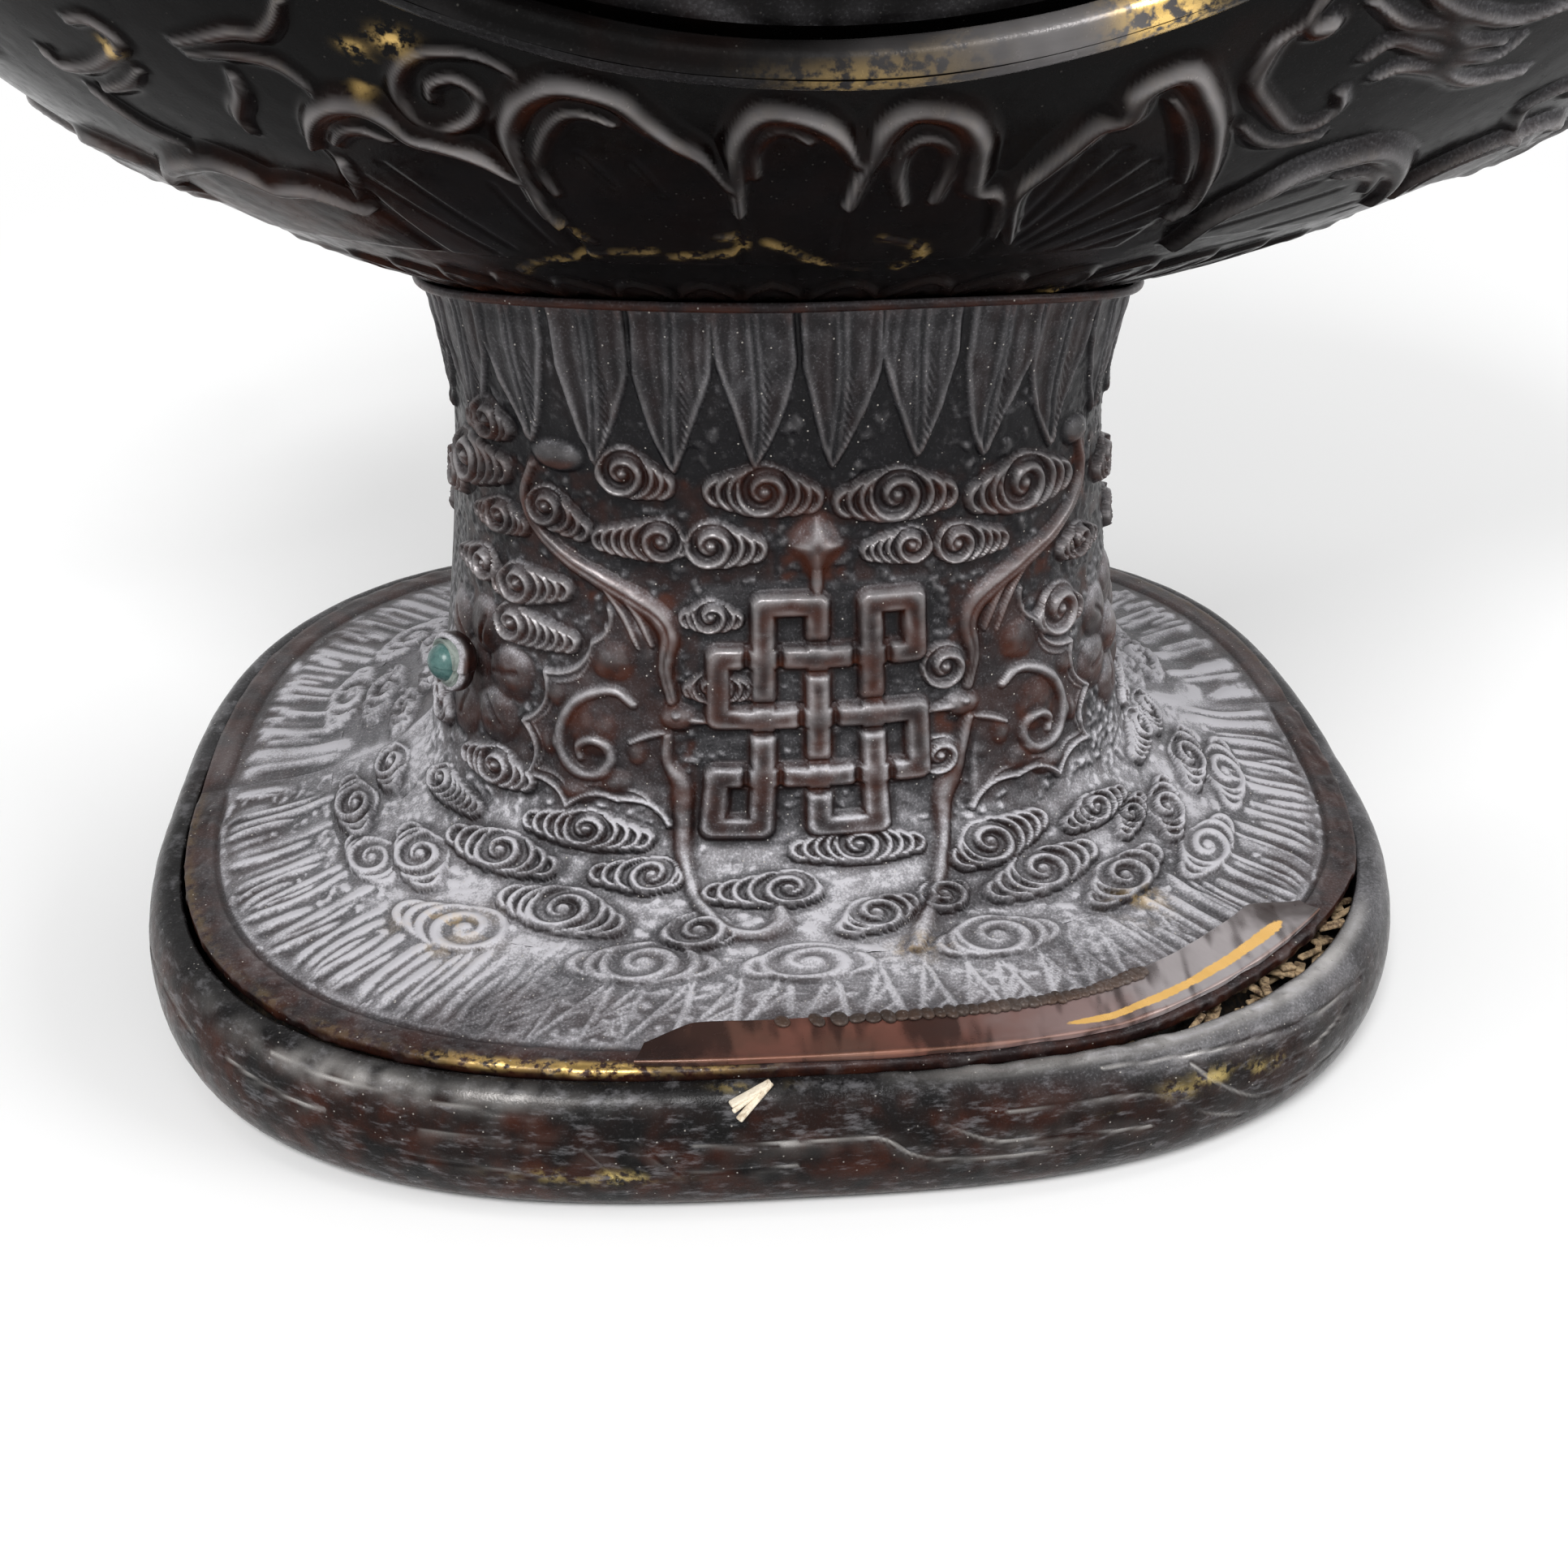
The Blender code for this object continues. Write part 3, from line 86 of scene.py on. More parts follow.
def unit(x: Net) -> Net:
    """Values kept between 0 and 1."""
    return np.clip(x, 0, 1)


def ease(low: float, high: float, x: Net) -> Net:
    """A smooth step from 0 at low to 1 at high."""
    t = unit((x - low) / (high - low))
    return t * t * (3 - 2 * t)


def hump(x: Net, half: float) -> Net:
    """A bell of height 1 that fades over half to either side."""
    return np.exp(-((x / half) ** 2))


def dome(x: Net, half: float) -> Net:
    """The rounded section of a raised bar: 1 on its line, 0 at its foot."""
    return unit(1 - (x / half) ** 2) ** 0.85


def blur(values: Net, reach: int, times: int = 2) -> Net:
    """Averages a net over its neighbours.

    Args:
        values: Rows and columns of numbers.
        reach: Cells to either side.
        times: How often.

    Returns:
        The softened net.
    """
    for axis in (0, 1):
        count = values.shape[axis]
        pads = [(reach + 1, reach) if side == axis else (0, 0) for side in (0, 1)]
        for _ in range(times):
            total = np.cumsum(np.pad(values, pads, mode="edge"), axis=axis)
            ahead = np.take(total, range(2 * reach + 1, 2 * reach + 1 + count), axis=axis)
            behind = np.take(total, range(count), axis=axis)
            values = (ahead - behind) / (2 * reach + 1)
    return values


def grain(shape: tuple[int, int], reach: int, seed: int) -> Net:
    """Soft unevenness with spots of about reach cells, spread about 0 by about 1."""
    spots = blur(np.random.default_rng(seed).standard_normal(shape), reach)
    return spots / max(float(spots.std()), 1e-9)


def flowing(points: Line, steps: int = 7, closed: bool = False) -> Net:
    """A smooth line through a few points.

    Args:
        points: The points.
        steps: Short runs between two points.
        closed: Whether it returns to its start.

    Returns:
        The points of the line.
    """
    pins = np.array(points, float)
    if closed:
        pins = np.vstack([pins[-1], pins, pins[:2]])
    else:
        pins = np.vstack([2 * pins[0] - pins[1], pins, 2 * pins[-1] - pins[-2]])
    line = []
    for before, start, end, after in zip(pins, pins[1:], pins[2:], pins[3:]):
        for t in np.arange(steps) / steps:
            near = 2 * start + (end - before) * t
            bend = (2 * before - 5 * start + 4 * end - after) * t * t
            turn = (3 * start - before - 3 * end + after) * t**3
            line.append(0.5 * (near + bend + turn))
    line.append(pins[-2])
    return np.array(line)


def scalloped(corners: Line, sag: float) -> Net:
    """A line of arcs between corners.

    Args:
        corners: The corners.
        sag: How far each arc sags to the left, as a share of its chord.

    Returns:
        The points of the line.
    """
    line = []
    for (ax, ay), (bx, by) in zip(corners, corners[1:]):
        for t in np.arange(8) / 8:
            bow = 4 * sag * t * (1 - t)
            line.append((ax + (bx - ax) * t + (by - ay) * bow, ay + (by - ay) * t - (bx - ax) * bow))
    line.append(corners[-1])
    return np.array(line)


def coiled(away: Net, x: Net, y: Net, turns: float) -> Net:
    """The crest of a spiral; away is the distance from its middle over its radius."""
    winding = away * turns - np.arctan2(y, x) / (2 * math.pi)
    return (0.5 + 0.5 * np.cos(2 * math.pi * winding)) ** 1.3


def apart(u: Net, v: Net, line: Net) -> tuple[Net, Net]:
    """How far each place lies from a line.

    Args:
        u: Places across.
        v: Places down.
        line: Points of the line.

    Returns:
        The distance, and the nearest point's share of the line's run.
    """
    best = np.full(u.shape, 1e9)
    share = np.zeros(u.shape)
    runs = len(line) - 1
    for index in range(runs):
        (ax, ay), (bx, by) = line[index], line[index + 1]
        dx, dy = bx - ax, by - ay
        t = unit(((u - ax) * dx + (v - ay) * dy) / (dx * dx + dy * dy + 1e-12))
        gap = np.hypot(u - ax - t * dx, v - ay - t * dy)
        closer = gap < best
        best = np.where(closer, gap, best)
        share = np.where(closer, (index + t) / runs, share)
    return best, share


def within(u: Net, v: Net, line: Net) -> Net:
    """Whether each place lies inside a closed line.

    Args:
        u: Places across.
        v: Places down.
        line: Points of the line.

    Returns:
        A net of truths.
    """
    odd = np.zeros(u.shape, bool)
    for (ax, ay), (bx, by) in zip(line, np.roll(line, -1, axis=0)):
        crosses = (ay > v) != (by > v)
        odd ^= crosses & (u < (bx - ax) * (v - ay) / (by - ay + 1e-12) + ax)
    return odd


@dataclass
class Relief:
    """Chased heights in millimetres over a net of places, and how brown and gilt each is."""

    u: Net
    v: Net
    height: Net = field(init=False)
    tint: Net = field(init=False)
    gilt: Net = field(init=False)

    def __post_init__(self) -> None:
        """Starts flat and untinted."""
        self.height, self.tint, self.gilt = np.zeros((3, len(self.v), len(self.u)))

    def window(self, low: Spot, high: Spot) -> tuple:
        """The part of the net between two corners.

        Args:
            low: Least place across and down.
            high: Greatest place.

        Returns:
            Slices of rows and columns, and the places across and down.
        """
        columns = slice(*np.searchsorted(self.u, (low[0], high[0])))
        rows = slice(*np.searchsorted(self.v, (low[1], high[1])))
        return (rows, columns), *np.meshgrid(self.u[columns], self.v[rows])

    def around(self, line: Net, margin: float) -> tuple:
        """The part of the net about a line, with a margin."""
        return self.window(tuple(line.min(0) - margin), tuple(line.max(0) + margin))

    def near(self, at: Spot, reach: float, tall: float = 0.0) -> tuple:
        """The part of the net within a reach of a place; tall is the reach down."""
        tall = tall or reach
        return self.window((at[0] - reach, at[1] - tall), (at[0] + reach, at[1] + tall))

    def raise_to(self, part: tuple, made: Net, tint: float = 0.0) -> None:
        """Raises a part of the net to new heights where these stand higher."""
        self.tint[part] = np.where(made > self.height[part] + 0.02, tint, self.tint[part])
        self.height[part] = np.maximum(self.height[part], made)

    def ridge(
        self, line: Net, half: float, rise: float, tint: float = 0, over: bool = False,
        swell: Sequence[float] = (1,), flat: bool = False, gilt: float = 0, fall: float = 0.85,
    ) -> None:
        """A raised bar along a line.

        Args:
            line: Points of the line.
            half: Half its width.
            rise: Its height.
            tint: How brown it is.
            over: Whether it rides on what is there.
            swell: Its width at even shares of its run.
            flat: Whether its top is flat.
            gilt: How much gilding it keeps.
            fall: How softly its sides run out.
        """
        part, u, v = self.around(line, half * max(swell) * 1.1)
        gap, share = apart(u, v, line)
        gap = gap / (half * np.interp(share, np.linspace(0, 1, len(swell)), swell))
        made = rise * (ease(1, 0.5, gap) if flat else unit(1 - gap**2) ** fall)
        self.gilt[part] = np.maximum(self.gilt[part], gilt * (made > 0.3 * rise))
        if over:
            self.height[part] += made
            self.tint[part] = np.maximum(self.tint[part], tint * (made > 0.3 * rise))
        else:
            self.raise_to(part, made, tint)

    def groove(self, line: Net, half: float, depth: float) -> None:
        """A chased line sunk into what is there."""
        part, u, v = self.around(line, half * 3)
        self.height[part] -= depth * hump(apart(u, v, line)[0], half)

    def plate(self, line: Net, rise: float, edge: float, tint: float = 0.0) -> None:
        """A raised flat field with a soft edge.

        Args:
            line: Points of the closed line round it.
            rise: Its height.
            edge: Half the width of its edge.
            tint: How brown it is.
        """
        part, u, v = self.around(line, edge)
        gap, _ = apart(u, v, np.vstack([line, line[:1]]))
        signed = np.where(within(u, v, line), gap, -gap)
        self.raise_to(part, rise * ease(-edge, edge, signed), tint)

    def boss(self, at: Spot, half: Spot, rise: float, tint: float = 0.0) -> None:
        """A round boss."""
        part, u, v = self.near(at, *half)
        self.raise_to(part, rise * dome(np.hypot((u - at[0]) / half[0], (v - at[1]) / half[1]), 1), tint)

    def spiral(self, at: Spot, radius: float, turns: float, rise: float, spin: int = 1) -> None:
        """A spiral tendril on a low round bed.

        Args:
            at: Its middle.
            radius: Its radius.
            turns: How often it winds.
            rise: Its height.
            spin: 1 or -1, the way it winds.
        """
        part, u, v = self.near(at, radius * 1.15)
        x, y = (u - at[0]) * spin, v - at[1]
        away = np.hypot(x, y) / radius
        self.raise_to(part, rise * ease(1.08, 0.9, away) * (0.45 + 0.55 * coiled(away, x, y, turns)))

    def cloud(self, at: Spot, half: Spot, lean: float, eye: float, rise: float, pitch: float = 0.5) -> None:
        """Stacked crescents to either side of a spiral eye.

        Args:
            at: Its middle.
            half: Half its length and height.
            lean: Its tilt in degrees.
            eye: Place of the spiral along it, -1 to 1.
            rise: Its height.
            pitch: Between crescents, as a share of half its height.
        """
        long, tall = half
        part, u, v = self.near(at, long * 1.1)
        if not u.size:
            return
        c, s = math.cos(math.radians(lean)), math.sin(math.radians(lean))
        x = (u - at[0]) * c + (v - at[1]) * s - eye * long
        y = (v - at[1]) * c - (u - at[0]) * s
        radius = 0.92 * tall
        made = np.zeros(u.shape)
        for side in (-1, 1):
            room = long - side * eye * long - radius
            count = int(np.clip(math.ceil(room / (pitch * tall)), 0, 6))
            for step in range(count, 0, -1):
                far = step / count
                size = tall * (0.98 - 0.42 * far**1.3)
                past = (np.hypot(x - side * (radius + room * far - size), y - 0.16 * tall * far) - size) / tall
                cover = ease(0.04, -0.08, past)
                made = made * (1 - cover) + rise * (0.2 + 0.72 * hump(past + 0.17, 0.15)) * cover
        away = np.hypot(x, y) / radius
        cover = ease(1.05, 0.95, away)
        spin = 1 if eye <= 0 else -1
        level = 0.26 + 0.78 * coiled(away, x * spin, y, 1.5) * ease(0.2, 0.42, away) + 0.8 * hump(away, 0.25)
        self.raise_to(part, made * (1 - cover) + rise * level * cover, 0.3)

    def marks(self, fine: float) -> dict[Mark, Net]:
        """Crest and tint over the net; fine is the height of a full crest."""
        near = self.height - blur(self.height, 3)
        return {CREST: unit(near / fine) ** 1.3, TINT: blur(self.tint, 1)}


def signed_power(x: Net, power: float | Net) -> Net:
    """A power that keeps the sign of its base."""
    return np.sign(x) * np.abs(x) ** power


def stacked(x: Net, y: Net, z: Net) -> Net:
    """Points from their three coordinates."""
    return np.stack(np.broadcast_arrays(x, y, z), axis=-1)


def runs_along(line: Net) -> Net:
    """The run from the start of a line to each of its points."""
    return np.r_[0, np.cumsum(np.hypot(*np.diff(line, axis=0).T))]


def oval(angle: Net, power: float | Net, wide: float | Net, deep: float | Net) -> tuple[Net, Net]:
    """A point of an oval; a higher power squares its corners."""
    return signed_power(np.cos(angle), 2 / power) * wide, signed_power(np.sin(angle), 2 / power) * deep


def angle_at(run: Net, girth: tuple[Net, Net]) -> Net:
    """The angle at a run round an outline.

    Args:
        run: Run from the front.
        girth: The outline's angles and the run to each.

    Returns:
        The angle in radians.
    """
    angles, runs = girth
    front = np.interp(1.5 * math.pi, angles, runs)
    return np.interp((run + front) % runs[-1], runs, angles)


@dataclass(frozen=True)
class BodyForm:
    """Outside of the body, by turn about the neck and dip below its widest level, in degrees."""

    centre: float = 1.8
    handle_half: float = 110.5
    spout_half: float = 131.0
    half_depth: float = 68.0
    low_height: float = 89.0
    top_height: float = 88.0
    middle: float = 164.8
    neck_hole: float = 20.8
    shoulder_power: float = 1.2

    def underside(self, x: Net, y: Net) -> Net:
        """Height of the underside.

        Args:
            x: Places across.
            y: Places from front to back.

        Returns:
            The heights in millimetres.
        """
        x = x - self.centre
        half = np.where(x > 0, self.spout_half, self.handle_half)
        inside = 1 - (x / half) ** 2 - (y / self.half_depth) ** 2
        return self.middle - self.low_height * np.sqrt(np.maximum(inside, 1e-6))

    def place(self, turn: Net, dip: Net) -> Net:
        """Points of the outside.

        Args:
            turn: Degrees about the neck, 270 at the front.
            dip: Degrees below the widest level.

        Returns:
            The points in millimetres.
        """
        turn, lift = np.radians(turn), np.radians(-dip)
        half = np.where(np.cos(turn) > 0, self.spout_half, self.handle_half)
        level = np.maximum(np.cos(lift), 0)
        share = np.where(lift < 0, level, level**self.shoulder_power)
        hole = np.where(lift < 0, 0, self.neck_hole)
        across = hole + (half - hole) * share
        along = hole + (self.half_depth - hole) * share
        rise = np.where(lift < 0, self.low_height, self.top_height) * np.sin(lift)
        return stacked(across * np.cos(turn) + self.centre, along * np.sin(turn), self.middle + rise)

    def front(self, x: Net, z: Net) -> Net:
        """Points of the front, seen from straight ahead.

        Args:
            x: Places across.
            z: Heights.

        Returns:
            The points in millimetres.
        """
        x = np.asarray(x) - self.centre
        half = np.where(x > 0, self.spout_half, self.handle_half)
        drop = z - self.middle
        low = self.half_depth * np.sqrt(unit(1 - (x / half) ** 2 - (drop / self.low_height) ** 2))
        share = unit(1 - (drop / self.top_height) ** 2) ** (self.shoulder_power / 2)
        across = self.neck_hole + (half - self.neck_hole) * share
        along = self.neck_hole + (self.half_depth - self.neck_hole) * share
        high = along * np.sqrt(unit(1 - (x / across) ** 2))
        return stacked(x + self.centre, -np.where(drop < 0, low, high), z)


@dataclass(frozen=True)
class FootForm:
    """Outside of the foot sheet, by run round the stem and run down its profile."""

    body: BodyForm = BodyForm()
    centre: float = 1.8
    rim_half: float = 77.5
    depth_less: float = 9.0
    low_half: float = 42.4
    stem_power: float = 2.35
    rim_power: float = 2.85
    border_half: float = 72.4
    border_width: float = 6.4
    sheet: float = 1.2
    split_angle: float = -46.0
    split_spread: float = 24.0
    split_width: float = 1.9
    top_half: float = 39.4
    waist_half: float = 37.8
    waist_depth: float = 28.8

    def profile(self) -> tuple[Net, Net]:
        """The profile from the stem's top to the border's edge.

        Returns:
            Half-width and height of its points, and the run down to each.
        """
        top = float(self.body.underside(np.array(self.centre + self.top_half), np.array(0)))
        bends = [(self.top_half, top), (self.waist_half, 64), (self.low_half, 31), (47.5, 22), (58, 17.6)]
        bends += [(self.border_half - self.border_width, 16.6), (self.border_half, 16.12)]
        line = flowing(bends, 130)
        return line, runs_along(line)

    def girth(self) -> tuple[Net, Net]:
        """Angles round the stem's waist and the run round to each, 0 at the front."""
        angle = np.linspace(0, 2 * math.pi, 3601)
        return angle, runs_along(np.stack(oval(angle, self.stem_power, self.waist_half, self.waist_depth), axis=1))

    def half_girth(self) -> float:
        """Half the run round the stem's waist."""
        return float(self.girth()[1][-1]) / 2

    def length(self) -> float:
        """The run from the stem's top to the border's edge."""
        return float(self.profile()[1][-1])

    def gape(self, angle: Net) -> Net:
        """How far the seam stands open at an angle, from 0 to 1."""
        turn = (np.degrees(angle) - self.split_angle + 180) % 360 - 180
        return np.cos(np.minimum(np.abs(turn) / self.split_spread, 1) * math.pi / 2)

    def outline(self, wide: Net, angle: Net, shaping: Net) -> tuple[Net, Net]:
        """A point of the foot's outline seen from above.

        Args:
            wide: Its half-width.
            angle: Its angle.
            shaping: The half-width that tells how square the outline is.

        Returns:
            Its place across and from front to back.
        """
        share = unit((shaping - self.low_half) / (self.rim_half - self.low_half)) ** 0.8
        power = self.stem_power + (self.rim_power - self.stem_power) * share
        x, y = oval(angle, power, wide, wide - self.depth_less)
        return x + self.centre * (1 - share), y

    def ring(self, wide: Net, angle: Net) -> tuple[Net, Net]:
        """A point of the outline, drawn in at the border where the seam gapes."""
        border = unit((wide - self.border_half + self.border_width) / self.border_width)
        return self.outline(wide - self.split_width * self.gape(angle) * border, angle, wide)

    def place(self, run: Net, down: Net) -> Net:
        """Points of the outside; past the border's edge the sheet turns under.

        Args:
            run: Run round the stem from the front.
            down: Run down the profile.

        Returns:
            The points in millimetres.
        """
        line, runs = self.profile()
        past = np.maximum(down - runs[-1], 0)
        wide = np.interp(down, runs, line[:, 0]) - np.maximum(past - self.sheet, 0)
        height = np.interp(down, runs, line[:, 1]) - np.minimum(past, self.sheet)
        x, y = self.ring(wide, angle_at(run, self.girth()))
        follow = unit(1 - down / 12) ** 1.5
        return stacked(x, y, height + follow * (self.body.underside(x, y) - 0.3 - line[0, 1]))


@dataclass(frozen=True)
class RimForm:
    """Outside of the rolled rim, by run round it and run down its section."""

    half: float = 77.5
    depth_less: float = 9.0
    power: float = 2.85
    height: float = 15.4
    top_inset: float = 3.6
    base_inset: float = 3.4
    flange: float = 8.0
    lip: float = 1.2
    inside: float = 5.0

    def girth(self) -> tuple[Net, Net]:
        """Angles round the rim and the run round to each."""
        angle = np.linspace(0, 2 * math.pi, 7201)
        return angle, runs_along(np.stack(oval(angle, self.power, self.half, self.half - self.depth_less), axis=1))

    def section(self) -> tuple[Net, Net]:
        """The section from inside the lip over the outside to the flange below.

        Returns:
            Half-width and height of its points, and the run to each from the top of the lip.
        """
        t = np.linspace(0, math.pi, 60)
        inset = np.where(t < math.pi / 2, self.top_inset, self.base_inset)
        wide = self.half - inset * (1 - np.sin(t))
        high = self.height * (1 + np.cos(t)) / 2
        lip = wide[0] - self.lip
        line = np.vstack([
            [(lip, self.height - self.inside), (lip, self.height - 0.25), (lip + 0.25, self.height)],
            np.stack([wide, high], axis=1),
            [(wide[-1] - self.flange, 0)],
        ])
        run = runs_along(line)
        return line, run - run[3]

    def place(self, run: Net, down: Net) -> Net:
        """Points of the rim.

        Args:
            run: Run round from the front.
            down: Run down from the top of the lip.

        Returns:
            The points in millimetres.
        """
        line, length = self.section()
        wide = np.interp(down, length, line[:, 0])
        x, y = oval(angle_at(run, self.girth()), self.power, wide, wide - self.depth_less)
        return stacked(x, y, np.interp(down, length, line[:, 1]))


@dataclass(frozen=True)
class TurnedForm:
    """A turned piece, by degrees round it and run along its profile."""

    profile: Line
    centre: Spot = (1.8, 0)
    steps: int = 6

    def line(self) -> tuple[Net, Net]:
        """Radius and height of the smoothed profile, and the run to each point."""
        line = flowing(self.profile, self.steps)
        return line, runs_along(line)

    def length(self) -> float:
        """The run of the whole profile."""
        return float(self.line()[1][-1])

    def place(self, turn: Net, along: Net) -> Net:
        """Points of the outside.

        Args:
            turn: Degrees round.
            along: Run along the profile.

        Returns:
            The points in millimetres.
        """
        line, run = self.line()
        radius = np.interp(along, run, line[:, 0])
        turn = np.radians(turn)
        x = radius * np.cos(turn) + self.centre[0]
        return stacked(x, radius * np.sin(turn) + self.centre[1], np.interp(along, run, line[:, 1]))


@dataclass(frozen=True)
class TubeForm:
    """A tube in the upright plane of spout and handle, by degrees round it and run along."""

    bends: Line
    radii: Callable[[Net], Net]
    squash: float = 1.0
    centre: float = 1.8

    def line(self) -> tuple[Net, Net]:
        """The middle line and the run to each of its points."""
        line = flowing(self.bends, 16)
        return line, runs_along(line)

    def length(self) -> float:
        """The run of the whole middle line."""
        return float(self.line()[1][-1])

    def place(self, turn: Net, along: Net) -> Net:
        """Points of the outside.

        Args:
            turn: Degrees round; 90 faces left of the run, seen from the front.
            along: Run along the middle line.

        Returns:
            The points in millimetres.
        """
        line, run = self.line()
        slope = np.gradient(line, axis=0)
        slope /= np.linalg.norm(slope, axis=1, keepdims=True)
        x, z = (np.interp(along, run, line[:, axis]) for axis in (0, 1))
        tx, tz = (np.interp(along, run, slope[:, axis]) for axis in (0, 1))
        radius = self.radii(unit(along / run[-1]))
        turn = np.radians(turn)
        out = np.sin(turn) * radius * self.squash
        return stacked(x + self.centre - tz * out, np.cos(turn) * radius, z + tx * out)


@dataclass(frozen=True)
class BossForm:
    """An egg-shaped mask, by degrees round its axis and back from its nose."""

    at: tuple[float, float, float]
    half: tuple[float, float, float]
    way: float = 1.0

    def place(self, turn: Net, back: Net) -> Net:
        """Points of the outside.

        Args:
            turn: Degrees round; 90 is up.
            back: Degrees back from the nose.

        Returns:
            The points in millimetres.
        """
        turn, back = np.radians(turn), np.radians(back)
        x = self.at[0] + self.way * self.half[0] * np.cos(back)
        y = self.at[1] - self.way * self.half[1] * np.sin(back) * np.cos(turn)
        return stacked(x, y, self.at[2] + self.half[2] * np.sin(back) * np.sin(turn))


def meshed(bm: bmesh.types.BMesh, name: str) -> bpy.types.Mesh:
    """A mesh of what was built.

    Args:
        bm: What was built; it is freed.
        name: The mesh's name.

    Returns:
        The mesh.
    """
    mesh = bpy.data.meshes.new(name)
    bm.to_mesh(mesh)
    bm.free()
    return mesh


def leave_mark(mesh: bpy.types.Mesh, mark: Mark, values: Net) -> None:
    """Keeps a mark as a vertex attribute of a mesh."""
    layer = mesh.attributes.new(mark.value, "FLOAT", "POINT")
    layer.data.foreach_set("value", values.astype(np.float32))


def linked(name: str, data: bpy.types.ID) -> bpy.types.Object:
    """A new object of the scene.

    Args:
        name: Its name.
        data: Its mesh, lamp or lens.

    Returns:
        The object.
    """
    made = bpy.data.objects.new(name, data)
    bpy.context.scene.collection.objects.link(made)
    return made


def facing(points: Net) -> Net:
    """Unit normals of a net of points, across its columns and then down its rows."""
    normals = np.cross(np.gradient(points, axis=1), np.gradient(points, axis=0))
    return normals / np.maximum(np.linalg.norm(normals, axis=2, keepdims=True), 1e-12)


@dataclass
class Sheet:
    """A net of points pressed out by a relief, ready to be cut into pieces."""

    points: Net
    marks: dict[Mark, Net]
    way: float
    lean: Net

    @classmethod
    def pressed(cls, place: Callable, relief: Relief, way: float, fine: float = 0.22) -> "Sheet":
        """Presses a relief out of a form.

        Args:
            place: Gives the form's points over a net.
            relief: Heights over the net.
            way: 1 where across-by-down faces outwards, else -1.
            fine: Height of a full crest.

        Returns:
            The sheet; crests are lighter on their upper flanks as a painted highlight, upward faces are dusty, and
            lower flanks are tinted brown as painted shade.
        """
        base = place(*np.meshgrid(relief.u, relief.v))
        flat = facing(base)
        points = base + flat * way * relief.height[..., None]
        marks = relief.marks(fine)
        up = facing(points)[..., 2] * way
        lean = up - flat[..., 2] * way
        # Painted highlight: crests are kept lighter on their upper flanks.
        marks[CREST] *= 0.25 + 0.75 * ease(-0.2, 0.35, lean)
        # Painted shade: the lower flanks of raised parts are tinted brown.
        upright = ease(0.75, 0.2, flat[..., 2] * way)
        below = blur(ease(0.05, -0.35, lean), 1)
        marks[TINT] += (0.2 + 0.55 * upright) * below * ease(0.15, 0.45, relief.height)
        marks[DUST] = ease(0, 0.7, up)
        marks[GILT] = blur(relief.gilt, 1)
        return cls(points, marks, way, lean)

    def cut(
        self, name: str, rows: slice = slice(None), columns: slice = slice(None), closed: bool = False
    ) -> bpy.types.Mesh:
        """Cuts a piece out of the sheet.

        Args:
            name: The mesh's name.
            rows: Rows to keep.
            columns: Columns to keep.
            closed: Whether the last column meets the first.

        Returns:
            The smooth mesh, with its marks as attributes.
        """
        points = self.points[rows, columns]
        high, wide = points.shape[:2]
        bm = bmesh.new()
        bmesh.ops.create_grid(bm, x_segments=wide - 1, y_segments=high - 1, size=0.5)
        if self.way < 0:
            bmesh.ops.reverse_faces(bm, faces=bm.faces)
        mesh = meshed(bm, name)
        spots = np.empty(len(mesh.vertices) * 3, np.float32)
        mesh.vertices.foreach_get("co", spots)
        spots = spots.reshape(-1, 3)
        column = np.rint((spots[:, 0] + 0.5) * (wide - 1)).astype(int)
        row = np.rint((spots[:, 1] + 0.5) * (high - 1)).astype(int)
        mesh.vertices.foreach_set("co", (points[row, column] * MM).astype(np.float32).ravel())
        for mark, values in self.marks.items():
            leave_mark(mesh, mark, values[rows, columns][row, column])
        mesh.polygons.foreach_set("use_smooth", np.ones(len(mesh.polygons), bool))
        if closed:
            bm = bmesh.new()
            bm.from_mesh(mesh)
            bmesh.ops.remove_doubles(bm, verts=bm.verts, dist=1e-6)
            bm.to_mesh(mesh)
            bm.free()
        else:
            normals = (facing(self.points) * self.way)[rows, columns][row, column]
            mesh.normals_split_custom_set_from_vertices(normals.tolist())
        mesh.update()
        return mesh


def settle(mesh: bpy.types.Mesh, finish: "Finish", *nodes: str, rider: Rider = Rider.EWER) -> bpy.types.Object:
    """Puts a mesh in the scene as a piece.

    Args:
        mesh: The mesh, in place.
        finish: Its finish.
        nodes: The solids it stands for.
        rider: The body it rides on.

    Returns:
        The piece.
    """
    piece = linked(mesh.name, mesh)
    mesh.materials.clear()
    mesh.materials.append(finish.material())
    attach(piece, rider.value)
    if nodes:
        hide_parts(*nodes)
    LOG.info("%s: %d faces on %s", piece.name, len(mesh.polygons), rider.value)
    return piece


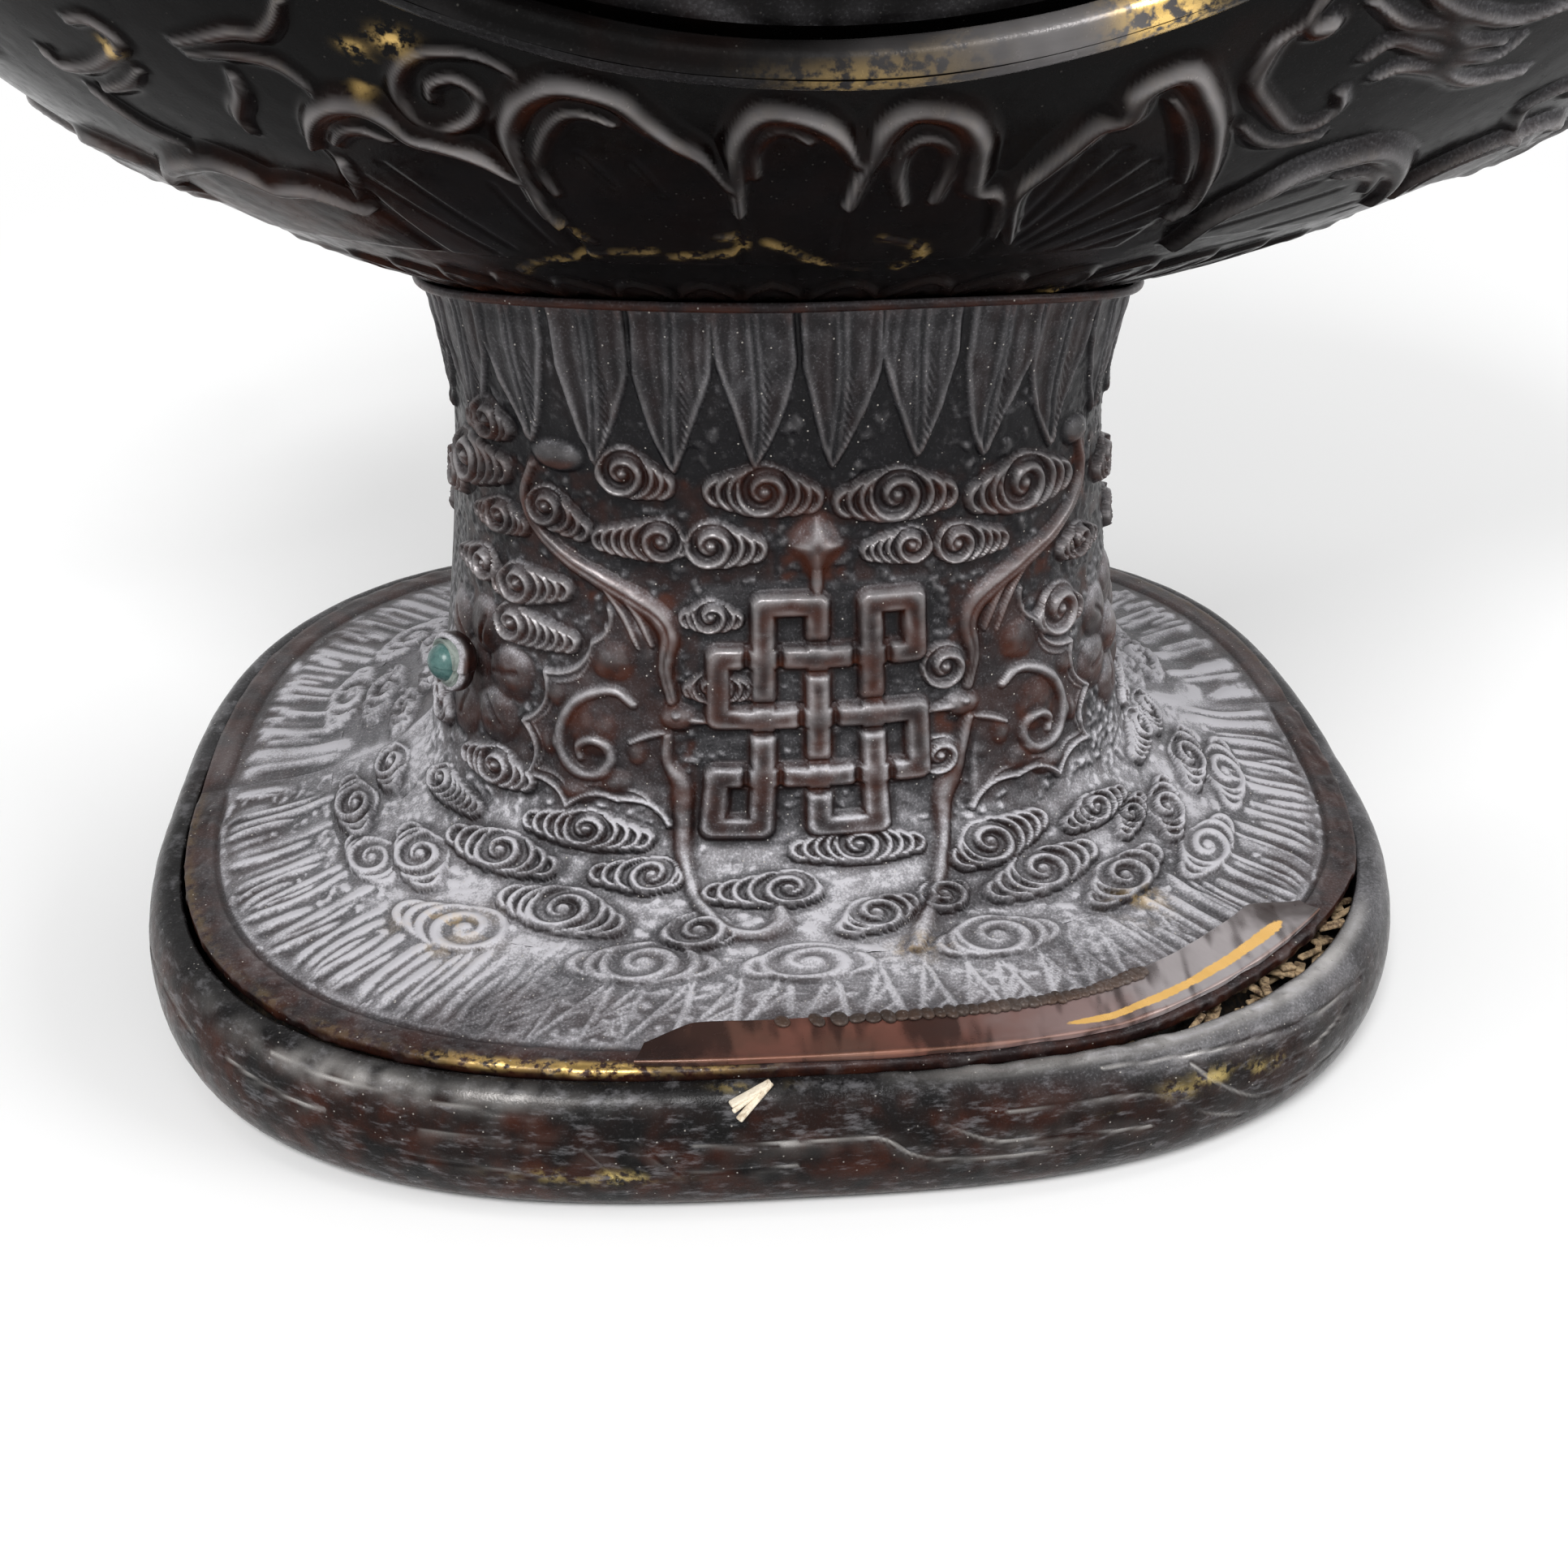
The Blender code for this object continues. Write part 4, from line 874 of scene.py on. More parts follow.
class Graph:
    """Shorthand for laying out a node tree."""

    def __init__(self, tree: bpy.types.NodeTree) -> None:
        """Keeps the tree that nodes are added to."""
        self.tree = tree

    def node(self, kind: str, **settings: object) -> bpy.types.Node:
        """Adds a node.

        Args:
            kind: Its type.
            settings: Its settings.

        Returns:
            The node.
        """
        made = self.tree.nodes.new(kind)
        for key, value in settings.items():
            setattr(made, key, value)
        return made

    def feed(self, socket: Socket, value: object) -> None:
        """Links a socket to another, or sets its constant.

        Args:
            socket: The socket.
            value: What feeds it.
        """
        if isinstance(value, Socket):
            self.tree.links.new(value, socket)
        elif isinstance(value, tuple) and socket.type == "RGBA":
            socket.default_value = (*value, 1)
        else:
            socket.default_value = value

    def math(self, operation: str, *values: object, clamp: bool = False) -> Socket:
        """A sum on numbers.

        Args:
            operation: Which sum.
            values: The numbers.
            clamp: Whether it stays between 0 and 1.

        Returns:
            The result.
        """
        made = self.node("ShaderNodeMath", operation=operation, use_clamp=clamp)
        for socket, value in zip(made.inputs, values):
            self.feed(socket, value)
        return made.outputs[0]

    def times(self, *values: object) -> Socket:
        """A product of two or more numbers."""
        return functools.reduce(lambda made, value: self.math("MULTIPLY", made, value), values)

    def total(self, *values: object, clamp: bool = False) -> Socket:
        """A sum of two or more numbers.

        Args:
            values: The numbers.
            clamp: Whether it stays between 0 and 1.

        Returns:
            The result.
        """
        made = functools.reduce(lambda made, value: self.math("ADD", made, value), values)
        made.node.use_clamp = clamp
        return made

    def blend(self, share: object, first: object, second: object) -> Socket:
        """A mix of two colours.

        Args:
            share: How much of the second.
            first: A colour.
            second: A colour.

        Returns:
            The mix.
        """
        made = self.node("ShaderNodeMix", data_type="RGBA")
        for place, value in ((0, share), (6, first), (7, second)):
            self.feed(made.inputs[place], value)
        return made.outputs[2]

    def spread(self, value: object, low: float, high: float, start: float = 0, end: float = 1) -> Socket:
        """A smooth step of a number.

        Args:
            value: The number.
            low: Where the step starts.
            high: Where it ends.
            start: The level before it.
            end: The level after it.

        Returns:
            The stepped number.
        """
        made = self.node("ShaderNodeMapRange", interpolation_type="SMOOTHSTEP")
        for socket, setting in zip(made.inputs, (value, low, high, start, end)):
            self.feed(socket, setting)
        return made.outputs[0]

    def places(self, stretch: tuple[float, float, float] = (1.0, 1.0, 1.0)) -> Socket:
        """Object coordinates.

        Args:
            stretch: Scale along each axis.

        Returns:
            The coordinates.
        """
        made = self.node("ShaderNodeTexCoord").outputs["Object"]
        if stretch == (1, 1, 1):
            return made
        mapping = self.node("ShaderNodeMapping")
        self.feed(mapping.inputs["Vector"], made)
        mapping.inputs["Scale"].default_value = stretch
        return mapping.outputs[0]

    def noise(self, scale: float, detail: float = 3, rough: float = 0.55, where: Socket | None = None) -> Socket:
        """Cloudy noise over the object.

        Args:
            scale: Spots to a metre.
            detail: Finer layers.
            rough: Their strength.
            where: Coordinates other than the object's own.

        Returns:
            The noise.
        """
        made = self.node("ShaderNodeTexNoise")
        self.feed(made.inputs["Vector"], where or self.places())
        made.inputs["Scale"].default_value = scale
        made.inputs["Detail"].default_value = detail
        made.inputs["Roughness"].default_value = rough
        return made.outputs["Fac"]

    def specks(self, scale: float, size: float, share: float) -> Socket:
        """A mask of scattered specks.

        Args:
            scale: Cells to a metre.
            size: A speck's reach in its cell.
            share: The share of cells that have one.

        Returns:
            The mask.
        """
        made = self.node("ShaderNodeTexVoronoi")
        self.feed(made.inputs["Vector"], self.places())
        made.inputs["Scale"].default_value = scale
        split = self.node("ShaderNodeSeparateColor")
        self.feed(split.inputs[0], made.outputs["Color"])
        near = self.spread(made.outputs["Distance"], size, size * 0.5)
        return self.times(near, self.math("LESS_THAN", split.outputs[0], share))

    def seen(self) -> Socket:
        """1 for rays that see a background: straight, in metal and through glass."""
        path = self.node("ShaderNodeLightPath").outputs
        return self.total(path["Is Camera Ray"], path["Is Glossy Ray"], path["Is Transmission Ray"], clamp=True)

    def mark(self, mark: Mark) -> Socket:
        """A vertex attribute of the piece."""
        return self.node("ShaderNodeAttribute", attribute_name=mark.value).outputs["Fac"]


COATS = ("Deep", "Metal", "Bare", "Dust", "Gold")
LEVELS = ("Rub_and_highlight", "Dusting", "Gilding", "Gloss", "Metallic", "Scuff")


def weathering() -> bpy.types.NodeTree:
    """The node group of weathered copper, built once.

    Returns:
        A group that turns marks and a finish's values into colour, roughness, metal and grain.
    """
    made = bpy.data.node_groups.get("weathering")
    if made is not None:
        return made
    made = bpy.data.node_groups.new("weathering", "ShaderNodeTree")
    for names, way, kind in (
        (COATS, "INPUT", "NodeSocketColor"), (LEVELS, "INPUT", "NodeSocketFloat"),
        (("Color",), "OUTPUT", "NodeSocketColor"), (("Roughness", "Metallic", "Grain"), "OUTPUT", "NodeSocketFloat"),
    ):
        for name in names:
            made.interface.new_socket(name, in_out=way, socket_type=kind)
    g = Graph(made)
    given = g.node("NodeGroupInput").outputs
    broad = g.noise(75, 3)
    fine = g.noise(850, 4, 0.6)
    dusty = g.noise(3600, 2, 0.6)
    worn = g.spread(g.noise(260, 3), 0.36, 0.64, 0.3, 1.2)
    crest, tint = g.mark(CREST), g.mark(TINT)
    uneven = g.spread(broad, 0.32, 0.68, 0.45, 1.25)
    # Brown from the tint mark, which also carries the painted shade of lower flanks.
    brown = g.total(g.times(tint, worn), g.spread(broad, 0.54, 0.76, 0, 0.1), clamp=True)
    colour = g.blend(brown, given["Deep"], given["Metal"])
    # Crests turned to bare metal: wear, and painted highlights where the crest mark carries them.
    rubbed = g.math("MULTIPLY", g.times(crest, given["Rub_and_highlight"]), uneven, clamp=True)
    colour = g.blend(rubbed, colour, given["Bare"])
    patchy = g.times(g.spread(dusty, 0.3, 0.68, 0.66, 1.18), g.spread(fine, 0.3, 0.7, 0.88, 1.08))
    lying = g.times(g.mark(DUST), g.mark(DUST), uneven, patchy)
    grains = g.times(g.spread(dusty, 0.56, 0.74, 0, 0.3), g.total(0.05, g.mark(DUST)))
    dust = g.math("MULTIPLY", g.total(lying, grains), given["Dusting"], clamp=True)
    colour = g.blend(dust, colour, given["Dust"])
    scuffs = g.spread(g.noise(330, 4, 0.7, g.places((1, 1, 3.2))), 0.5, 0.72)
    colour = g.blend(g.times(scuffs, given["Scuff"]), colour, given["Dust"])
    gold = g.times(g.mark(GILT), given["Gilding"], g.spread(fine, 0.4, 0.56))
    gold = g.math("MULTIPLY", gold, 1, clamp=True)
    colour = g.blend(gold, colour, given["Gold"])
    specks = g.times(g.specks(2100, 0.26, 0.05), g.times(given["Dusting"], given["Dusting"], 0.8))
    colour = g.blend(specks, colour, (0.5, 0.47, 0.43))
    matt = g.math("MAXIMUM", g.times(dust, 0.9), specks)
    rough = g.total(given["Gloss"], g.times(matt, 0.45), g.spread(fine, 0.3, 0.7, -0.04, 0.08), clamp=True)
    shine = g.total(given["Metallic"], g.times(rubbed, 0.8))
    shine = g.math("MULTIPLY", shine, g.math("SUBTRACT", 1, matt), clamp=True)
    out = g.node("NodeGroupOutput").inputs
    g.feed(out["Color"], colour)
    g.feed(out["Roughness"], rough)
    g.feed(out["Metallic"], g.math("MAXIMUM", shine, g.times(gold, 0.9)))
    g.feed(out["Grain"], g.total(g.times(dusty, 0.6), g.times(fine, 0.7), g.times(specks, 0.4)))
    return made


def blank(name: str) -> tuple[bpy.types.Material, Graph, bpy.types.Node]:
    """A new material.

    Args:
        name: Its name.

    Returns:
        The material, its graph and its shader.
    """
    made = bpy.data.materials.new(name)
    made.use_nodes = True
    return made, Graph(made.node_tree), made.node_tree.nodes["Principled BSDF"]


def roughen(graph: Graph, shader: bpy.types.Node, grain_height: object, strength: float, deep: float) -> None:
    """Feeds a shader's normal from a bump.

    Args:
        graph: The material's graph.
        shader: Its shader.
        grain_height: Height of the bump.
        strength: Its strength.
        deep: Its depth in metres.
    """
    bump = graph.node("ShaderNodeBump")
    bump.inputs["Strength"].default_value = strength
    bump.inputs["Distance"].default_value = deep
    graph.feed(bump.inputs["Height"], grain_height)
    graph.feed(shader.inputs["Normal"], bump.outputs[0])


@dataclass(frozen=True)
class Finish:
    """A finish, its material's name and its slot."""

    name: str
    slot: str

    def material(self) -> bpy.types.Material:
        """The finish's material, made once.

        Returns:
            The material.
        """
        made = bpy.data.materials.get(self.name)
        if made is None:
            made, g, shader = blank(self.name)
            self.lay(g, shader)
        return made

    def lay(self, g: Graph, shader: bpy.types.Node) -> None:
        """Lays the finish's nodes round its shader.

        Args:
            g: The material's graph.
            shader: Its shader.
        """
        raise NotImplementedError


@dataclass(frozen=True)
class PatinaFinish(Finish):
    """Weathered copper: patina, rubbed metal, bare crests that also carry painted highlights, dust and gilding."""

    deep: Colour = (0.005, 0.0046, 0.0056)
    metal: Colour = (0.047, 0.0135, 0.0072)
    # Colour of rubbed crests: bare metal, and of painted highlights.
    bare: Colour = (0.4, 0.38, 0.38)
    dust: Colour = (0.53, 0.52, 0.55)
    gold: Colour = (0.8, 0.54, 0.19)
    rub_and_highlight: float = 0.55
    dusting: float = 1.0
    gilding: float = 1.0
    gloss: float = 0.3
    metallic: float = 0.05
    scuff: float = 0.0
    bump: float = 0.45
    deepness: float = 0.00012
    specular: float = 0.12

    def lay(self, g: Graph, shader: bpy.types.Node) -> None:
        """Lays the weathering group and its grain.

        Args:
            g: The material's graph.
            shader: Its shader.
        """
        group = g.node("ShaderNodeGroup", node_tree=weathering())
        for name in COATS + LEVELS:
            g.feed(group.inputs[name], getattr(self, name.lower()))
        shader.inputs["Specular IOR Level"].default_value = self.specular
        for socket, name in (("Base Color", "Color"), ("Roughness", "Roughness"), ("Metallic", "Metallic")):
            g.feed(shader.inputs[socket], group.outputs[name])
        roughen(g, shader, group.outputs["Grain"], self.bump, self.deepness)


@dataclass(frozen=True)
class StripFinish(Finish):
    """Polished pink copper strip with a streak of gilding and a bright edge."""

    name: str = "strip_polish"
    slot: str = "strip_copper"
    red: Colour = (0.19, 0.08, 0.06)
    rust: Colour = (0.13, 0.064, 0.047)
    pink: Colour = (0.3, 0.21, 0.2)
    lilac: Colour = (0.38, 0.345, 0.35)
    dark: Colour = (0.03, 0.018, 0.016)
    gold: Colour = (0.85, 0.5, 0.14)
    edge: Colour = (0.3, 0.13, 0.07)

    def lay(self, g: Graph, shader: bpy.types.Node) -> None:
        """Lays the strip's mottle, streaks, gilding and edge.

        Args:
            g: The material's graph.
            shader: Its shader.
        """
        streak = g.noise(210, 2, 0.5, g.places((1.6, 0.45, 1)))
        mottle = g.noise(150, 3)
        fine = g.noise(1500, 3)
        along = g.total(g.mark(DUST), g.times(g.math("SUBTRACT", mottle, 0.5), 0.3))
        colour = g.blend(g.spread(mottle, 0.35, 0.65), self.red, self.rust)
        colour = g.blend(g.spread(along, 0.16, 0.42), colour, self.pink)
        colour = g.blend(g.spread(along, 0.42, 0.62), colour, self.lilac)
        colour = g.blend(g.times(g.spread(streak, 0.55, 0.38), 0.75), colour, self.dark)
        ends = g.math("MAXIMUM", g.spread(along, 0.82, 0.95), g.spread(along, 0.1, 0))
        colour = g.blend(g.times(ends, 0.85), colour, self.dark)
        gold = g.spread(g.total(g.mark(GILT), g.times(g.math("SUBTRACT", fine, 0.5), 0.4)), 0.38, 0.55)
        colour = g.blend(gold, colour, self.gold)
        edge = g.spread(g.mark(CREST), 0.5, 0.9)
        g.feed(shader.inputs["Base Color"], g.blend(g.times(edge, 0.3), colour, self.edge))
        shader.inputs["Metallic"].default_value = 0.3
        g.feed(shader.inputs["Roughness"], g.spread(g.total(streak, g.times(fine, 0.4)), 0.5, 1, 0.24, 0.42))
        roughen(g, shader, g.total(g.times(streak, 0.8), g.times(fine, 0.3)), 0.25, 0.0002)


@dataclass(frozen=True)
class StrawFinish(Finish):
    """Dry straw: tan blades with darker fibres."""

    name: str = "dry_straw"
    slot: str = "straw_packing"
    pale: Colour = (0.5, 0.36, 0.21)
    dark: Colour = (0.07, 0.038, 0.02)
    amount: float = 0.25

    def lay(self, g: Graph, shader: bpy.types.Node) -> None:
        """Lays the fibres.

        Args:
            g: The material's graph.
            shader: Its shader.
        """
        fibre = g.noise(1900, 4, 0.65, g.places((1, 1, 0.25)))
        tone = g.noise(300, 2)
        share = g.total(g.spread(fibre, 0.35, 0.7), g.spread(tone, 0.35, 0.65, -0.3, 0.4), self.amount, clamp=True)
        g.feed(shader.inputs["Base Color"], g.blend(share, self.dark, self.pale))
        g.feed(shader.inputs["Roughness"], g.spread(fibre, 0.2, 0.8, 0.6, 0.85))
        roughen(g, shader, fibre, 0.6, 0.0003)


@dataclass(frozen=True)
class StoneFinish(Finish):
    """A smooth stone or paste with faint veins."""

    body: Colour = (0.03, 0.088, 0.082)
    pale: Colour = (0.09, 0.185, 0.172)
    vein: Colour = (0.012, 0.05, 0.05)
    gloss: float = 0.22

    def lay(self, g: Graph, shader: bpy.types.Node) -> None:
        """Lays the clouds and veins.

        Args:
            g: The material's graph.
            shader: Its shader.
        """
        cloudy = g.noise(420, 4, 0.6)
        vein = g.noise(800, 5, 0.7)
        colour = g.blend(g.spread(cloudy, 0.35, 0.68), self.body, self.pale)
        line = g.spread(g.math("ABSOLUTE", g.math("SUBTRACT", vein, 0.5)), 0.02, 0)
        g.feed(shader.inputs["Base Color"], g.blend(g.times(line, 0.6), colour, self.vein))
        g.feed(shader.inputs["Roughness"], g.spread(vein, 0.3, 0.8, self.gloss, self.gloss + 0.2))
        roughen(g, shader, vein, 0.15, 0.0002)


STEM_PATINA = PatinaFinish("stem_patina", "patina_copper")
BODY_PATINA = PatinaFinish(
    "body_patina", "patina_copper", deep=(0.0022, 0.0019, 0.0019), metal=(0.034, 0.0095, 0.0042),
    dusting=0.25, gloss=0.2, rub_and_highlight=0.45, bump=0.15, specular=0.06,
)
RIM_PATINA = PatinaFinish(
    "rim_patina", "rim_copper", deep=(0.0035, 0.003, 0.003), metal=(0.036, 0.0085, 0.0035), bare=(0.5, 0.48, 0.46),
    gold=(0.55, 0.42, 0.16), dusting=0.8, gloss=0.24, rub_and_highlight=0.9, scuff=0.16, bump=0.4, specular=0.09,
)
CORD_PATINA = PatinaFinish(
    "cord_patina", "gilt_copper", deep=(0.012, 0.008, 0.006), metal=(0.055, 0.025, 0.013), bare=(0.16, 0.1, 0.055),
    dusting=0.6, rub_and_highlight=0.8,
)
WORN_GILT = PatinaFinish(
    "worn_gilt", "gilt_copper", deep=(0.05, 0.03, 0.016), metal=(0.42, 0.25, 0.075), bare=(0.75, 0.48, 0.15),
    dusting=0.06, metallic=0.8, rub_and_highlight=1,
)
BASE_PATINA = PatinaFinish("base_patina", "base_copper", dusting=0.35, gloss=0.5)
PIN_PATINA = PatinaFinish("pin_patina", "hinge_pin_copper", deep=(0.03, 0.02, 0.015), dusting=0.1, metallic=0.7)
STRIP_POLISH = StripFinish()
DRY_STRAW = StrawFinish()
PALE_STRAW = StrawFinish("pale_straw", pale=(0.78, 0.69, 0.55), dark=(0.4, 0.3, 0.2), amount=0.5)
PACKED_STRAW = StrawFinish("packed_straw", pale=(0.06, 0.038, 0.02), dark=(0.005, 0.004, 0.003), amount=-0.2)
TURQUOISE = StoneFinish("turquoise", "turquoise_bead")
SETTING_PASTE = StoneFinish(
    "setting_paste", "gilt_copper", body=(0.13, 0.155, 0.14), pale=(0.24, 0.275, 0.25), vein=(0.08, 0.1, 0.085),
    gloss=0.6,
)


@dataclass
class FootPattern:
    """Chasing of one half of the foot, in millimetres across its middle and down from the top."""

    relief: Relief
    half_girth: float
    knot_middle: Spot = (0, 41)
    mirror: float = 1.0

    # Clouds: middle across and down, half length, half height; lean and place of the eye unless both are 0.
    CLOUDS = (
        (-41, 16.5, 7, 3, -10, -0.3), (-37.5, 11, 4, 2.2), (-19, 14, 4.5, 2.6, 10, -0.3),
        (-5.5, 15.3, 6.5, 2.8, 5, 0), (8.5, 16.3, 7, 2.9), (23.5, 17.2, 7.5, 3.2),
        (-36, 21.5, 4.5, 2), (-27.5, 19.5, 4, 2.2, 20, -0.5), (-18.5, 21, 5.5, 2.3, 0, 0.4),
        (-9.5, 21.3, 4.5, 2.5, 0, -0.35), (8.5, 22, 4, 2, 0, 0.4), (17, 22.5, 4.5, 2.2, 0, -0.4),
        (-31.5, 28.3, 5.5, 2.3, -10, -0.3), (-40, 28, 4, 2, 0, 0.35), (-11, 29.3, 3.5, 1.8),
        (-30.5, 33.5, 5.5, 2.2, 0, -0.6), (-9.5, 37.5, 4.5, 1.7, 0, -0.35), (13.5, 36.5, 2.5, 2.5),
        (12.5, 47, 2, 2.2), (32.5, 26.5, 4, 2), (28.5, 33.5, 4, 3),
        (-34.5, 51.5, 5.5, 2.2), (-39, 57, 5, 1.8, 0, -0.5), (-22.5, 55.5, 7, 2.2),
        (-29.5, 60.2, 6.5, 2.4), (-16, 59.8, 4.5, 2.2, 0, 0.3), (-36, 64.5, 4.8, 2.6, 25, 0),
        (-20.5, 65, 6.2, 2.8, 10, 0), (-5, 61.3, 5, 2.2, 0, 0.45), (3.5, 56.5, 6.5, 2.2),
        (17, 58, 6, 2.6, -15, -0.2), (3.5, 65, 4, 2.2, -30, 0), (19, 63, 6.5, 2.6, -10, 0),
        (28.5, 59, 4.8, 1.8), (31.5, 62, 3.5, 1.6, -20, 0), (35.5, 64.5, 4.5, 2.2, -35, 0),
        (25, 67.3, 5.5, 2.6, -15, 0), (9.5, 63.5, 2.5, 2, -40, 0), (-9, 66.5, 3, 2.5),
        (-48, 20, 5, 2.4), (-49, 50, 5, 2.4, 0, 0.2), (-50, 62, 4, 2.2), (42, 20, 5, 2.4),
        (47, 28, 4.5, 2.2), (48, 53, 5, 2.4), (43, 58, 5, 2.2, 0, 0.3), (50, 61, 4, 2.2),
        (45, 66, 5, 2.4), (-47, 67, 4.5, 2.4),
    )
    LOW_CLOUDS = (
        (-28, 69.7, 5.2, 3.2, 0, 0.3), (-12, 70.8, 5.5, 3), (-1.5, 71, 4, 2.8),
        (11.5, 69.7, 5, 3), (-39.5, 68, 4, 2.5), (34, 70.5, 5, 2.8), (45, 71, 5, 2.8),
    )
    WING = (
        (-21.8, 29.2), (-23.5, 33.4), (-29, 38), (-31.4, 44.7), (-30.2, 51), (-25.2, 53.4), (-20, 51.6), (-14.5, 54),
    )
    WING_ROOT = ((-15.5, 40), (-16.3, 36), (-17.5, 32), (-20.5, 29.5))
    WING_EYE = (
        (-19, 40), (-20.8, 38.7), (-23.2, 39.2), (-25.6, 41.2), (-26.8, 44.4), (-26.4, 47.2), (-24.6, 49),
        (-22.4, 48.9), (-21.2, 47.2), (-21.6, 45.4), (-23.2, 44.8), (-24.6, 45.8), (-24.4, 47.2),
    )
    # Swells of the wing's feathers: place, half width, half height, rise.
    WING_SWELLS = (
        (-21.3, 35.2, 3.4, 3.2, 1), (-23.2, 43.6, 3.6, 4.6, 0.95), (-27.6, 40.2, 1.7, 2.4, 0.85),
        (-28, 46.2, 1.5, 2.4, 0.85), (-24.6, 51.2, 2.8, 1.6, 0.85), (-20.4, 49.4, 2.4, 2.2, 0.9),
        (-18.4, 45.6, 1.6, 2.4, 0.85),
    )
    UPPER_RIBBON = (
        (-31.3, 14.5), (-32.4, 18), (-31, 21), (-27.5, 23.8), (-23, 26), (-19, 28), (-16.4, 29.8), (-15.4, 32.2),
        (-15.8, 35.6), (-15, 39.2),
    )
    STRANDS = (((-22.4, 27), (-20.4, 29.6), (-18.6, 33.4)), ((-20.6, 27.4), (-18.8, 29.6), (-17.2, 33)))
    LEFT_RIBBON = (
        (-15.4, 43.4), (-15.3, 46.6), (-13.9, 49.2), (-13.2, 53.5), (-12.4, 57.5), (-10, 62.4), (-7, 66.3),
        (-4.6, 67), (-3.2, 65.6), (-3.3, 63.8),
    )
    RIGHT_RIBBON = ((16, 43), (14.5, 48), (12.6, 52), (11.8, 56.5), (9.5, 62), (7, 66.5), (5.3, 70))

    def flipped(self, points: Line) -> list[Spot]:
        """The same points on the other side of the middle."""
        return [(self.mirror - u, v) for u, v in points]

    def draw(self) -> Relief:
        """Draws the whole pattern, ground first.

        Returns:
            The finished relief.
        """
        self.ground()
        self.lappets()
        for clouds, stretch, rise in ((self.CLOUDS, 1.14, 1.25), (self.LOW_CLOUDS, 1.08, 0.8)):
            for u, v, long, tall, *turned in clouds:
                self.relief.cloud((u, v), (long, stretch * tall), *(turned or (0, 0)), rise)
        for at, half in (((-28, 13), (3.5, 1.8)), ((32, 13.5), (2.5, 1.8))):
            self.relief.boss(at, half, 1.1)
        self.creature(list, self.LEFT_RIBBON)
        self.creature(self.flipped, self.RIGHT_RIBBON)
        self.flower((-39.8, 41.3), 0.2)
        self.flower((40.8, 41.3), 1)
        self.knot()
        self.rays()
        self.seams()
        return self.relief

    def ground(self) -> None:
        """The pits of the punched ground."""
        shape = self.relief.height.shape
        self.relief.height += 0.07 * grain(shape, 1, 11) + 0.06 * grain(shape, 3, 12)

    def lappets(self) -> None:
        """The pointed leaves round the stem's top, ribbed and hatched."""
        part, u, v = self.relief.window((-60, -1), (60, 14.4))
        pitch = self.half_girth / 13
        across = (u - 2 + pitch / 2) % pitch - pitch / 2
        which = np.rint((u - 2 - across) / pitch).astype(int) + 15
        chance = np.random.default_rng(14).uniform(0, 1, 40)[which]
        side = np.abs(across + 0.4 * np.sin(v / 3 + 6 * chance))
        room = 4 * unit((12 + 2.2 * chance - v) / 9) ** 0.8 - side
        knots = np.arange(-61, 61, 0.55)
        folds = np.interp(u + 0.3 * np.sin(v / 2.2), knots, np.random.default_rng(16).uniform(0, 1, len(knots)))
        leaf = 0.2 + 0.26 * hump(room - 0.35, 0.35) + 0.22 * hump(side - 0.42, 0.26) + 0.22 * folds
        leaf *= ease(-0.2, 0.2, room)
        hatch = np.sin((v - across * 1.3) * 2 * math.pi / 0.85) * hump(across - 1.1, 0.45) * ease(2.5, 6, v)
        self.relief.raise_to(part, leaf + 0.12 * hatch * ease(0.1, 0.4, room), 0)
        self.relief.tint[part] = (0.02 + 0.16 * chance) * ease(0.2, 0.7, room) * ease(0.7, 1.1, side)

    def creature(self, side: Callable, ribbon: Line) -> None:
        """A winged creature beside the knot.

        Args:
            side: Puts points on its side.
            ribbon: Its lower ribbon, in place.
        """
        r = self.relief
        edge = np.array(side(scalloped(self.WING, 0.2)))
        outline = np.vstack([edge, side(self.WING_ROOT)])
        middle = outline.mean(0)
        r.plate(outline, 0.5, 0.5, 0.3)
        r.ridge(edge, 0.42, 0.9, 0.2)
        r.ridge(middle + (edge - middle) * 0.85, 0.3, 0.72, 0.4)
        for u, v, wide, tall, rise in self.WING_SWELLS:
            r.boss(side([(u, v)])[0], (wide, tall), rise, 0.7)
        r.ridge(flowing(side(self.WING_EYE)), 0.8, 0.6, 0.15, over=True, swell=(0.7, 1, 1, 0.9, 0.6))
        tail = flowing(side(self.UPPER_RIBBON))
        r.ridge(tail, 1.1, 1, 1, swell=(0.5, 0.6, 0.8, 1.1, 1.3, 1.2, 1, 0.7))
        r.groove(tail, 0.2, 0.2)
        for strand in self.STRANDS:
            r.ridge(flowing(side(strand)), 0.55, 0.9, 0.8, swell=TAPER)
        r.ridge(flowing(ribbon), 0.85, 1, 1, swell=(0.8, 0.9, 1.6, 1.2, 0.9, 0.9, 1, 1.1, 0.8))
        r.boss(side([(-14.4, 41.2)])[0], (2.2, 1.7), 1.3, 0.7)
        r.ridge(np.array(side([(-14, 41.3), (-10.6, 41.5)])), 0.8, 1, 0.3, swell=(1, 0.8, 0.3))
        r.ridge(flowing(side([(-19.2, 44.6), (-17.4, 43.6), (-15.6, 43)])), 0.7, 1, 0.3, swell=TAPER)
        r.boss(side([(-14.4, 40.8)])[0], (0.8, 0.8), 1.75, 0.2)

    def flower(self, at: Spot, heart: float) -> None:
        """A flower of six round petals.

        Args:
            at: Its middle.
            heart: Height of the boss in its middle.
        """
        r = self.relief
        for step in range(6):
            turn = math.radians(60 * step - 15)
            way = np.array([math.cos(turn), math.sin(turn)])
            r.boss(tuple(at + 6 * way), (3.4, 3.4), 0.8, 0.5)
            r.groove(np.array([at + 3.8 * way, at + 7.2 * way]), 0.3, 0.25)
        r.boss(at, (3.4, 3.4), 0.3 + heart, 0.5)

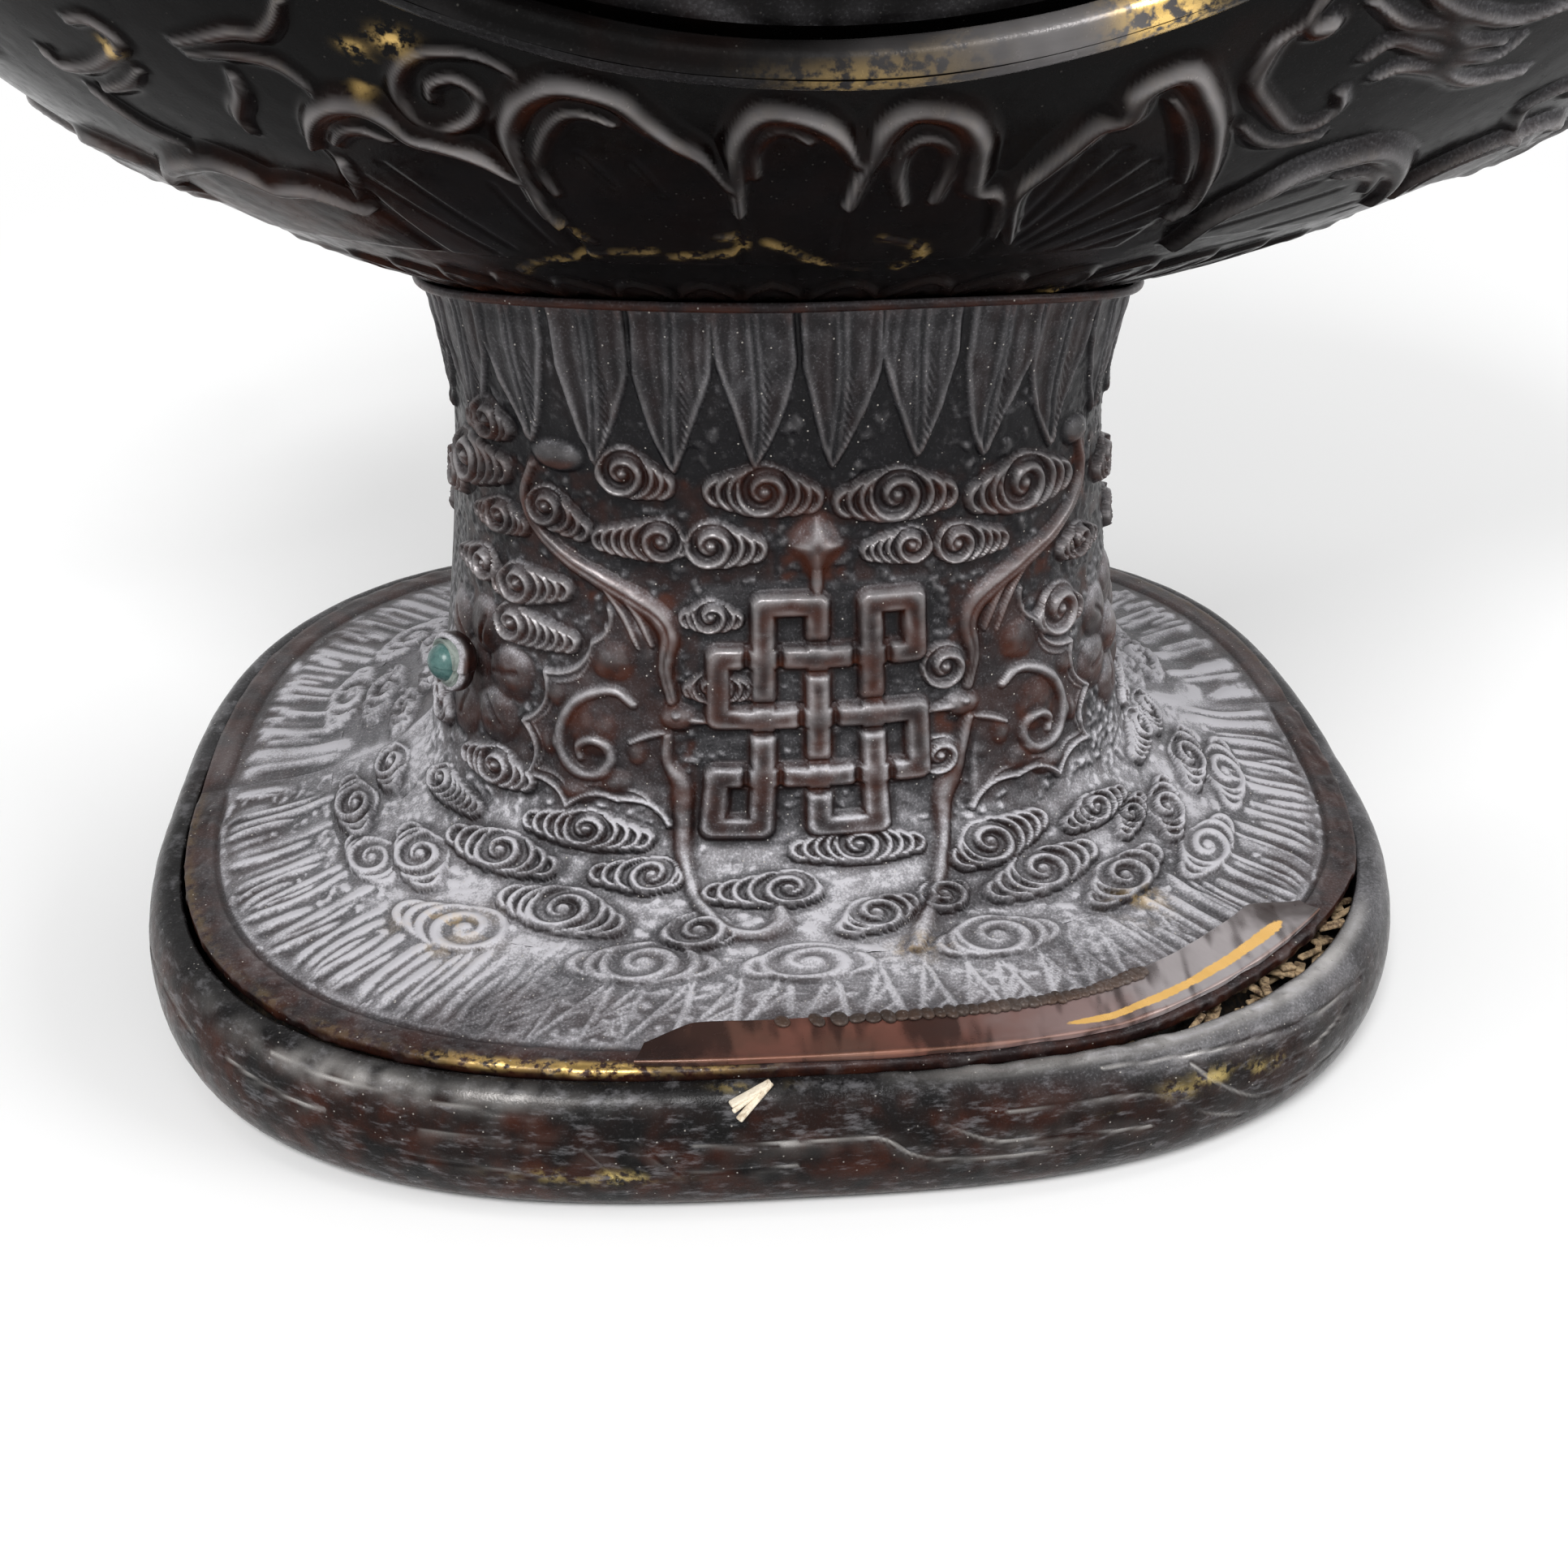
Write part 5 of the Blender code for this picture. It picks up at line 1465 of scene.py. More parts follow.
    def knot(self) -> None:
        """The woven endless knot in the middle, with a diamond over it."""
        r = self.relief
        u0, v0 = self.knot_middle
        wide, half, arm = 5.6, 1.45, 10.2
        path = [(-wide, -13), (-wide, 13), (-arm, 13), (-arm, 7), (arm, 7), (arm, 0), (-arm, 0), (-arm, -7)]
        path += [(arm, -7), (arm, -13), (wide, -13), (wide, 13), (0, 13), (0, -13), (-wide, -13)]
        bars = np.array([(u0 + u, v0 + v) for u, v in path])
        bed = [(u0 - 12, v0 - 15), (u0 + 12, v0 - 15), (u0 + 12, v0 + 15), (u0 - 12, v0 + 15)]
        r.plate(np.array(bed), 0.12, 0.6)
        r.ridge(bars, half + 0.25, 1.4, 0.6, flat=True)
        for i, u in enumerate((-wide, 0, wide)):
            for j, v in enumerate((-7, 0, 7)):
                part, across, down = r.near((u0 + u, v0 + v), 3)
                x, y = across - u0 - u, down - v0 - v
                if (i + j) % 2:
                    x, y = y, x
                sunk = hump(np.abs(x) - half - 0.3, 0.4) * (np.abs(y) < half)
                r.height[part] -= 0.75 * sunk
                r.height[part] += 0.25 * dome(np.abs(x), half) * hump(y, 2)
        diamond = [(u0, v0 - 22.4), (u0 + 2.2, v0 - 19.5), (u0, v0 - 16.6), (u0 - 2.2, v0 - 19.5)]
        r.plate(np.array(diamond), 1.6, 1.4, 1)
        r.ridge(np.array([(u0, v0 - 17), (u0, v0 - 13)]), 0.8, 1, 1)

    def rays(self) -> None:
        """The rays of the apron, hatched at the front, and the line round it."""
        r = self.relief
        part, u, v = r.window((-60, 67), (60, 200))
        chance = np.random.default_rng(13)
        made = np.zeros(u.shape)
        at = -self.half_girth / 2
        while at < self.half_girth / 2:
            pitch, start, strong = chance.uniform(0.6, 1.7), chance.uniform(66.5, 75), chance.uniform(0.2, 0.65)
            share = (u - at - chance.uniform(-0.8, 0.8) * ((v - 76) / 6) ** 2) / pitch
            fold = ease(-0.3, 0.8, share) ** 1.6 * ease(1.15, 0.85, share)
            fold *= strong * ease(start, start + 4, v) * ease(82.6, 79.5, v) * ease(15, 24, abs(at))
            made = np.maximum(made, fold)
            at += 0.8 * pitch
        r.raise_to(part, made, 0)
        for step in range(-9, 10):
            at, top = 2.7 * step + chance.uniform(-0.4, 0.4), chance.uniform(71, 73)
            for foot in ((at - 2.5, 82.2), (at + 0.3, 82.2)):
                r.ridge(np.array([(at, top), foot]), 0.28, chance.uniform(0.12, 0.3), swell=TAPER)
            for high in chance.uniform(74, 79.5, 4):
                foot = (at - 1 - 0.2 * (high - 74), high + 2.6)
                r.ridge(np.array([(at + 0.1, high), foot]), 0.26, 0.2, swell=TAPER)
        r.height[part] += 0.22 * ease(82.7, 83.3, v) - 0.3 * hump(v - 82.9, 0.3)

    def seams(self) -> None:
        """Sinks the stem's ground and closes the pattern where the halves meet."""
        r = self.relief
        u, v = np.meshgrid(r.u, r.v)
        r.height += (0.03 * grain(v.shape, 2, 15) - 0.3) * ease(0, 1.5, v) * ease(70.5, 67, v)
        r.height *= ease(self.half_girth / 2, self.half_girth / 2 - 1.6, np.abs(u))


@dataclass
class Foot:
    """The foot sheet, its chased stem and rayed apron, and the wire under the body."""

    form: FootForm = field(default_factory=FootForm)
    shift: float = 2.0
    seam: float = 70.0
    turned_under: float = 6.0
    collar_half: float = 40.2
    wire: float = 0.5
    # Rows past the end of the apron, where it turns under.
    EDGE = (0.15, 0.4, 0.8, 1.1, 1.3, 2)
    # By run down: dust that lies on the ground, dust caught by crests together with a painted highlight on their upper
    # flanks, and how deep a hollow is darkened as painted shade.
    LYING = (
        (0, 14, 30, 45, 55, 62, 68, 72, 76, 80, 82.5, 83.2, 90),
        (0.3, 0.35, 0.42, 0.48, 0.62, 0.8, 0.94, 0.95, 0.84, 0.71, 0.58, 0.28, 0.16),
    )
    RIDGE_DUST_AND_HIGHLIGHT = ((34, 56, 68, 73, 82, 83.2), (0.1, 1, 1.05, 0.5, 0.5, 0))
    HOLLOW_SHADE = ((12, 20, 66, 74), (0.06, 0.2, 0.2, 0.06))
    # Spots of gilding: place across and down, and half width.
    GILDING = ((5.5, 69.5, 1.8), (-28, 71, 3.2), (24, 71, 2))

    def build(self) -> None:
        """Makes the front at full detail, the back coarser, and the wire."""
        half = self.form.half_girth()
        for name, about, step, parts in (("front", 0, 0.21, 2), ("back", half, 0.5, 1)):
            self.stem(name, about, step, half, parts)
            self.apron(name, about, step, half)
        self.collar()

    def pressed(self, about: float, u: Net, v: Net, half: float) -> Sheet:
        """Presses the pattern out of one half of the foot.

        Args:
            about: Run round to its middle.
            u: Places across.
            v: Places down.
            half: Half the run round the stem.

        Returns:
            The sheet, with its dust and gilding, painted highlights on its ridges and painted shade in its hollows.
        """
        relief = FootPattern(Relief(u, v), half).draw()
        sheet = Sheet.pressed(lambda a, d: self.form.place(a + self.shift + about, d), relief, -1)
        across, down = np.meshgrid(u, v)
        crest, tint, dust = (sheet.marks[mark] for mark in (CREST, TINT, DUST))
        height = relief.height
        raised = ease(0.05, 0.4, height) * ease(72, 66, down)
        lit_ridges = unit((height - blur(height, 2)) / np.interp(down, (60, 72), (0.2, 0.07)))
        # Painted highlight: ridges count more on their upper flanks.
        lit_ridges *= 0.4 + 0.6 * ease(-0.35, 0.15, sheet.lean)
        ledges = blur(ease(0.06, 0.4, sheet.lean), 4) * ease(13, 18, down)
        # Painted shade: how far each place lies down in a hollow.
        sunk = unit((blur(height, 3) - height) / np.interp(down, *self.HOLLOW_SHADE))
        crest *= np.interp(down, (12, 15, 46, 60), (0.5, 1, 1, 0.5))
        tint *= np.interp(down, (44, 60), (1, 0.45))
        brown = np.minimum(tint, 1)
        dust *= np.interp(down, *self.LYING) * (1 - 0.25 * tint) * (1 - 0.7 * raised)
        dust += 0.2 * ease(14, 40, down) * ease(72, 66, down) * (1 - brown)
        fore = ease(32, 20, np.abs(across)) * ease(66, 71, down)
        # Dust caught on ridges, with a painted highlight on their upper flanks.
        ridge_dust_and_highlight = np.interp(down, *self.RIDGE_DUST_AND_HIGHLIGHT) * (1 - 0.55 * fore)
        dust += ridge_dust_and_highlight * lit_ridges * (1 - 0.4 * brown) + 0.5 * ledges * ease(70, 60, down)
        # Dust over the lappets, less in the low gaps between them as painted shade.
        dust += 0.3 * ease(19, 4, down) * (1 - 0.5 * brown) * (0.4 + 0.6 * ease(0, 0.3, height + 0.3))
        # Painted shade: dust is taken out of hollows so that they stay dark.
        dust *= 1 - (0.42 - 0.14 * fore) * sunk
        tint += 0.3 * ease(82.6, 83.4, down) + 0.25 * ease(73, 77, down)
        worn = unit(0.5 + 0.5 * grain(across.shape, 5, 21))
        edge = hump(down - self.form.length() + 0.35, 0.5) * ease(-2, -9, across)
        edge *= 0.05 * ease(-62, -50, across) + 0.95 * ease(-22, -15, across)
        spots = sum(hump(np.hypot(across - a, down - d), s) for a, d, s in self.GILDING)
        gilt = edge * (0.25 + 1.25 * worn) + spots * worn * np.maximum(crest, 0.3)
        sheet.marks[GILT] = unit(gilt)
        return sheet

    def stem(self, name: str, about: float, step: float, half: float, parts: int) -> None:
        """Makes the stem of one half.

        Args:
            name: Which half.
            about: Run round to its middle.
            step: Distance between places.
            half: Half the run round the stem.
            parts: How many pieces it is cut into.
        """
        u = np.linspace(-half / 2, half / 2, int(half / step))
        v = np.arange(0, self.seam + (SPARE_ROWS + 1) * step, step)
        last = int(np.searchsorted(v, self.seam))
        v += (self.seam - v[last]) * v / v[last]
        sheet = self.pressed(about, u, v, half)
        cuts = [round(share * (len(u) - 1) / parts) for share in range(parts + 1)]
        for index, (start, end) in enumerate(zip(cuts, cuts[1:])):
            mesh = sheet.cut(f"stem_{name}_{index + 1}", slice(0, last + 1), slice(start, end + 1))
            settle(mesh, STEM_PATINA, "foot_shell")

    def apron(self, name: str, about: float, step: float, half: float) -> None:
        """Makes the apron of one half, turned under at its edge.

        Args:
            name: Which half.
            about: Run round to its middle.
            step: Distance between places.
            half: Half the run round the stem.
        """
        u = np.linspace(-half / 2, half / 2, int(half / step * 1.2))
        step *= 0.95
        length = self.form.length()
        down = np.linspace(self.seam, length, int((length - self.seam) / step))
        v = np.r_[self.seam - step * np.arange(SPARE_ROWS, 0, -1), down]
        v = np.r_[v, length + np.array([*self.EDGE, self.turned_under])]
        mesh = self.pressed(about, u, v, half).cut(f"apron_{name}", slice(SPARE_ROWS, None))
        settle(mesh, STEM_PATINA, "foot_shell")

    def collar(self) -> None:
        """Makes the wire at the joint of body and stem."""
        angle = np.radians(np.linspace(0, 360, 361))
        x, y = self.form.ring(np.full(angle.shape, self.collar_half), angle)
        low, high = (corner[2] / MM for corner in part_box("stem_collar"))
        line = stacked(x, y, self.form.body.underside(x, y))
        line[:, 2] += (low + high) / 2 - (line[:, 2].min() + line[:, 2].max()) / 2
        out = stacked(x - self.form.centre, y, 0 * x)
        out /= np.linalg.norm(out, axis=1, keepdims=True)
        relief = Relief(np.arange(361.0), np.linspace(0.0, 360.0, 13))
        section = np.radians(relief.v)[:, None, None]
        points = line + self.wire * (np.cos(section) * out + np.sin(section) * np.array([0, 0, -1]))
        sheet = Sheet.pressed(lambda u, v: points, relief, -1)
        sheet.marks[TINT] += 0.6
        sheet.marks[DUST] *= 0.4
        settle(sheet.cut("stem_collar_wire", closed=True), STEM_PATINA, "stem_collar")


@dataclass
class Rim:
    """The rolled rim round the bottom of the foot."""

    form: RimForm = field(default_factory=RimForm)
    step: float = 0.32
    # Scratches: places round from the front and down from the lip, by turns.
    SCRATCHES = (
        (-65, 5.2, -56, 6.2, -51, 6.1), (-59, 2.1, -48, 2.5, -41, 2.6, -32, 3, -28, 3.3), (-40, 6.1, -32, 6.1, -25,
        6.3), (-41, 9.8, -32, 10.1, -27, 11.2), (-17, 6.3, -12.5, 10.9), (-23, 6.8, -19, 11.5), (-11.5, 6.6, -7, 6.8,
        -1, 6.5), (-12.5, 10.2, -6, 10.1, -1, 9.7), (13.5, 5.1, 19.5, 8, 26, 8.4, 37, 9.5), (21, 4.7, 28.5, 4.8, 37,
        5.4, 44, 10, 49, 12.4), (42, 3, 45, 6.2, 51, 10.4, 57, 10.8, 65, 10.2), (32, 1.4, 42.5, 2.1, 52, 3, 60.5, 3.6,
        70, 4), (-2.5, 6.9, 7, 6.6, 11, 9.1, 15, 10.2, 26, 10.4), (53.5, 6.9, 58.5, 7, 66, 5.5), (-90, 6, -80, 5, -72,
        5.6),
    )
    # Patches of gilding: place round and down, half length and half height.
    GILDING = ((-22, 10.7, 6, 0.8), (43.5, 5.4, 4, 0.9), (52, 6.3, 2.2, 0.7), (-6, 0.3, 3, 0.5), (34, 7.2, 2, 0.6))

    def build(self) -> None:
        """Makes the front and the back half."""
        girth = float(self.form.girth()[1][-1])
        length = float(self.form.section()[1][-1])
        rows = np.r_[-4.5, -2.5, np.arange(-1.4, length - 7.4, self.step), length - 6, length - 3, length]
        for name, about, step in (("front", 0, self.step), ("back", girth / 2, self.step * 2)):
            u = np.linspace(-girth / 4, girth / 4, int(girth / 2 / step))
            relief = Relief(u, rows)
            across, down = np.meshgrid(u, rows)
            dents = grain(relief.height.shape, 14, 31) * 0.08 + grain(relief.height.shape, 2, 32) * 0.016
            dents *= ease(girth / 4, girth / 4 - 4, np.abs(across)) * ease(-1.5, 1, down) * ease(17, 13, down)
            relief.height += dents - 0.1 * ease(2, 6, down) * ease(17, 13, down)
            if about == 0:
                for line in self.SCRATCHES:
                    relief.groove(self.scratch(line), 0.22, 0.25)
                ragged = np.clip(grain(relief.height.shape, 3, 33), -1.2, 1.2)
                relief.height += 0.22 * ragged * hump(down + 0.2, 0.9) * ease(2, 14, across) * ease(72, 60, across)
            sheet = Sheet.pressed(lambda a, d: self.form.place(a + about, d), relief, -1, 0.1)
            self.weather(sheet, across, down, about == 0)
            settle(sheet.cut(f"rim_{name}"), RIM_PATINA, "foot_rim")

    def scratch(self, line: Sequence[float]) -> Net:
        """The smooth line of a scratch."""
        return flowing(np.reshape(line, (-1, 2)))

    def weather(self, sheet: Sheet, across: Net, down: Net, front: bool) -> None:
        """Lays dust on the shoulder, rubs scratches bright, paints a highlight along the shoulder left of the front and
        leaves gilding.

        Args:
            sheet: The pressed half.
            across: Places round.
            down: Places down.
            front: Whether it is the front half.
        """
        crest, tint, dust, gilt = (sheet.marks[mark] for mark in Mark)
        shape = across.shape
        cloudy = unit(0.5 + 0.4 * grain(shape, 7, 34))
        far = ease(8, 45, across) if front else 0.4
        settled = far * (0.62 * ease(7, 1.5, down) * dust + 0.12 * cloudy * ease(11, 3, down))
        dust[:] = 0.52 * unit(0.25 * dust + settled)
        brown = unit(0.5 + 0.3 * grain(shape, 9, 35) + 0.25 * grain(shape, 2, 39))
        tint += 0.75 * brown * (1 - 0.6 * far) * ease(0.5, 4, down)
        crest *= 0.3
        if front:
            broken = 0.8 * ease(-0.9, 0.9, grain(shape, 8, 37))
            for line in self.SCRATCHES:
                np.maximum(crest, broken * hump(apart(across, down, self.scratch(line))[0], 0.15), out=crest)
            # Painted highlight: a streaked band of bare metal along the shoulder, left of the front.
            shoulder_highlight = unit(0.6 + 0.35 * grain(shape, 2, 38)) * hump(down - 1.6, 1.5)
            lip = hump(down + 0.1, 0.8) * ease(6, 24, across) * ease(84, 72, across)
            np.maximum(crest, np.maximum(lip, 0.55 * shoulder_highlight * hump(across + 47, 19)), out=crest)
            pale = hump(down + 0.1, 0.55) * ease(14, 26, across) * ease(84, 72, across)
            np.maximum(dust, 0.95 * pale * ease(-1.1, 0.1, grain(shape, 3, 40)), out=dust)
            worn = unit(0.4 + 0.6 * grain(shape, 3, 36))
            for turn, drop, long, tall in self.GILDING:
                gilt += 0.9 * worn * hump(np.hypot((across - turn) / long, (down - drop) / tall), 1)


@dataclass
class Border:
    """The strip along the border, the cord on it and the straw in the seam."""

    form: FootForm = field(default_factory=FootForm)
    start: float = -98.0
    end: float = -36.0
    width: float = 5.6
    thick: float = 0.7
    gap: float = 0.3
    cord_from: float = 0.12
    cord_to: float = 0.57
    cord_beads: int = 34
    chips: int = 46

    def place(self, along: Net, across: Net) -> Net:
        """Points of the strip's top.

        Args:
            along: Share of its length.
            across: Share of its width from the inner edge; past either edge it turns down and under.

        Returns:
            The points in millimetres.
        """
        angle = np.radians(self.start + (self.end - self.start) * along)
        share = unit(across)
        taper = 0.35 + 0.65 * ease(-0.02, 0.05, along) * ease(1.02, 0.9, along)
        wide = self.form.border_half - self.width * (1 - share) * taper - self.gap
        line, _ = self.form.profile()
        height = np.interp(wide, line[-200:, 0], line[-200:, 1]) + self.gap * 1.4 + self.thick
        past = np.maximum(np.abs(across - 0.5) - 0.5, 0) * self.width
        height = height - np.minimum(past, self.thick)
        inwards = np.maximum(past - self.thick, 0) * np.sign(across - 0.5)
        wide = wide - inwards - self.form.split_width * self.form.gape(angle)
        return stacked(*self.form.outline(wide, angle, wide), height)

    def build(self) -> None:
        """Makes the strip, the cord and the straw."""
        self.strip()
        self.cord()
        self.straw()

    def strip(self) -> None:
        """Makes the strip, hollowed a little along its middle."""
        edge = self.thick / self.width
        sides = edge * np.array([2.2, 1.05, 0.9, 0.6, 0.3, 0.12])
        rows = np.r_[-sides, np.linspace(0, 1, 30), 1 + sides[::-1]]
        relief = Relief(np.linspace(0, 1, 330), rows)
        along, across = np.meshgrid(relief.u, relief.v)
        relief.height += 0.05 * grain(relief.height.shape, 6, 41) * ease(0, 0.05, along) * ease(1, 0.95, along)
        relief.height -= 0.16 * hump(across - 0.45, 0.3)
        relief.height += 0.1 * hump(across - 0.96, 0.05)
        sheet = Sheet.pressed(self.place, relief, -1)
        worn = grain(relief.height.shape, 8, 42)
        sheet.marks[DUST] = along
        streak = hump(across - 0.74 + 0.08 * ease(0.4, 0.8, along), 0.05 + 0.1 * along)
        streak *= ease(0.33, 0.45, along) * ease(0.95, 0.87, along)
        sheet.marks[GILT] = unit(streak * (0.95 + 0.12 * worn))
        sheet.marks[CREST] = hump(across - 1, 0.06)
        settle(sheet.cut("border_strip"), STRIP_POLISH, "foot_border_strip")

    def cord(self) -> None:
        """Makes the twisted cord along the strip, one slanting bead after another."""
        bm = bmesh.new()
        chance = np.random.default_rng(52)
        share = np.linspace(self.cord_from, self.cord_to, self.cord_beads)
        spots = self.place(share, np.full(share.shape, 0.09))
        ahead = self.place(share + 0.004, np.full(share.shape, 0.09))
        for spot, nxt in zip(spots, ahead):
            way = Vector(nxt - spot).normalized()
            side = Vector((0, 0, 1)).cross(way).normalized()
            turn = Matrix((way, side, way.cross(side))).transposed().to_4x4()
            lean = Matrix.Rotation(math.radians(-62 + chance.uniform(-16, 16)), 4, "Z")
            size = Matrix.Diagonal((*(MM * chance.uniform(0.7, 1.2, 3) * (1, 0.85, 0.42)), 1))
            where = Matrix.Translation(Vector(spot) * MM + Vector((0, 0, 0.12 * MM)))
            bmesh.ops.create_uvsphere(bm, u_segments=12, v_segments=8, radius=1, matrix=where @ turn @ lean @ size)
        settle(smooth_mesh(bm, "border_cord", {CREST: 0.22, TINT: 0.7, DUST: 0.4}), CORD_PATINA)

    def straw(self) -> None:
        """Makes the chips of straw in the open seam, and three splinters over the rim."""
        bm = bmesh.new()
        chance = np.random.default_rng(51)
        for _ in range(self.chips):
            angle = math.radians(chance.uniform(-70, -24))
            inner = self.form.border_half - self.form.split_width * float(self.form.gape(np.array(angle)))
            wide = chance.uniform(inner - 1.5, 72.5)
            x, y = oval(angle, self.form.rim_power, wide, wide - self.form.depth_less)
            spot = np.array([x, y, chance.uniform(11.5, 14.2)])
            self.blade(bm, spot, spot + chance.uniform(-1, 1, 3) * (3.2, 3.2, 1.2), chance.uniform(0.6, 1.5))
        settle(smooth_mesh(bm, "straw_chips", {}), DRY_STRAW)
        bm, rim = bmesh.new(), RimForm()
        for end, wide in (((-7.9, 1.9), 0.9), ((-7, 3.5), 0.8), ((-7.6, 2.6), 0.5)):
            start, stop = rim.place(np.array([-3.6, end[0]]), np.array([0.2, end[1]]))
            self.blade(bm, start + (0, -0.3, 0.7), stop + (0, -0.6, 0.3), wide)
        settle(smooth_mesh(bm, "straw_splinters", {}), PALE_STRAW)

    def blade(self, bm: bmesh.types.BMesh, start: Net, end: Net, wide: float) -> None:
        """Adds a blade of straw.

        Args:
            bm: Where it goes.
            start: One end, in millimetres.
            end: The other end.
            wide: Its width.
        """
        way = Vector(end - start)
        turn = way.to_track_quat("X", "Z").to_matrix().to_4x4()
        size = Matrix.Diagonal((max(way.length, 1.2) * MM, wide * MM, 0.45 * MM, 1))
        where = Matrix.Translation(Vector(start + end) * MM / 2)
        made = bmesh.ops.create_cube(bm, size=1, matrix=where @ turn @ size)
        edges = list({edge for vert in made["verts"] for edge in vert.link_edges})
        bmesh.ops.bevel(bm, geom=edges, offset=0.15 * MM, affect="EDGES", segments=2, profile=0.5, material=-1)


def smooth_mesh(bm: bmesh.types.BMesh, name: str, marks: dict[Mark, float]) -> bpy.types.Mesh:
    """A smooth mesh with the same marks all over.

    Args:
        bm: What was built; it is freed.
        name: The mesh's name.
        marks: The marks' values.

    Returns:
        The mesh.
    """
    bmesh.ops.recalc_face_normals(bm, faces=bm.faces)
    mesh = meshed(bm, name)
    mesh.polygons.foreach_set("use_smooth", np.ones(len(mesh.polygons), bool))
    for mark, value in marks.items():
        leave_mark(mesh, mark, np.full(len(mesh.vertices), value))
    return mesh


@dataclass
class Setting:
    """A turquoise bead in its collet of petals, on one flank of the stem."""

    side: str
    radius: float = 2.2
    collet: float = 3.5
    depth: float = 2.4

    def build(self) -> None:
        """Makes the collet, the paste and the bead."""
        bead = sum(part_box(f"{self.side}_bead"), Vector()) / 2
        seat = sum(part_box(f"{self.side}_collet"), Vector()) / 2
        out = (bead - seat).normalized()
        where = Matrix.Translation(bead) @ out.to_track_quat("Z", "Y").to_matrix().to_4x4()
        deep = -(self.radius + 0.3)
        cup = [(1.6, deep), (2.6, deep), (3.2, deep + 0.5), (self.collet, deep + 1.5), (3.3, deep + self.depth)]
        cup += [(2.9, deep + self.depth), (2.65, deep + 1.4)]
        self.ring("collet", cup, where, 0.12, STEM_PATINA, f"{self.side}_collet")
        paste = [(2.3, deep + 1.3), (2.75, deep + 2.2), (2.55, deep + 2.85), (2.1, deep + 3)]
        self.ring("paste", paste, where, 0.2, SETTING_PASTE)
        turn = np.radians(np.linspace(-90, 90, 26))
        ball = [(self.radius * math.cos(t), self.radius * math.sin(t)) for t in turn]
        self.ring("bead", ball, where, 0.03, TURQUOISE, f"{self.side}_bead")

    def ring(self, name: str, profile: Line, where: Matrix, uneven: float, finish: Finish, *nodes: str) -> None:
        """Makes a turned piece of the setting.

        Args:
            name: What it is.
            profile: Radius and height along its section.
            where: Its place.
            uneven: How far its surface wanders.
            finish: Its finish.
            nodes: The solids it stands for.
        """
        form = TurnedForm(profile, (0, 0), 4)
        relief = Relief(np.linspace(0, 360, 61), np.linspace(0, form.length(), 40))
        spots = grain((40, 60), 3, len(name))
        fade = ease(0, 0.5, relief.v) * ease(form.length(), form.length() - 0.5, relief.v)
        relief.height += uneven * np.c_[spots, spots[:, :1]] * fade[:, None]
        sheet = Sheet.pressed(form.place, relief, 1, 0.1)
        sheet.marks[TINT] += 0.6
        mesh = sheet.cut(f"{self.side}_{name}", closed=True)
        mesh.transform(where)
        settle(mesh, finish, *nodes)


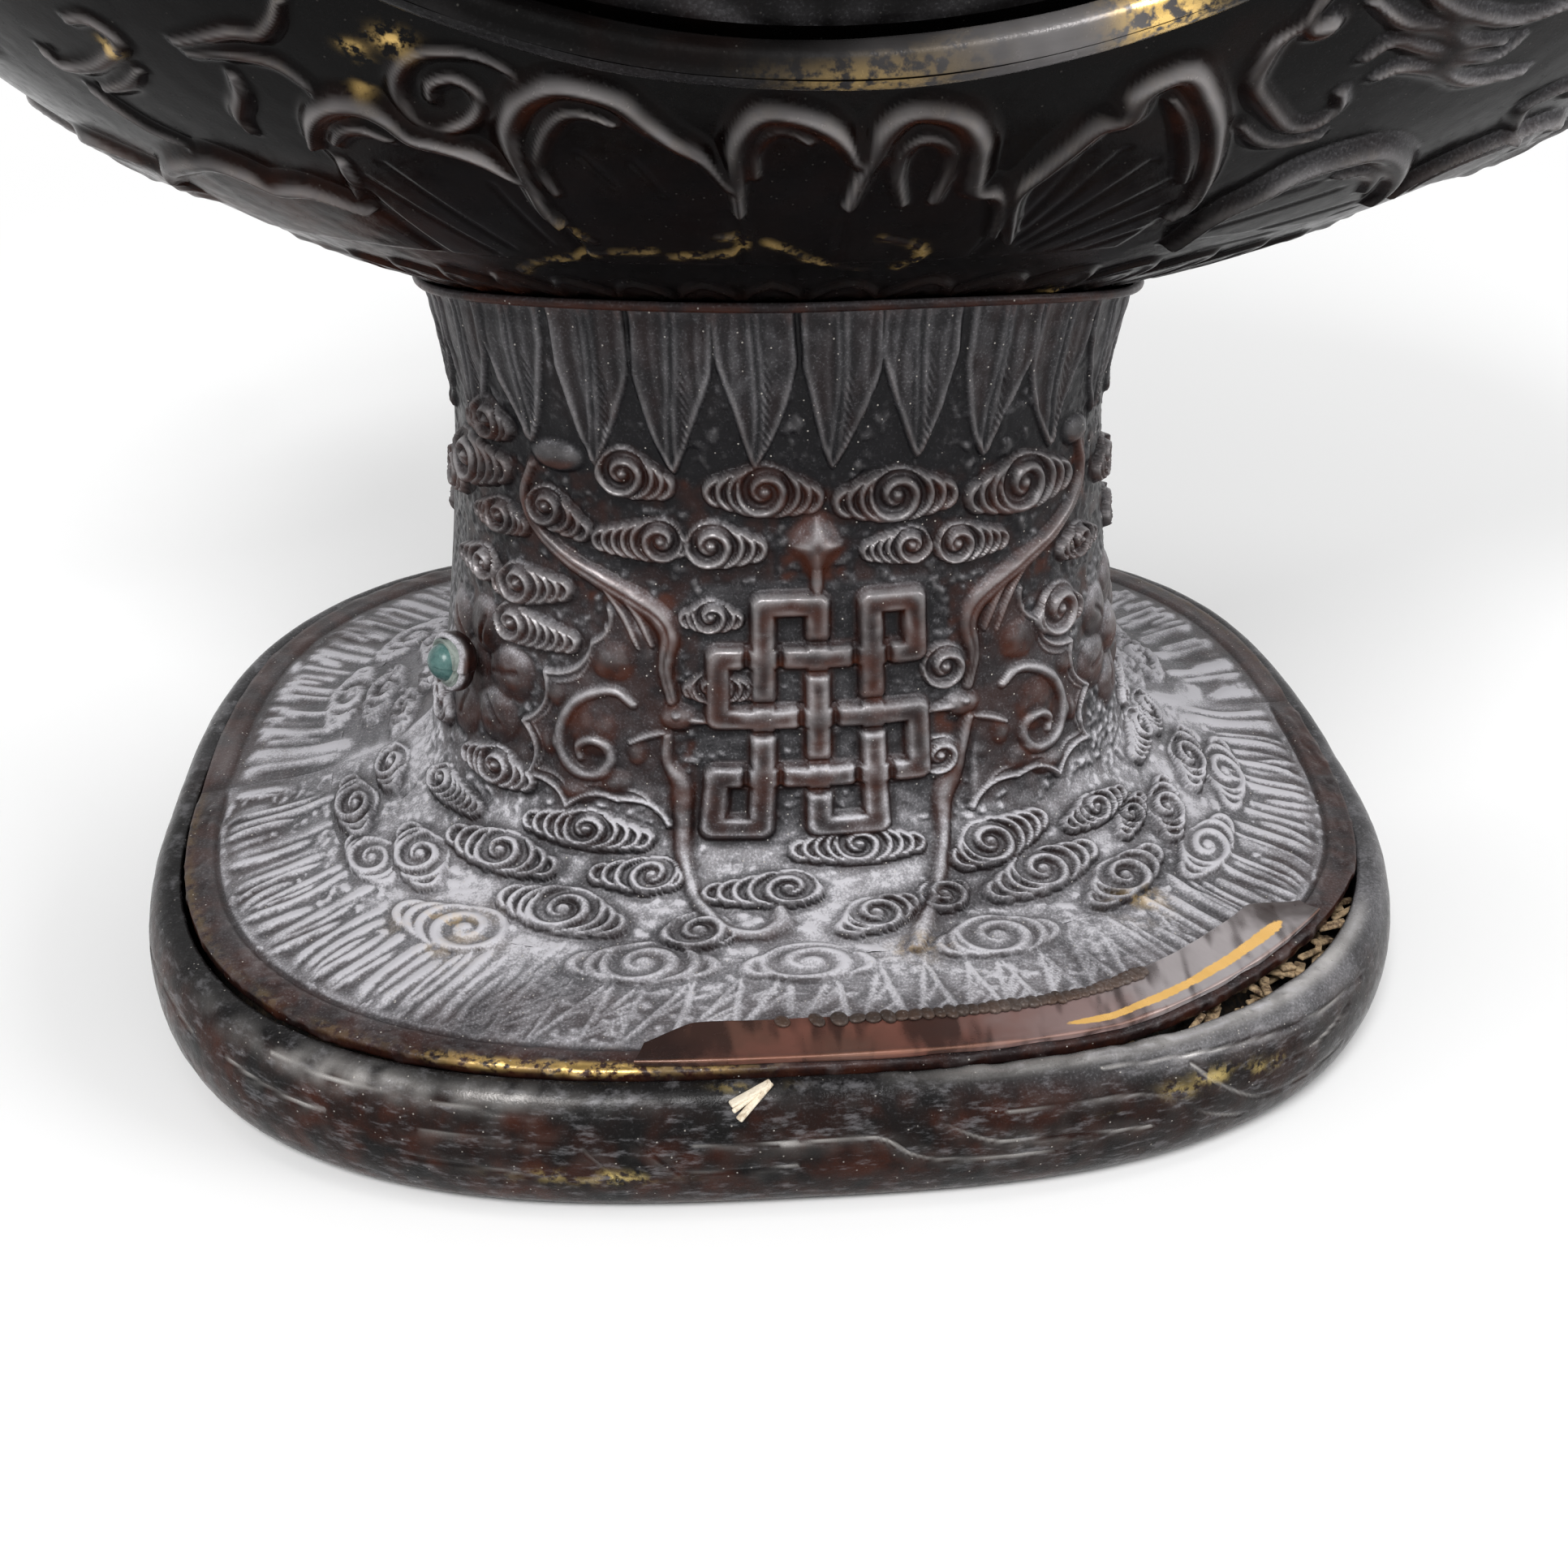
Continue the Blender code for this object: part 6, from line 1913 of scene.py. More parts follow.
@dataclass
class BodyPattern:
    """Chasing of one half of the body, in degrees of turn and of dip."""

    relief: Relief
    start: float
    covered: Callable[[float, float], bool]
    # Lobes of the lotus under the belly: turn and dip by turns along each outline, front half.
    LOBES = (
        (213, 50.8, 217, 48.6, 221.5, 47.3, 226.2, 46.4, 228.6, 47.2, 230, 48.4, 233.5, 48.4, 236.5, 50), (238.2,
        43.5, 239.8, 41.5, 241.8, 40.2, 243.8, 40, 245, 40.8, 245.8, 42.2, 247.5, 42.8, 249.5, 43.8, 251.2, 45.6),
        (252, 50, 251.5, 48.5, 251.8, 45.2, 252, 43, 252.5, 41, 253.8, 39.2, 255.5, 38.2, 257, 38.2, 259, 39, 260.2,
        40.5, 261.5, 42, 263.2, 43.5, 264.5, 46), (265, 48.8, 265, 46, 265.2, 43.2, 265.8, 41.2, 266.8, 40, 268.2, 40,
        270, 40.8, 271.2, 42.2, 272, 44), (272, 48.2, 272.4, 45.2, 272.8, 43.5, 273.2, 41.5, 274, 40.2, 275.2, 40,
        276.8, 40.8, 277.8, 42.5, 278.2, 44.5, 278.8, 46.8, 280.2, 47.2, 281, 48.8, 281.8, 52), (283.2, 52.8, 281.8,
        49, 281.5, 47, 282.2, 45.2, 283, 43.2, 283.8, 41.5, 285, 41, 285, 39.2, 285.8, 38.2, 286.8, 38, 288.2, 39.5,
        290.2, 42.2, 292.5, 46.2, 294, 49.5, 293.8, 51.2), (298.8, 56, 298, 51.8, 299.2, 49.5, 300, 47.5, 302, 46.5,
        304.8, 46.2, 308.8, 48, 312.5, 50.8, 314.2, 52.8),
    )
    # Finer lines in and between the lobes.
    LINES = (
        (240, 43.2, 241.5, 42, 243, 41.8, 244.2, 42.6), (239.2, 44.8, 238.2, 46.8, 236.5, 49.2), (253, 47, 252.9,
        44.5, 253.6, 42.8, 254.8, 41, 256, 40, 257.2, 40, 258.5, 40.8), (266.2, 45.2, 266.2, 42.8, 267, 41.4, 268.2,
        41.2, 269.5, 42.2), (275, 48.2, 274.2, 45.2, 274.2, 43, 275.2, 42, 276.6, 42.8, 277, 45, 276.8, 48), (286.6,
        39.6, 288.2, 41.4, 290, 44.2, 291.6, 47.2), (304.2, 48.4, 305.6, 48, 307.8, 48.8, 310, 50.8), (254.2, 37.8,
        252.5, 36.5, 250.8, 36.2, 248.8, 36.5, 247.2, 38, 246.5, 39.8, 246.8, 41.2, 248.2, 41.8, 250.2, 41, 251.4,
        39.4, 250.6, 38, 249, 38.4, 248.4, 39.6), (291.5, 33, 291.2, 35, 290.5, 36.2, 290.5, 37.8, 291, 39.5, 292.8,
        41.2, 295.2, 43, 297, 43, 297.5, 41.8, 296.6, 40.4), (292, 42.5, 293.8, 43.8, 295.8, 44.5, 298.4, 44.2), (298,
        39.5, 299, 38.8, 301.5, 39.2, 305.2, 40.5, 309, 40.2), (296.2, 38, 297, 36.8, 299.5, 37.5, 303, 38.5, 305,
        38.5, 305.5, 37.5), (294, 34, 296.5, 35.5, 299, 36, 301.8, 37.2, 304.5, 37.5), (295.8, 33, 298, 34.4, 300.5,
        35.4, 303.8, 36, 307, 35), (319, 46.8, 314.8, 44, 315.2, 42.8, 317, 42.2, 318.4, 43.4), (234.2, 36.5, 236.5,
        36, 238.8, 35.5, 240.5, 35.5, 242, 34.5, 243, 33.2), (234.5, 37.2, 237.2, 37, 239.5, 37.2, 240.5, 37.8, 241.2,
        39, 241.8, 39.8), (221.2, 38.2, 221.8, 39.2, 224.8, 39, 227.8, 38, 229.8, 36.8, 229, 35.4, 227, 35.6), (229.2,
        38.8, 226.8, 40, 223.5, 40.8), (236.5, 38.5, 235.8, 40, 234, 41.8, 233.5, 43.2), (221.8, 41, 222.2, 42.5,
        223.2, 44.2, 225.2, 45.2),
    )
    VEINS = (
        (283.2, 51.8, 284.2, 44), (284, 53, 286.2, 44), (284.8, 54, 288.5, 45.2), (285.8, 54.8, 291, 47.2), (287.5,
        55.8, 292.8, 50.2), (289.8, 56.2, 295.2, 51.5), (294, 53.8, 303.2, 49.2), (297, 55.8, 307, 50.5), (301.8,
        57.5, 312.6, 53), (306.8, 59.2, 318.5, 55.5), (255.8, 43.5, 257.2, 46.5), (258.8, 44, 260.2, 47.2), (242, 45,
        245.6, 54), (239.5, 46.5, 243.4, 55), (248.8, 46.5, 249.6, 53),
    )
    GOLD = (
        (242.2, 59, 247, 56.2, 250.5, 55, 254, 54, 257.8, 53.8), (258.8, 54.5, 261.8, 54.2, 264.2, 53.8, 265, 52.2,
        263, 51.8), (266.8, 52.5, 268.8, 53.8, 270.8, 55.5, 273, 57, 275, 57.5), (274.8, 52.2, 277, 53.2, 278, 54.8,
        277, 57.5), (252, 50, 252.4, 51.6, 253.4, 52.6), (243, 64.6, 256, 65.4, 270, 65.6, 284, 65.4, 298, 64.6),
    )
    # Petals of the flanks: middle, dip of the tip, half width.
    PETALS = ((190, 46, 7), (207, 47, 7), (322, 46, 7), (338, 47, 7), (353, 46, 6))

    def draw(self) -> Relief:
        """Draws the pattern of one half.

        Returns:
            The finished relief.
        """
        r = self.relief
        chance = np.random.default_rng(61)
        for row in range(9):
            for step in range(10):
                turn = self.start + 10 * (row % 2) + 20 * step + chance.uniform(-2, 2)
                at = (turn, 9.2 * row - 44 + chance.uniform(-0.8, 0.8))
                size, lean, eye = (chance.uniform(8.4, 10), 3.7), chance.uniform(-9, 9), chance.uniform(-0.5, 0.5)
                if not self.covered(*at):
                    r.cloud(at, size, lean, eye, 1.15, 0.75)
        r.tint *= 0.4
        for step in range(26):
            self.petal(183 + 7 * step, 60, 3.3, 67, 0.45)
        for middle, tip, half in self.PETALS:
            self.petal(middle, tip, half, 52.5, 1.2)
        for turn, dip, size in ((210, 36, 4), (325, 36, 4)):
            r.spiral((turn + self.start - 180, dip), size, 2.3, 1.2)
        for line in self.LOBES:
            edge = self.path(line)
            r.plate(np.vstack([edge, (edge[-1, 0], 56), (edge[0, 0], 56)]), 0.5, 0.4, 0.05)
        for line in self.VEINS:
            r.groove(self.path(line), 0.22, 0.22)
        for line in self.LINES:
            r.ridge(self.path(line), 0.85, 0.8, 0.1, over=True, swell=TAPER, fall=1.5)
        for line in self.LOBES:
            r.ridge(self.path(line), 1.3, 1.6, 0.1, swell=(0.5, 1, 1, 1, 0.5), fall=1.5)
        r.boss((292.2 + self.start - 180, 35.4), (1.1, 1.1), 1.3)
        for line in self.GOLD:
            r.ridge(self.path(line), 0.4, 0.3, 0.2, over=True, gilt=0.22, fall=1.5)
        for step in range(9):
            self.petal(190 + 20 * step, -52, 9, -76, 0.9)
        u, v = np.meshgrid(r.u, r.v)
        r.height = blur(r.height, 1, 1) + 0.01 * grain(r.height.shape, 3, 62) - 0.35
        r.height *= ease(0, 2, u - self.start) * ease(180, 178, u - self.start) * ease(-90, -86, v)
        return r

    def path(self, line: Line | Sequence[float]) -> Net:
        """A smooth line of the front's lists on this half."""
        return flowing(np.reshape(line, (-1, 2)) + (self.start - 180, 0), 5)

    def petal(self, middle: float, tip: float, half: float, base: float, rise: float) -> None:
        """A lotus petal with a double edge.

        Args:
            middle: Turn of its middle on the front half.
            tip: Dip of its tip.
            half: Half its width.
            base: Dip of its base.
            rise: Its height.
        """
        side = [(0.8, 0), (1, 0.32), (0.92, 0.6), (0.55, 0.85), (0, 1)]
        points = [(middle - half * w, base - (base - tip) * t) for w, t in side]
        edge = self.path(points + [(2 * middle - turn, dip) for turn, dip in points[-2::-1]])
        foot = (edge[0] + edge[-1]) / 2
        self.relief.plate(edge, rise * 0.6, 0.45, 0.2)
        self.relief.ridge(edge, 0.6, rise * 1.1, 0.4)
        self.relief.ridge(foot + (edge - foot) * 0.74, 0.4, rise * 0.3, 0.3, over=True)


@dataclass
class Body:
    """The bellied body in two halves, with a medallion on each."""

    form: BodyForm = field(default_factory=BodyForm)
    seam: float = 30.0
    low: float = 74.0
    medallion: Spot = (68, 54)
    medallion_height: float = 167.0
    wire: float = 1.8
    stand_off: float = 0.75
    # How far the clouds keep off a medallion, across and up.
    clearance: Spot = (12, 9)
    # On the moulding, turn and half width: gilding, worn gilding, and a painted highlight on bare metal.
    RING_SPOTS = ((291.8, 2.4), (272, 5), (284, 9))
    # Flecks of gilding: turn, dip and half width.
    FLECKS = ((247.9, 35.7, 0.9), (245.4, 36.2, 0.6), (245.7, 37.4, 0.5), (244.5, 38.9, 0.6), (228.6, 37.2, 0.6))

    def build(self) -> None:
        """Makes both halves and their medallions."""
        near = np.r_[np.arange(180, 215, 1), np.linspace(215, 325, 560), np.arange(326, 361, 1)]
        self.half("front", near, 0.19, 180, 0.52)
        self.half("back", np.linspace(0, 180, 340), 0.45, 0, 0.52)
        for name, way in (("front", 1), ("back", -1)):
            self.ring(name, way)
            self.field(name, way)

    def half(self, name: str, low_turns: Net, low_step: float, start: float, high_step: float) -> None:
        """Makes one half of the body, a lower and an upper part in two pieces each.

        Args:
            name: Which half.
            low_turns: Columns of the lower part.
            low_step: Degrees between its rows.
            start: Turn where the half starts.
            high_step: Degrees between columns and rows of the upper part.
        """
        lower = Relief(low_turns, np.arange(self.seam - SPARE_ROWS * low_step, self.low, low_step))
        rows = np.linspace(-90, self.seam, int((90 + self.seam) / high_step))
        rows = np.r_[rows, self.seam + high_step * np.arange(1, SPARE_ROWS + 1)]
        upper = Relief(np.linspace(start, start + 180, int(180 / high_step)), rows)
        for level, relief, kept in (("low", lower, slice(SPARE_ROWS, None)), ("high", upper, slice(0, -SPARE_ROWS))):
            sheet = self.pressed(relief, start)
            middle = len(relief.u) // 2
            for side, columns in (("left", slice(0, middle + 1)), ("right", slice(middle, None))):
                mesh = sheet.cut(f"body_{name}_{level}_{side}", kept, columns)
                settle(mesh, BODY_PATINA, f"body_{name}_shell")

    def pressed(self, relief: Relief, start: float) -> Sheet:
        """Presses the pattern out of the body.

        Args:
            relief: The net, still flat.
            start: Turn where the half starts.

        Returns:
            The sheet, with a little gilding on its lines, painted highlights on upper flanks and painted shade towards
            the underside.
        """
        sheet = Sheet.pressed(self.form.place, BodyPattern(relief, start, self.covered).draw(), -1, 0.3)
        turn, dip = np.meshgrid(relief.u + 180 - start, relief.v)
        crest, tint, dust, gilt = (sheet.marks[mark] for mark in Mark)
        # Painted highlight: crests are lit on their upper flanks only, and fade out towards the belly's underside as
        # painted shade.
        crest *= np.interp(dip, (40, 46, 52, 58), (1, 0.8, 0.3, 0.06)) * ease(-0.15, 0.3, sheet.lean)
        # Painted shade: less brown towards the belly's underside.
        tint *= np.interp(dip, (42, 48, 56), (1, 0.7, 0.25))
        tint += 0.5 * ease(246, 230, turn) * ease(44, 52, dip)
        # Dust on the right flank, heavier on upper flanks as a painted highlight.
        dusty = ease(286, 302, turn) * ease(54, 46, dip) * ease(30, 33, dip)
        dust[:] = 0.4 * dust + (0.15 + 0.5 * ease(0, 0.25, sheet.lean)) * dusty
        worn = unit(0.6 + 0.5 * grain(relief.height.shape, 4, 63))
        spots = sum(hump(np.hypot(turn - t, (dip - d) * 1.4), s) for t, d, s in self.FLECKS)
        gilt[:] = unit(worn * (1.4 * gilt + 0.8 * spots + 0.02 * crest))
        return sheet

    def covered(self, turn: float, dip: float) -> bool:
        """Whether a medallion or its edge covers a place.

        Args:
            turn: Turn of the place.
            dip: Its dip.

        Returns:
            True where it is covered.
        """
        x, _, z = self.form.place(np.array([turn]), np.array([dip]))[0]
        wide, tall = (half + room for half, room in zip(self.medallion, self.clearance))
        return math.hypot((x - self.form.centre) / wide, (z - self.medallion_height) / tall) < 1

    def lifted(self, x: Net, z: Net, way: float, lift: float) -> Net:
        """Points over the body, lifted off it.

        Args:
            x: Places across.
            z: Heights.
            way: 1 for the front, -1 for the back.
            lift: How far.

        Returns:
            The points in millimetres.
        """
        points = self.form.front(x, z)
        out = facing(points)
        out *= np.where(out[..., 1:2] > 0, -1, 1)
        points = points + out * lift
        points[..., 1] *= way
        return points

    def ring(self, name: str, way: float) -> None:
        """Makes the round moulding of a medallion.

        Args:
            name: Which half.
            way: 1 for the front, -1 for the back.
        """
        turn = np.linspace(0, 2 * math.pi, 361)
        wide, tall = self.medallion
        shares = np.array([-0.002, 0, 0.002])[:, None]
        x = self.form.centre + wide * (1 + shares) * np.cos(turn)
        z = self.medallion_height + tall * (1 + shares) * np.sin(turn)
        line = self.lifted(x, z, 1, self.wire + 0.3)[1]
        out = line - self.lifted(x, z, 1, 0)[1]
        out /= np.linalg.norm(out, axis=1, keepdims=True)
        side = np.cross(np.gradient(line, axis=0), out)
        side /= np.linalg.norm(side, axis=1, keepdims=True)
        relief = Relief(np.degrees(turn), np.linspace(0, 360, 25))
        section = np.radians(relief.v)[:, None, None]
        points = line + self.wire * (np.cos(section) * out + np.sin(section) * side)
        points[..., 1] *= way
        relief.height += 0.05 * np.c_[grain((25, 360), 4, 71), np.zeros(25)] - 0.06
        sheet = Sheet.pressed(lambda u, v: points, relief, way)
        worn = unit(0.3 + 0.6 * grain(relief.height.shape, 6, 72))
        gilded, rubbed, bare = (hump(relief.u - at, half)[None, :] for at, half in self.RING_SPOTS)
        sheet.marks[GILT] = unit(1.4 * gilded + 0.35 * worn * rubbed)
        # Painted highlight along the moulding, on bare metal.
        sheet.marks[CREST] += 0.75 * bare
        sheet.marks[DUST] *= 0.3
        settle(sheet.cut(f"medallion_ring_{name}", closed=True), BODY_PATINA, f"{name}_medallion_ring")

    def field(self, name: str, way: float) -> None:
        """Makes the field inside a moulding: a lotus of three rows of petals.

        Args:
            name: Which half.
            way: 1 for the front, -1 for the back.
        """
        relief = Relief(np.linspace(0, 360, 301), np.linspace(0.02, 1, 92))
        turn, share = np.meshgrid(np.radians(relief.u), relief.v)
        for petals, reach, rise, phase in ((16, 0.86, 0.4, 0), (8, 0.62, 0.6, 0.2), (8, 0.36, 0.75, 0.6)):
            within_petal = np.abs(np.sin((turn + phase) * petals / 2))
            room = reach * (1 - 0.28 * within_petal**1.6) - share
            made = rise * ease(-0.01, 0.03, room) * (0.7 + 0.3 * hump(room - 0.04, 0.025))
            relief.height = np.where(room > -0.01, made - 0.12 * hump(within_petal, 0.1), relief.height)
        across, above = share * np.cos(turn) * self.medallion[0], (share * np.sin(turn) + 1) * self.medallion[1]
        fan = np.abs(np.sin(6 * np.arctan2(above + 4, across * 0.6))) ** 3
        relief.height += 0.3 * hump(share - 0.93, 0.02) + 0.3 * fan * ease(1, 5, above) * ease(30, 16, above)
        relief.height = np.clip(relief.height, 0, 0.8)

        def place(u: Net, v: Net) -> Net:
            """Points of the field.

            Args:
                u: Degrees round.
                v: Share of the way out.

            Returns:
                The points in millimetres.
            """
            wide, tall = (half - self.wire - 0.3 for half in self.medallion)
            x = self.form.centre + wide * v * np.cos(np.radians(u))
            return self.lifted(x, self.medallion_height + tall * v * np.sin(np.radians(u)), way, self.stand_off)

        sheet = Sheet.pressed(place, relief, way)
        sheet.marks[GILT] = 0.5 * sheet.marks[CREST]
        sheet.marks[DUST] *= 0.2 + 0.5 * fan
        settle(sheet.cut(f"medallion_field_{name}"), BODY_PATINA, f"{name}_medallion_plate")


@dataclass
class Turned:
    """A turned piece, plain or chased with a row of petals."""

    name: str
    profile: Line
    finish: Finish
    node: str
    petals: int = 0
    petal_from: float = 0.0
    petal_to: float = 1.0
    rise: float = 0.5
    centre: Spot = (1.8, 0)
    steps: int = 6
    step: float = 0.6
    rider: Rider = Rider.EWER

    def build(self) -> None:
        """Makes the piece."""
        form = TurnedForm(self.profile, self.centre, self.steps)
        length = form.length()
        wide = max(radius for radius, _ in self.profile)
        columns = int(np.clip(2 * math.pi * wide / self.step, 48, 320))
        rows = max(int(length / self.step), 24)
        relief = Relief(np.linspace(0, 360, columns + 1), np.linspace(0, length, rows))
        if self.petals:
            self.chase(relief, length)
        spots = grain((len(relief.v), columns), 3, len(self.name))
        relief.height += 0.02 * np.c_[spots, spots[:, :1]] - 0.07
        sheet = Sheet.pressed(form.place, relief, 1, 0.15)
        sheet.marks[TINT] += 0.25
        sheet.marks[GILT] = 0.5 * sheet.marks[CREST]
        settle(sheet.cut(self.name, closed=True), self.finish, self.node, rider=self.rider)

    def chase(self, relief: Relief, length: float) -> None:
        """Chases the row of petals, sunk so that the outline holds.

        Args:
            relief: Heights over the piece.
            length: Run of its profile.
        """
        turn, along = np.meshgrid(relief.u, relief.v / length)
        share = unit((along - self.petal_from) / (self.petal_to - self.petal_from))
        inside = (along > self.petal_from) & (along < self.petal_to)
        pitch = 360 / self.petals
        across = np.abs((turn / pitch) % 1 - 0.5) * 2
        room = (1 - share**2.2) ** 0.8 - across
        leaf = ease(-0.03, 0.12, room) * (0.75 + 0.25 * hump(room - 0.16, 0.08)) - 0.3 * hump(across, 0.07)
        relief.height += self.rise * np.where(inside, leaf - 1, 0) * ease(0, 0.05, share)


@dataclass
class Neck:
    """The neck with its collar and the flange of its mouth."""

    bottom: float = 247.8
    top: float = 305.8
    wall: float = 1.2
    bore_depth: float = 45.0

    def build(self) -> None:
        """Makes the three turned pieces."""
        outer = [(20.5, self.bottom), (20.5, 253.1), (18.75, 259.15), (17.8, 265.5), (17.8, 277.1), (18.92, 286.45)]
        outer = flowing([*outer, (21, 295.8), (21, self.top - 0.2)], 10)
        inside = outer[::-1] - np.array([self.wall, 0])
        inside = inside[inside[:, 1] > self.top - self.bore_depth]
        rim = [(20.85, self.top), (19.95, self.top)]
        line = [tuple(p) for p in (*outer, *rim, *inside)]
        Turned("neck", line, BODY_PATINA, "neck_tube", 12, 0.34, 0.47, 0.4, steps=1, step=0.8).build()
        ring = [(20.85, 241), (26.7, 241), (26.75, 250), (26.6, 253.2), (25.9, 255.3), (23.8, 257.4)]
        ring.append((20.85, 258.2))
        Turned("neck_petal_collar", ring, BODY_PATINA, "neck_collar", 16, 0.25, 0.95, 0.5).build()
        flange = [(21.3, 299.8), (24.18, 299.85), (26, 301.9), (26.05, 304.9), (25.38, 305.75), (23, self.top)]
        flange.append((21.3, self.top))
        Turned("mouth_moulding", flange, WORN_GILT, "mouth_flange", 36, 0.4, 0.7, 0.3).build()


@dataclass
class Lid:
    """The domed lid with its finial and bead."""

    bottom: float = 306.1
    brim: float = 26.1
    brim_top: float = 307.3
    dome_half: float = 17.6
    land: float = 8.7
    dome_rise: float = 23.0
    bead: float = 4.2
    bead_height: float = 359.1

    def build(self) -> None:
        """Makes the dome, the finial and the bead."""
        t = np.linspace(0, math.pi / 2, 24)
        across = self.land + (self.dome_half - self.land) * np.cos(t)
        arc = np.stack([across, self.brim_top + self.dome_rise * np.sin(t)], 1)
        line = [(6, self.bottom), (self.brim - 0.3, self.bottom), (self.brim, self.bottom + 0.4)]
        line += [(self.brim, self.brim_top - 0.3), (self.brim - 0.3, self.brim_top)]
        line.append((self.dome_half + 0.6, self.brim_top))
        line += [tuple(p) for p in arc] + [(5, self.brim_top + self.dome_rise)]
        lotus = Turned("lid_lotus", line, BODY_PATINA, "lid_dome", 12, 0.52, 0.9, steps=1, step=0.62, rider=Rider.LID)
        lotus.build()
        knob = [(3, 330.7), (7.4, 330.7), (7.4, 333.5), (3.75, 337.8), (6.35, 342.1), (6.35, 345), (3, 349.3)]
        knob += [(4.05, 354.5), (1, 354.55)]
        Turned("finial_knob", knob, WORN_GILT, "lid_finial", 10, 0.35, 0.6, 0.3, step=0.35, rider=Rider.LID).build()
        turn = np.radians(np.linspace(-90, 90, 26))
        ball = [(self.bead * math.cos(a), self.bead_height + self.bead * math.sin(a)) for a in turn]
        Turned("finial_turquoise", ball, TURQUOISE, "finial_bead", step=0.35, rider=Rider.LID).build()


@dataclass
class Mask:
    """An animal mask on the body, with eyes, brows and locks of hair."""

    name: str
    node: str
    form: BossForm
    last: float = 105.0

    def build(self) -> None:
        """Makes the mask; its net is in degrees round the nose and back from it."""
        relief = Relief(np.linspace(0, 360, 241), np.linspace(2, self.last, 130))
        for side in (-1, 1):
            eye = (90 + side * 44, 46)
            relief.boss(eye, (13, 8.5), 1.4, 0.3)
            relief.boss(eye, (6, 4), 2.6, 0.6)
            brow = [(90 + side * 14, 40), (90 + side * 30, 56), (90 + side * 52, 60), (90 + side * 72, 50)]
            relief.ridge(flowing(brow), 5, 1.8, 0.5, swell=TAPER)
            relief.spiral((90 + side * 104, 42), 15, 2, 1.4, int(side))
            for step in range(9):
                turn = 90 + side * (12 + 17 * step)
                lock = [(turn, 66), (turn + side * 7, 74), (turn + side * 2, 84), (turn + side * 9, 98)]
                relief.ridge(flowing(lock), 4.6, 1.5, 0.4, swell=TAPER)
        for step in range(10):
            relief.ridge(np.array([(36 * step + 8, 10), (36 * step + 14, 27)]), 5, 1, 0.4, swell=TAPER)
        relief.height -= 1.2
        relief.height[:, -1] = relief.height[:, 0]
        sheet = Sheet.pressed(self.form.place, relief, 1, 0.3)
        sheet.marks[GILT] = 0.4 * sheet.marks[CREST]
        settle(sheet.cut(self.name, closed=True), BODY_PATINA, self.node)


@dataclass
class Bent:
    """A bent tube, fluted and banded: the spout's tube or the handle's bow."""

    name: str
    node: str
    bends: Line
    radii: Callable[[Net], Net]
    squash: float = 1.0
    flutes: int = 8
    bands: int = 6

    def build(self) -> None:
        """Makes the tube."""
        form = TubeForm(self.bends, self.radii, self.squash)
        length = form.length()
        relief = Relief(np.linspace(0, 360, 121), np.linspace(0, length, int(length / 0.95)))
        turn, along = np.meshgrid(np.radians(relief.u), relief.v / length)
        scales = np.abs(np.sin(turn * self.flutes / 2 + along * self.bands * 5))
        relief.height += 0.4 * scales**0.6 - 0.8
        for step in range(1, self.bands):
            relief.height += 0.35 * hump(along - step / self.bands, 0.012)
        sheet = Sheet.pressed(form.place, relief, 1, 0.15)
        sheet.marks[GILT] = 0.35 * sheet.marks[CREST]
        settle(sheet.cut(self.name, closed=True), BODY_PATINA, self.node)


@dataclass
class Spout:
    """The spout: a mask on the body, a tube out of its mouth and a lip at the tip."""

    start: Spot = (143, 140.2)
    tip: Spot = (191, 282)
    wide: float = 14.0
    narrow: float = 7.0

    def build(self) -> None:
        """Makes the mask and the tube."""
        Mask("spout_beast", "spout_mask", BossForm((117.8, 0, 132), (34, 27, 30))).build()
        (x, z), (tx, tz) = self.start, self.tip
        shares = ((0, 0), (0.38, 0.15), (0.56, 0.42), (0.66, 0.72), (1, 1))
        bends = [(x + (tx - x) * a, z + (tz - z) * b) for a, b in shares]
        Bent("spout_pipe", "spout_tube", bends, self.taper, 1, 10, 7).build()

    def taper(self, along: Net) -> Net:
        """Radius of the tube at a share of its run."""
        return self.wide + (self.narrow - self.wide) * along**0.75


@dataclass
class Handle:
    """The handle: a mask on the body, a bow and a clasp round the neck."""

    bends: Line = ((-118.5, 142), (-149.3, 154.9), (-160.5, 196.3), (-138, 253.2), (-88.3, 277.8), (-20.6, 271.3))
    half_width: float = 6.5
    half_thick: float = 4.5

    def build(self) -> None:
        """Makes the mask, the bow and the clasp."""
        Mask("handle_beast", "handle_mask", BossForm((-99.7, 0, 142), (24, 17, 22), -1)).build()
        squash = self.half_thick / self.half_width
        Bent("handle_dragon", "handle_bow", self.bends, self.taper, squash, 8, 9).build()
        ring = [(18.1, 265.8), (19.8, 265.8), (20.1, 266.4), (20.1, 268.5), (19.7, 271.3), (20.1, 274.1), (20.1, 276.2)]
        ring += [(19.8, 276.8), (18.1, 276.8)]
        Turned("handle_band", ring, WORN_GILT, "handle_clasp", step=0.4).build()

    def taper(self, along: Net) -> Net:
        """Half-width of the bow at a share of its run."""
        return self.half_width * (1 - 0.22 * np.abs(2 * along - 1) ** 2)


@dataclass
class Kept:
    """Solids of the frame that are shown as they are, in their finishes."""

    finishes: dict[str, Finish] = field(default_factory=lambda: {
        "base_plate": BASE_PATINA, "foot_packing": PACKED_STRAW, "hinge_seat": BODY_PATINA, "hinge_pin": PIN_PATINA,
        "lid_hinge_strap": BODY_PATINA, "lid_plug": BODY_PATINA, "finial_washer": WORN_GILT, "spout_lip": WORN_GILT,
    })

    def dress(self) -> None:
        """Puts each solid in its finish."""
        for name, finish in self.finishes.items():
            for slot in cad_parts[name].material_slots:
                slot.material = finish.material()
            LOG.info("%s: kept, in %s", name, finish.name)


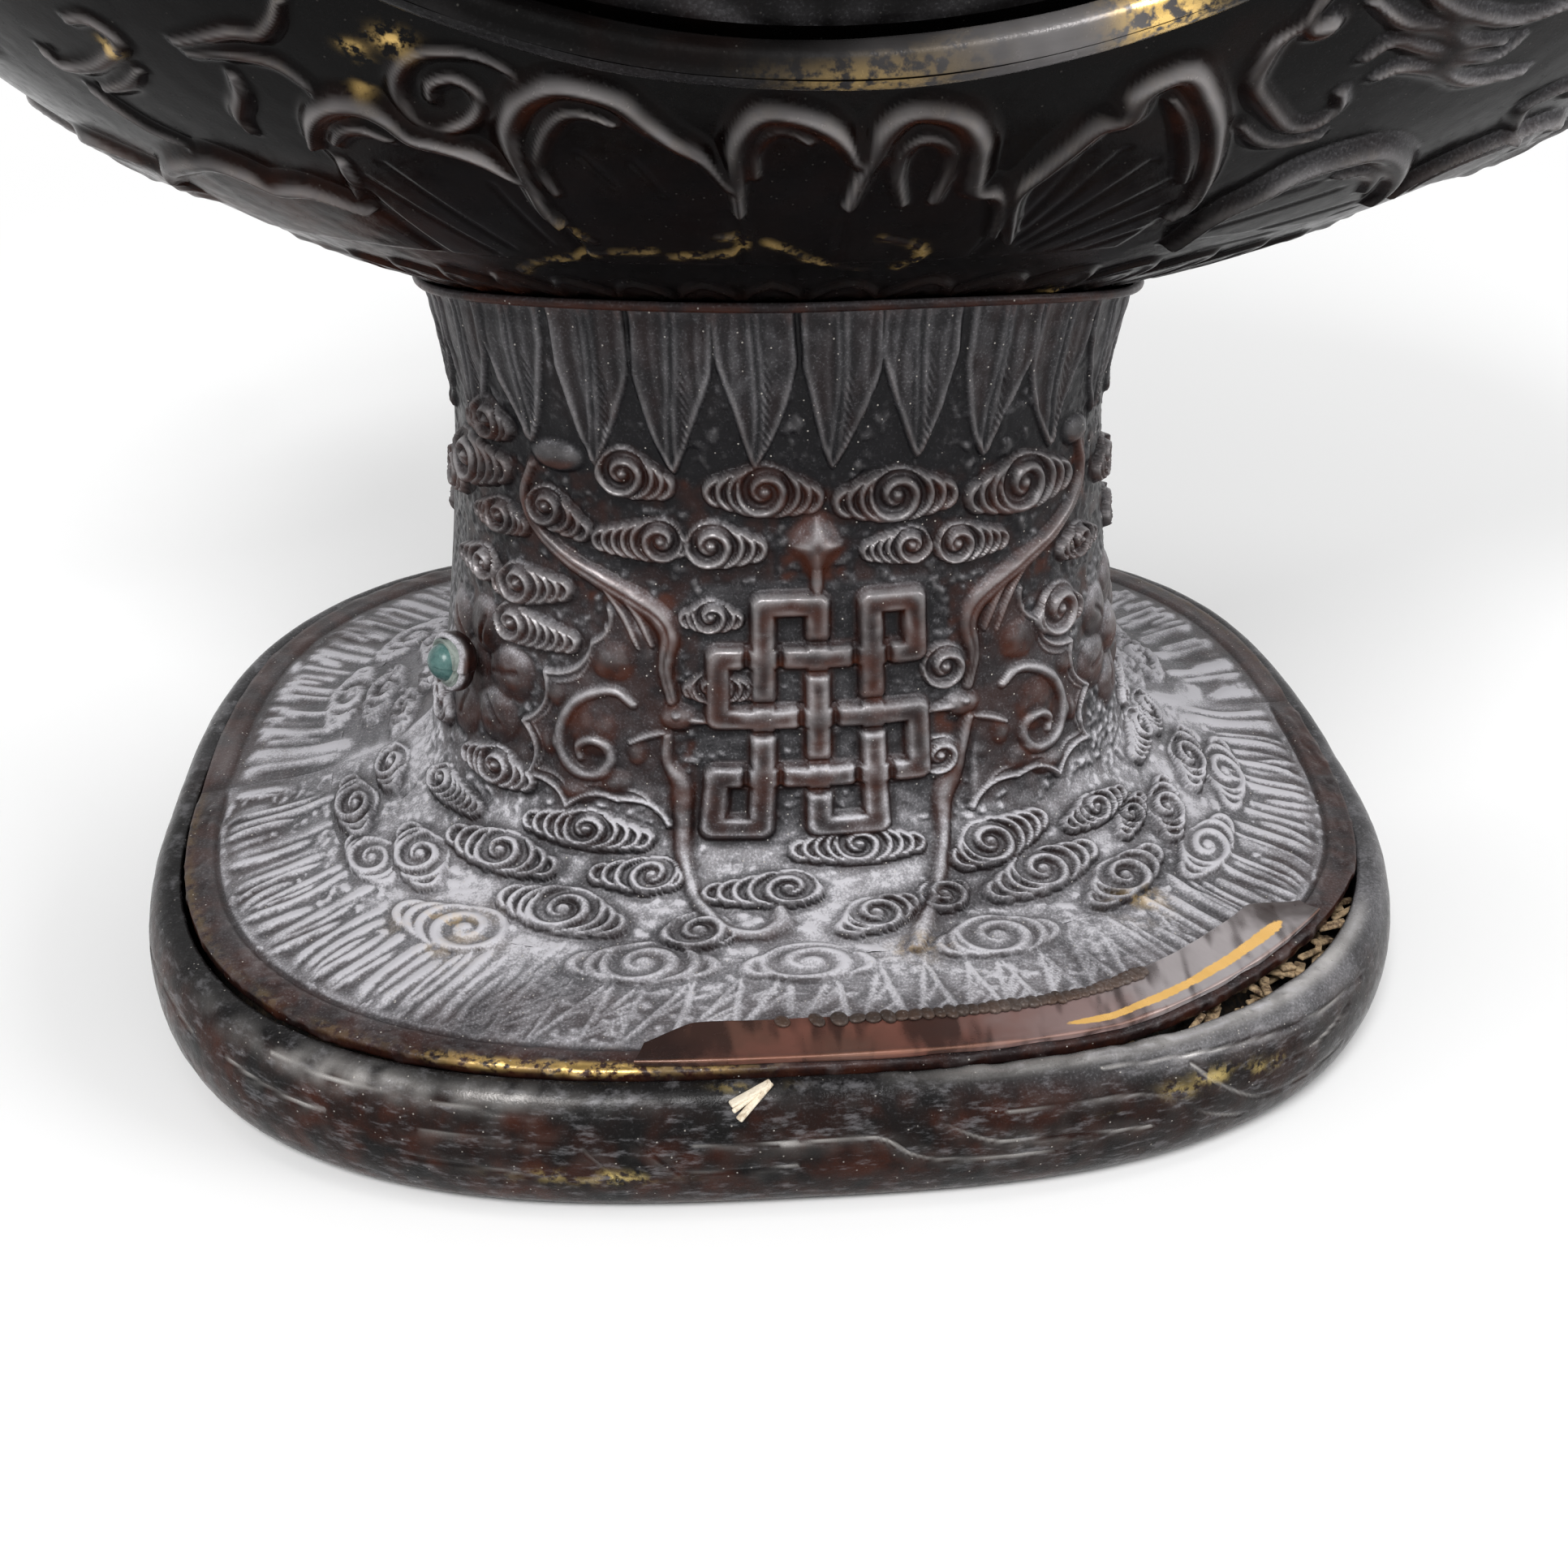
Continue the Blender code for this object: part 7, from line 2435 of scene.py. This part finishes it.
@dataclass
class Stage:
    """The pale floor, the soft lights and the camera."""

    lens: float = 36.0 * 2200.0 / 1932.0
    yaw: float = -3.96
    lift: float = 32.7
    aim: tuple[float, float, float] = (0.0024, 0, 0.00992)
    away: float = 0.23986
    floor: float = 3.0
    paper: float = 0.16
    fill: float = 0.44

    def build(self) -> None:
        """Sets the floor, the light and the camera."""
        self.ground()
        self.world()
        self.lights()
        self.camera()

    def ground(self) -> None:
        """Lays the floor, which keeps the shadow and is plain white far off."""
        bm = bmesh.new()
        bmesh.ops.create_grid(bm, x_segments=2, y_segments=2, size=self.floor)
        mesh = meshed(bm, "floor")
        made, g, shader = blank("floor_paper")
        tone = g.spread(g.noise(3, 2), 0.2, 0.8, 0, 1)
        g.feed(shader.inputs["Base Color"], g.blend(tone, (0.88, 0.88, 0.88), (0.9, 0.9, 0.9)))
        shader.inputs["Roughness"].default_value = 0.9
        away = g.node("ShaderNodeVectorMath", operation="LENGTH")
        g.feed(away.inputs[0], g.places())
        mixed = g.node("ShaderNodeMixShader")
        g.feed(mixed.inputs[0], g.times(g.seen(), g.spread(away.outputs["Value"], self.paper, 3 * self.paper)))
        g.feed(mixed.inputs[1], shader.outputs[0])
        g.feed(mixed.inputs[2], g.node("ShaderNodeEmission").outputs[0])
        g.feed(made.node_tree.nodes["Material Output"].inputs["Surface"], mixed.outputs[0])
        mesh.materials.append(made)
        floor = linked("floor", mesh)
        floor.location.z = -0.0003

    def world(self) -> None:
        """Sets a weak even fill that looks white, also in reflections."""
        world = bpy.data.worlds.new("studio")
        world.use_nodes = True
        bpy.context.scene.world = world
        g = Graph(world.node_tree)
        sky = world.node_tree.nodes["Background"]
        sky.inputs["Color"].default_value = (1, 1, 1, 1)
        g.feed(sky.inputs["Strength"], g.math("MAXIMUM", g.seen(), self.fill))

    def lights(self) -> None:
        """Hangs the soft lights."""
        for name, spot, aim, size, power in (
            ("key", (-0.2, -0.62, 0.85), (0, -0.03, 0.04), 0.36, 8),
            ("top", (0.1, 0.15, 1.1), (0, 0, 0), 0.8, 5),
            ("side", (0.8, -0.35, 0.5), (0, -0.03, 0.05), 0.4, 3),
        ):
            lamp = bpy.data.lights.new(name, "AREA")
            lamp.shape, lamp.size, lamp.energy = "DISK", size, power
            made = linked(name, lamp)
            made.location = spot
            made.rotation_euler = (Vector(aim) - Vector(spot)).to_track_quat("-Z", "Y").to_euler()

    def camera(self) -> None:
        """Stands the camera where the photograph was taken."""
        yaw, lift = math.radians(self.yaw), math.radians(self.lift)
        back = Vector((math.sin(yaw) * math.cos(lift), -math.cos(yaw) * math.cos(lift), math.sin(lift)))
        lens = bpy.data.cameras.new("camera")
        lens.lens, lens.sensor_width, lens.sensor_fit = self.lens, 36, "HORIZONTAL"
        lens.clip_start, lens.clip_end = 0.01, 20
        lens.dof.use_dof = False
        made = linked("camera", lens)
        made.location = Vector(self.aim) + back * self.away
        made.rotation_euler = (-back).to_track_quat("-Z", "Y").to_euler()
        bpy.context.scene.camera = made


def main() -> None:
    """Builds the ewer's looks and the stage."""
    logging.basicConfig(level=logging.INFO, format="%(message)s")
    scene = bpy.context.scene
    scene.view_settings.view_transform = "Standard"
    Stage().build()
    for part in (Foot(), Rim(), Border(), Setting("left"), Setting("right"), Body(), Neck(), Lid(), Spout(), Handle()):
        part.build()
    Kept().dress()


if __name__ == "__main__":
    main()
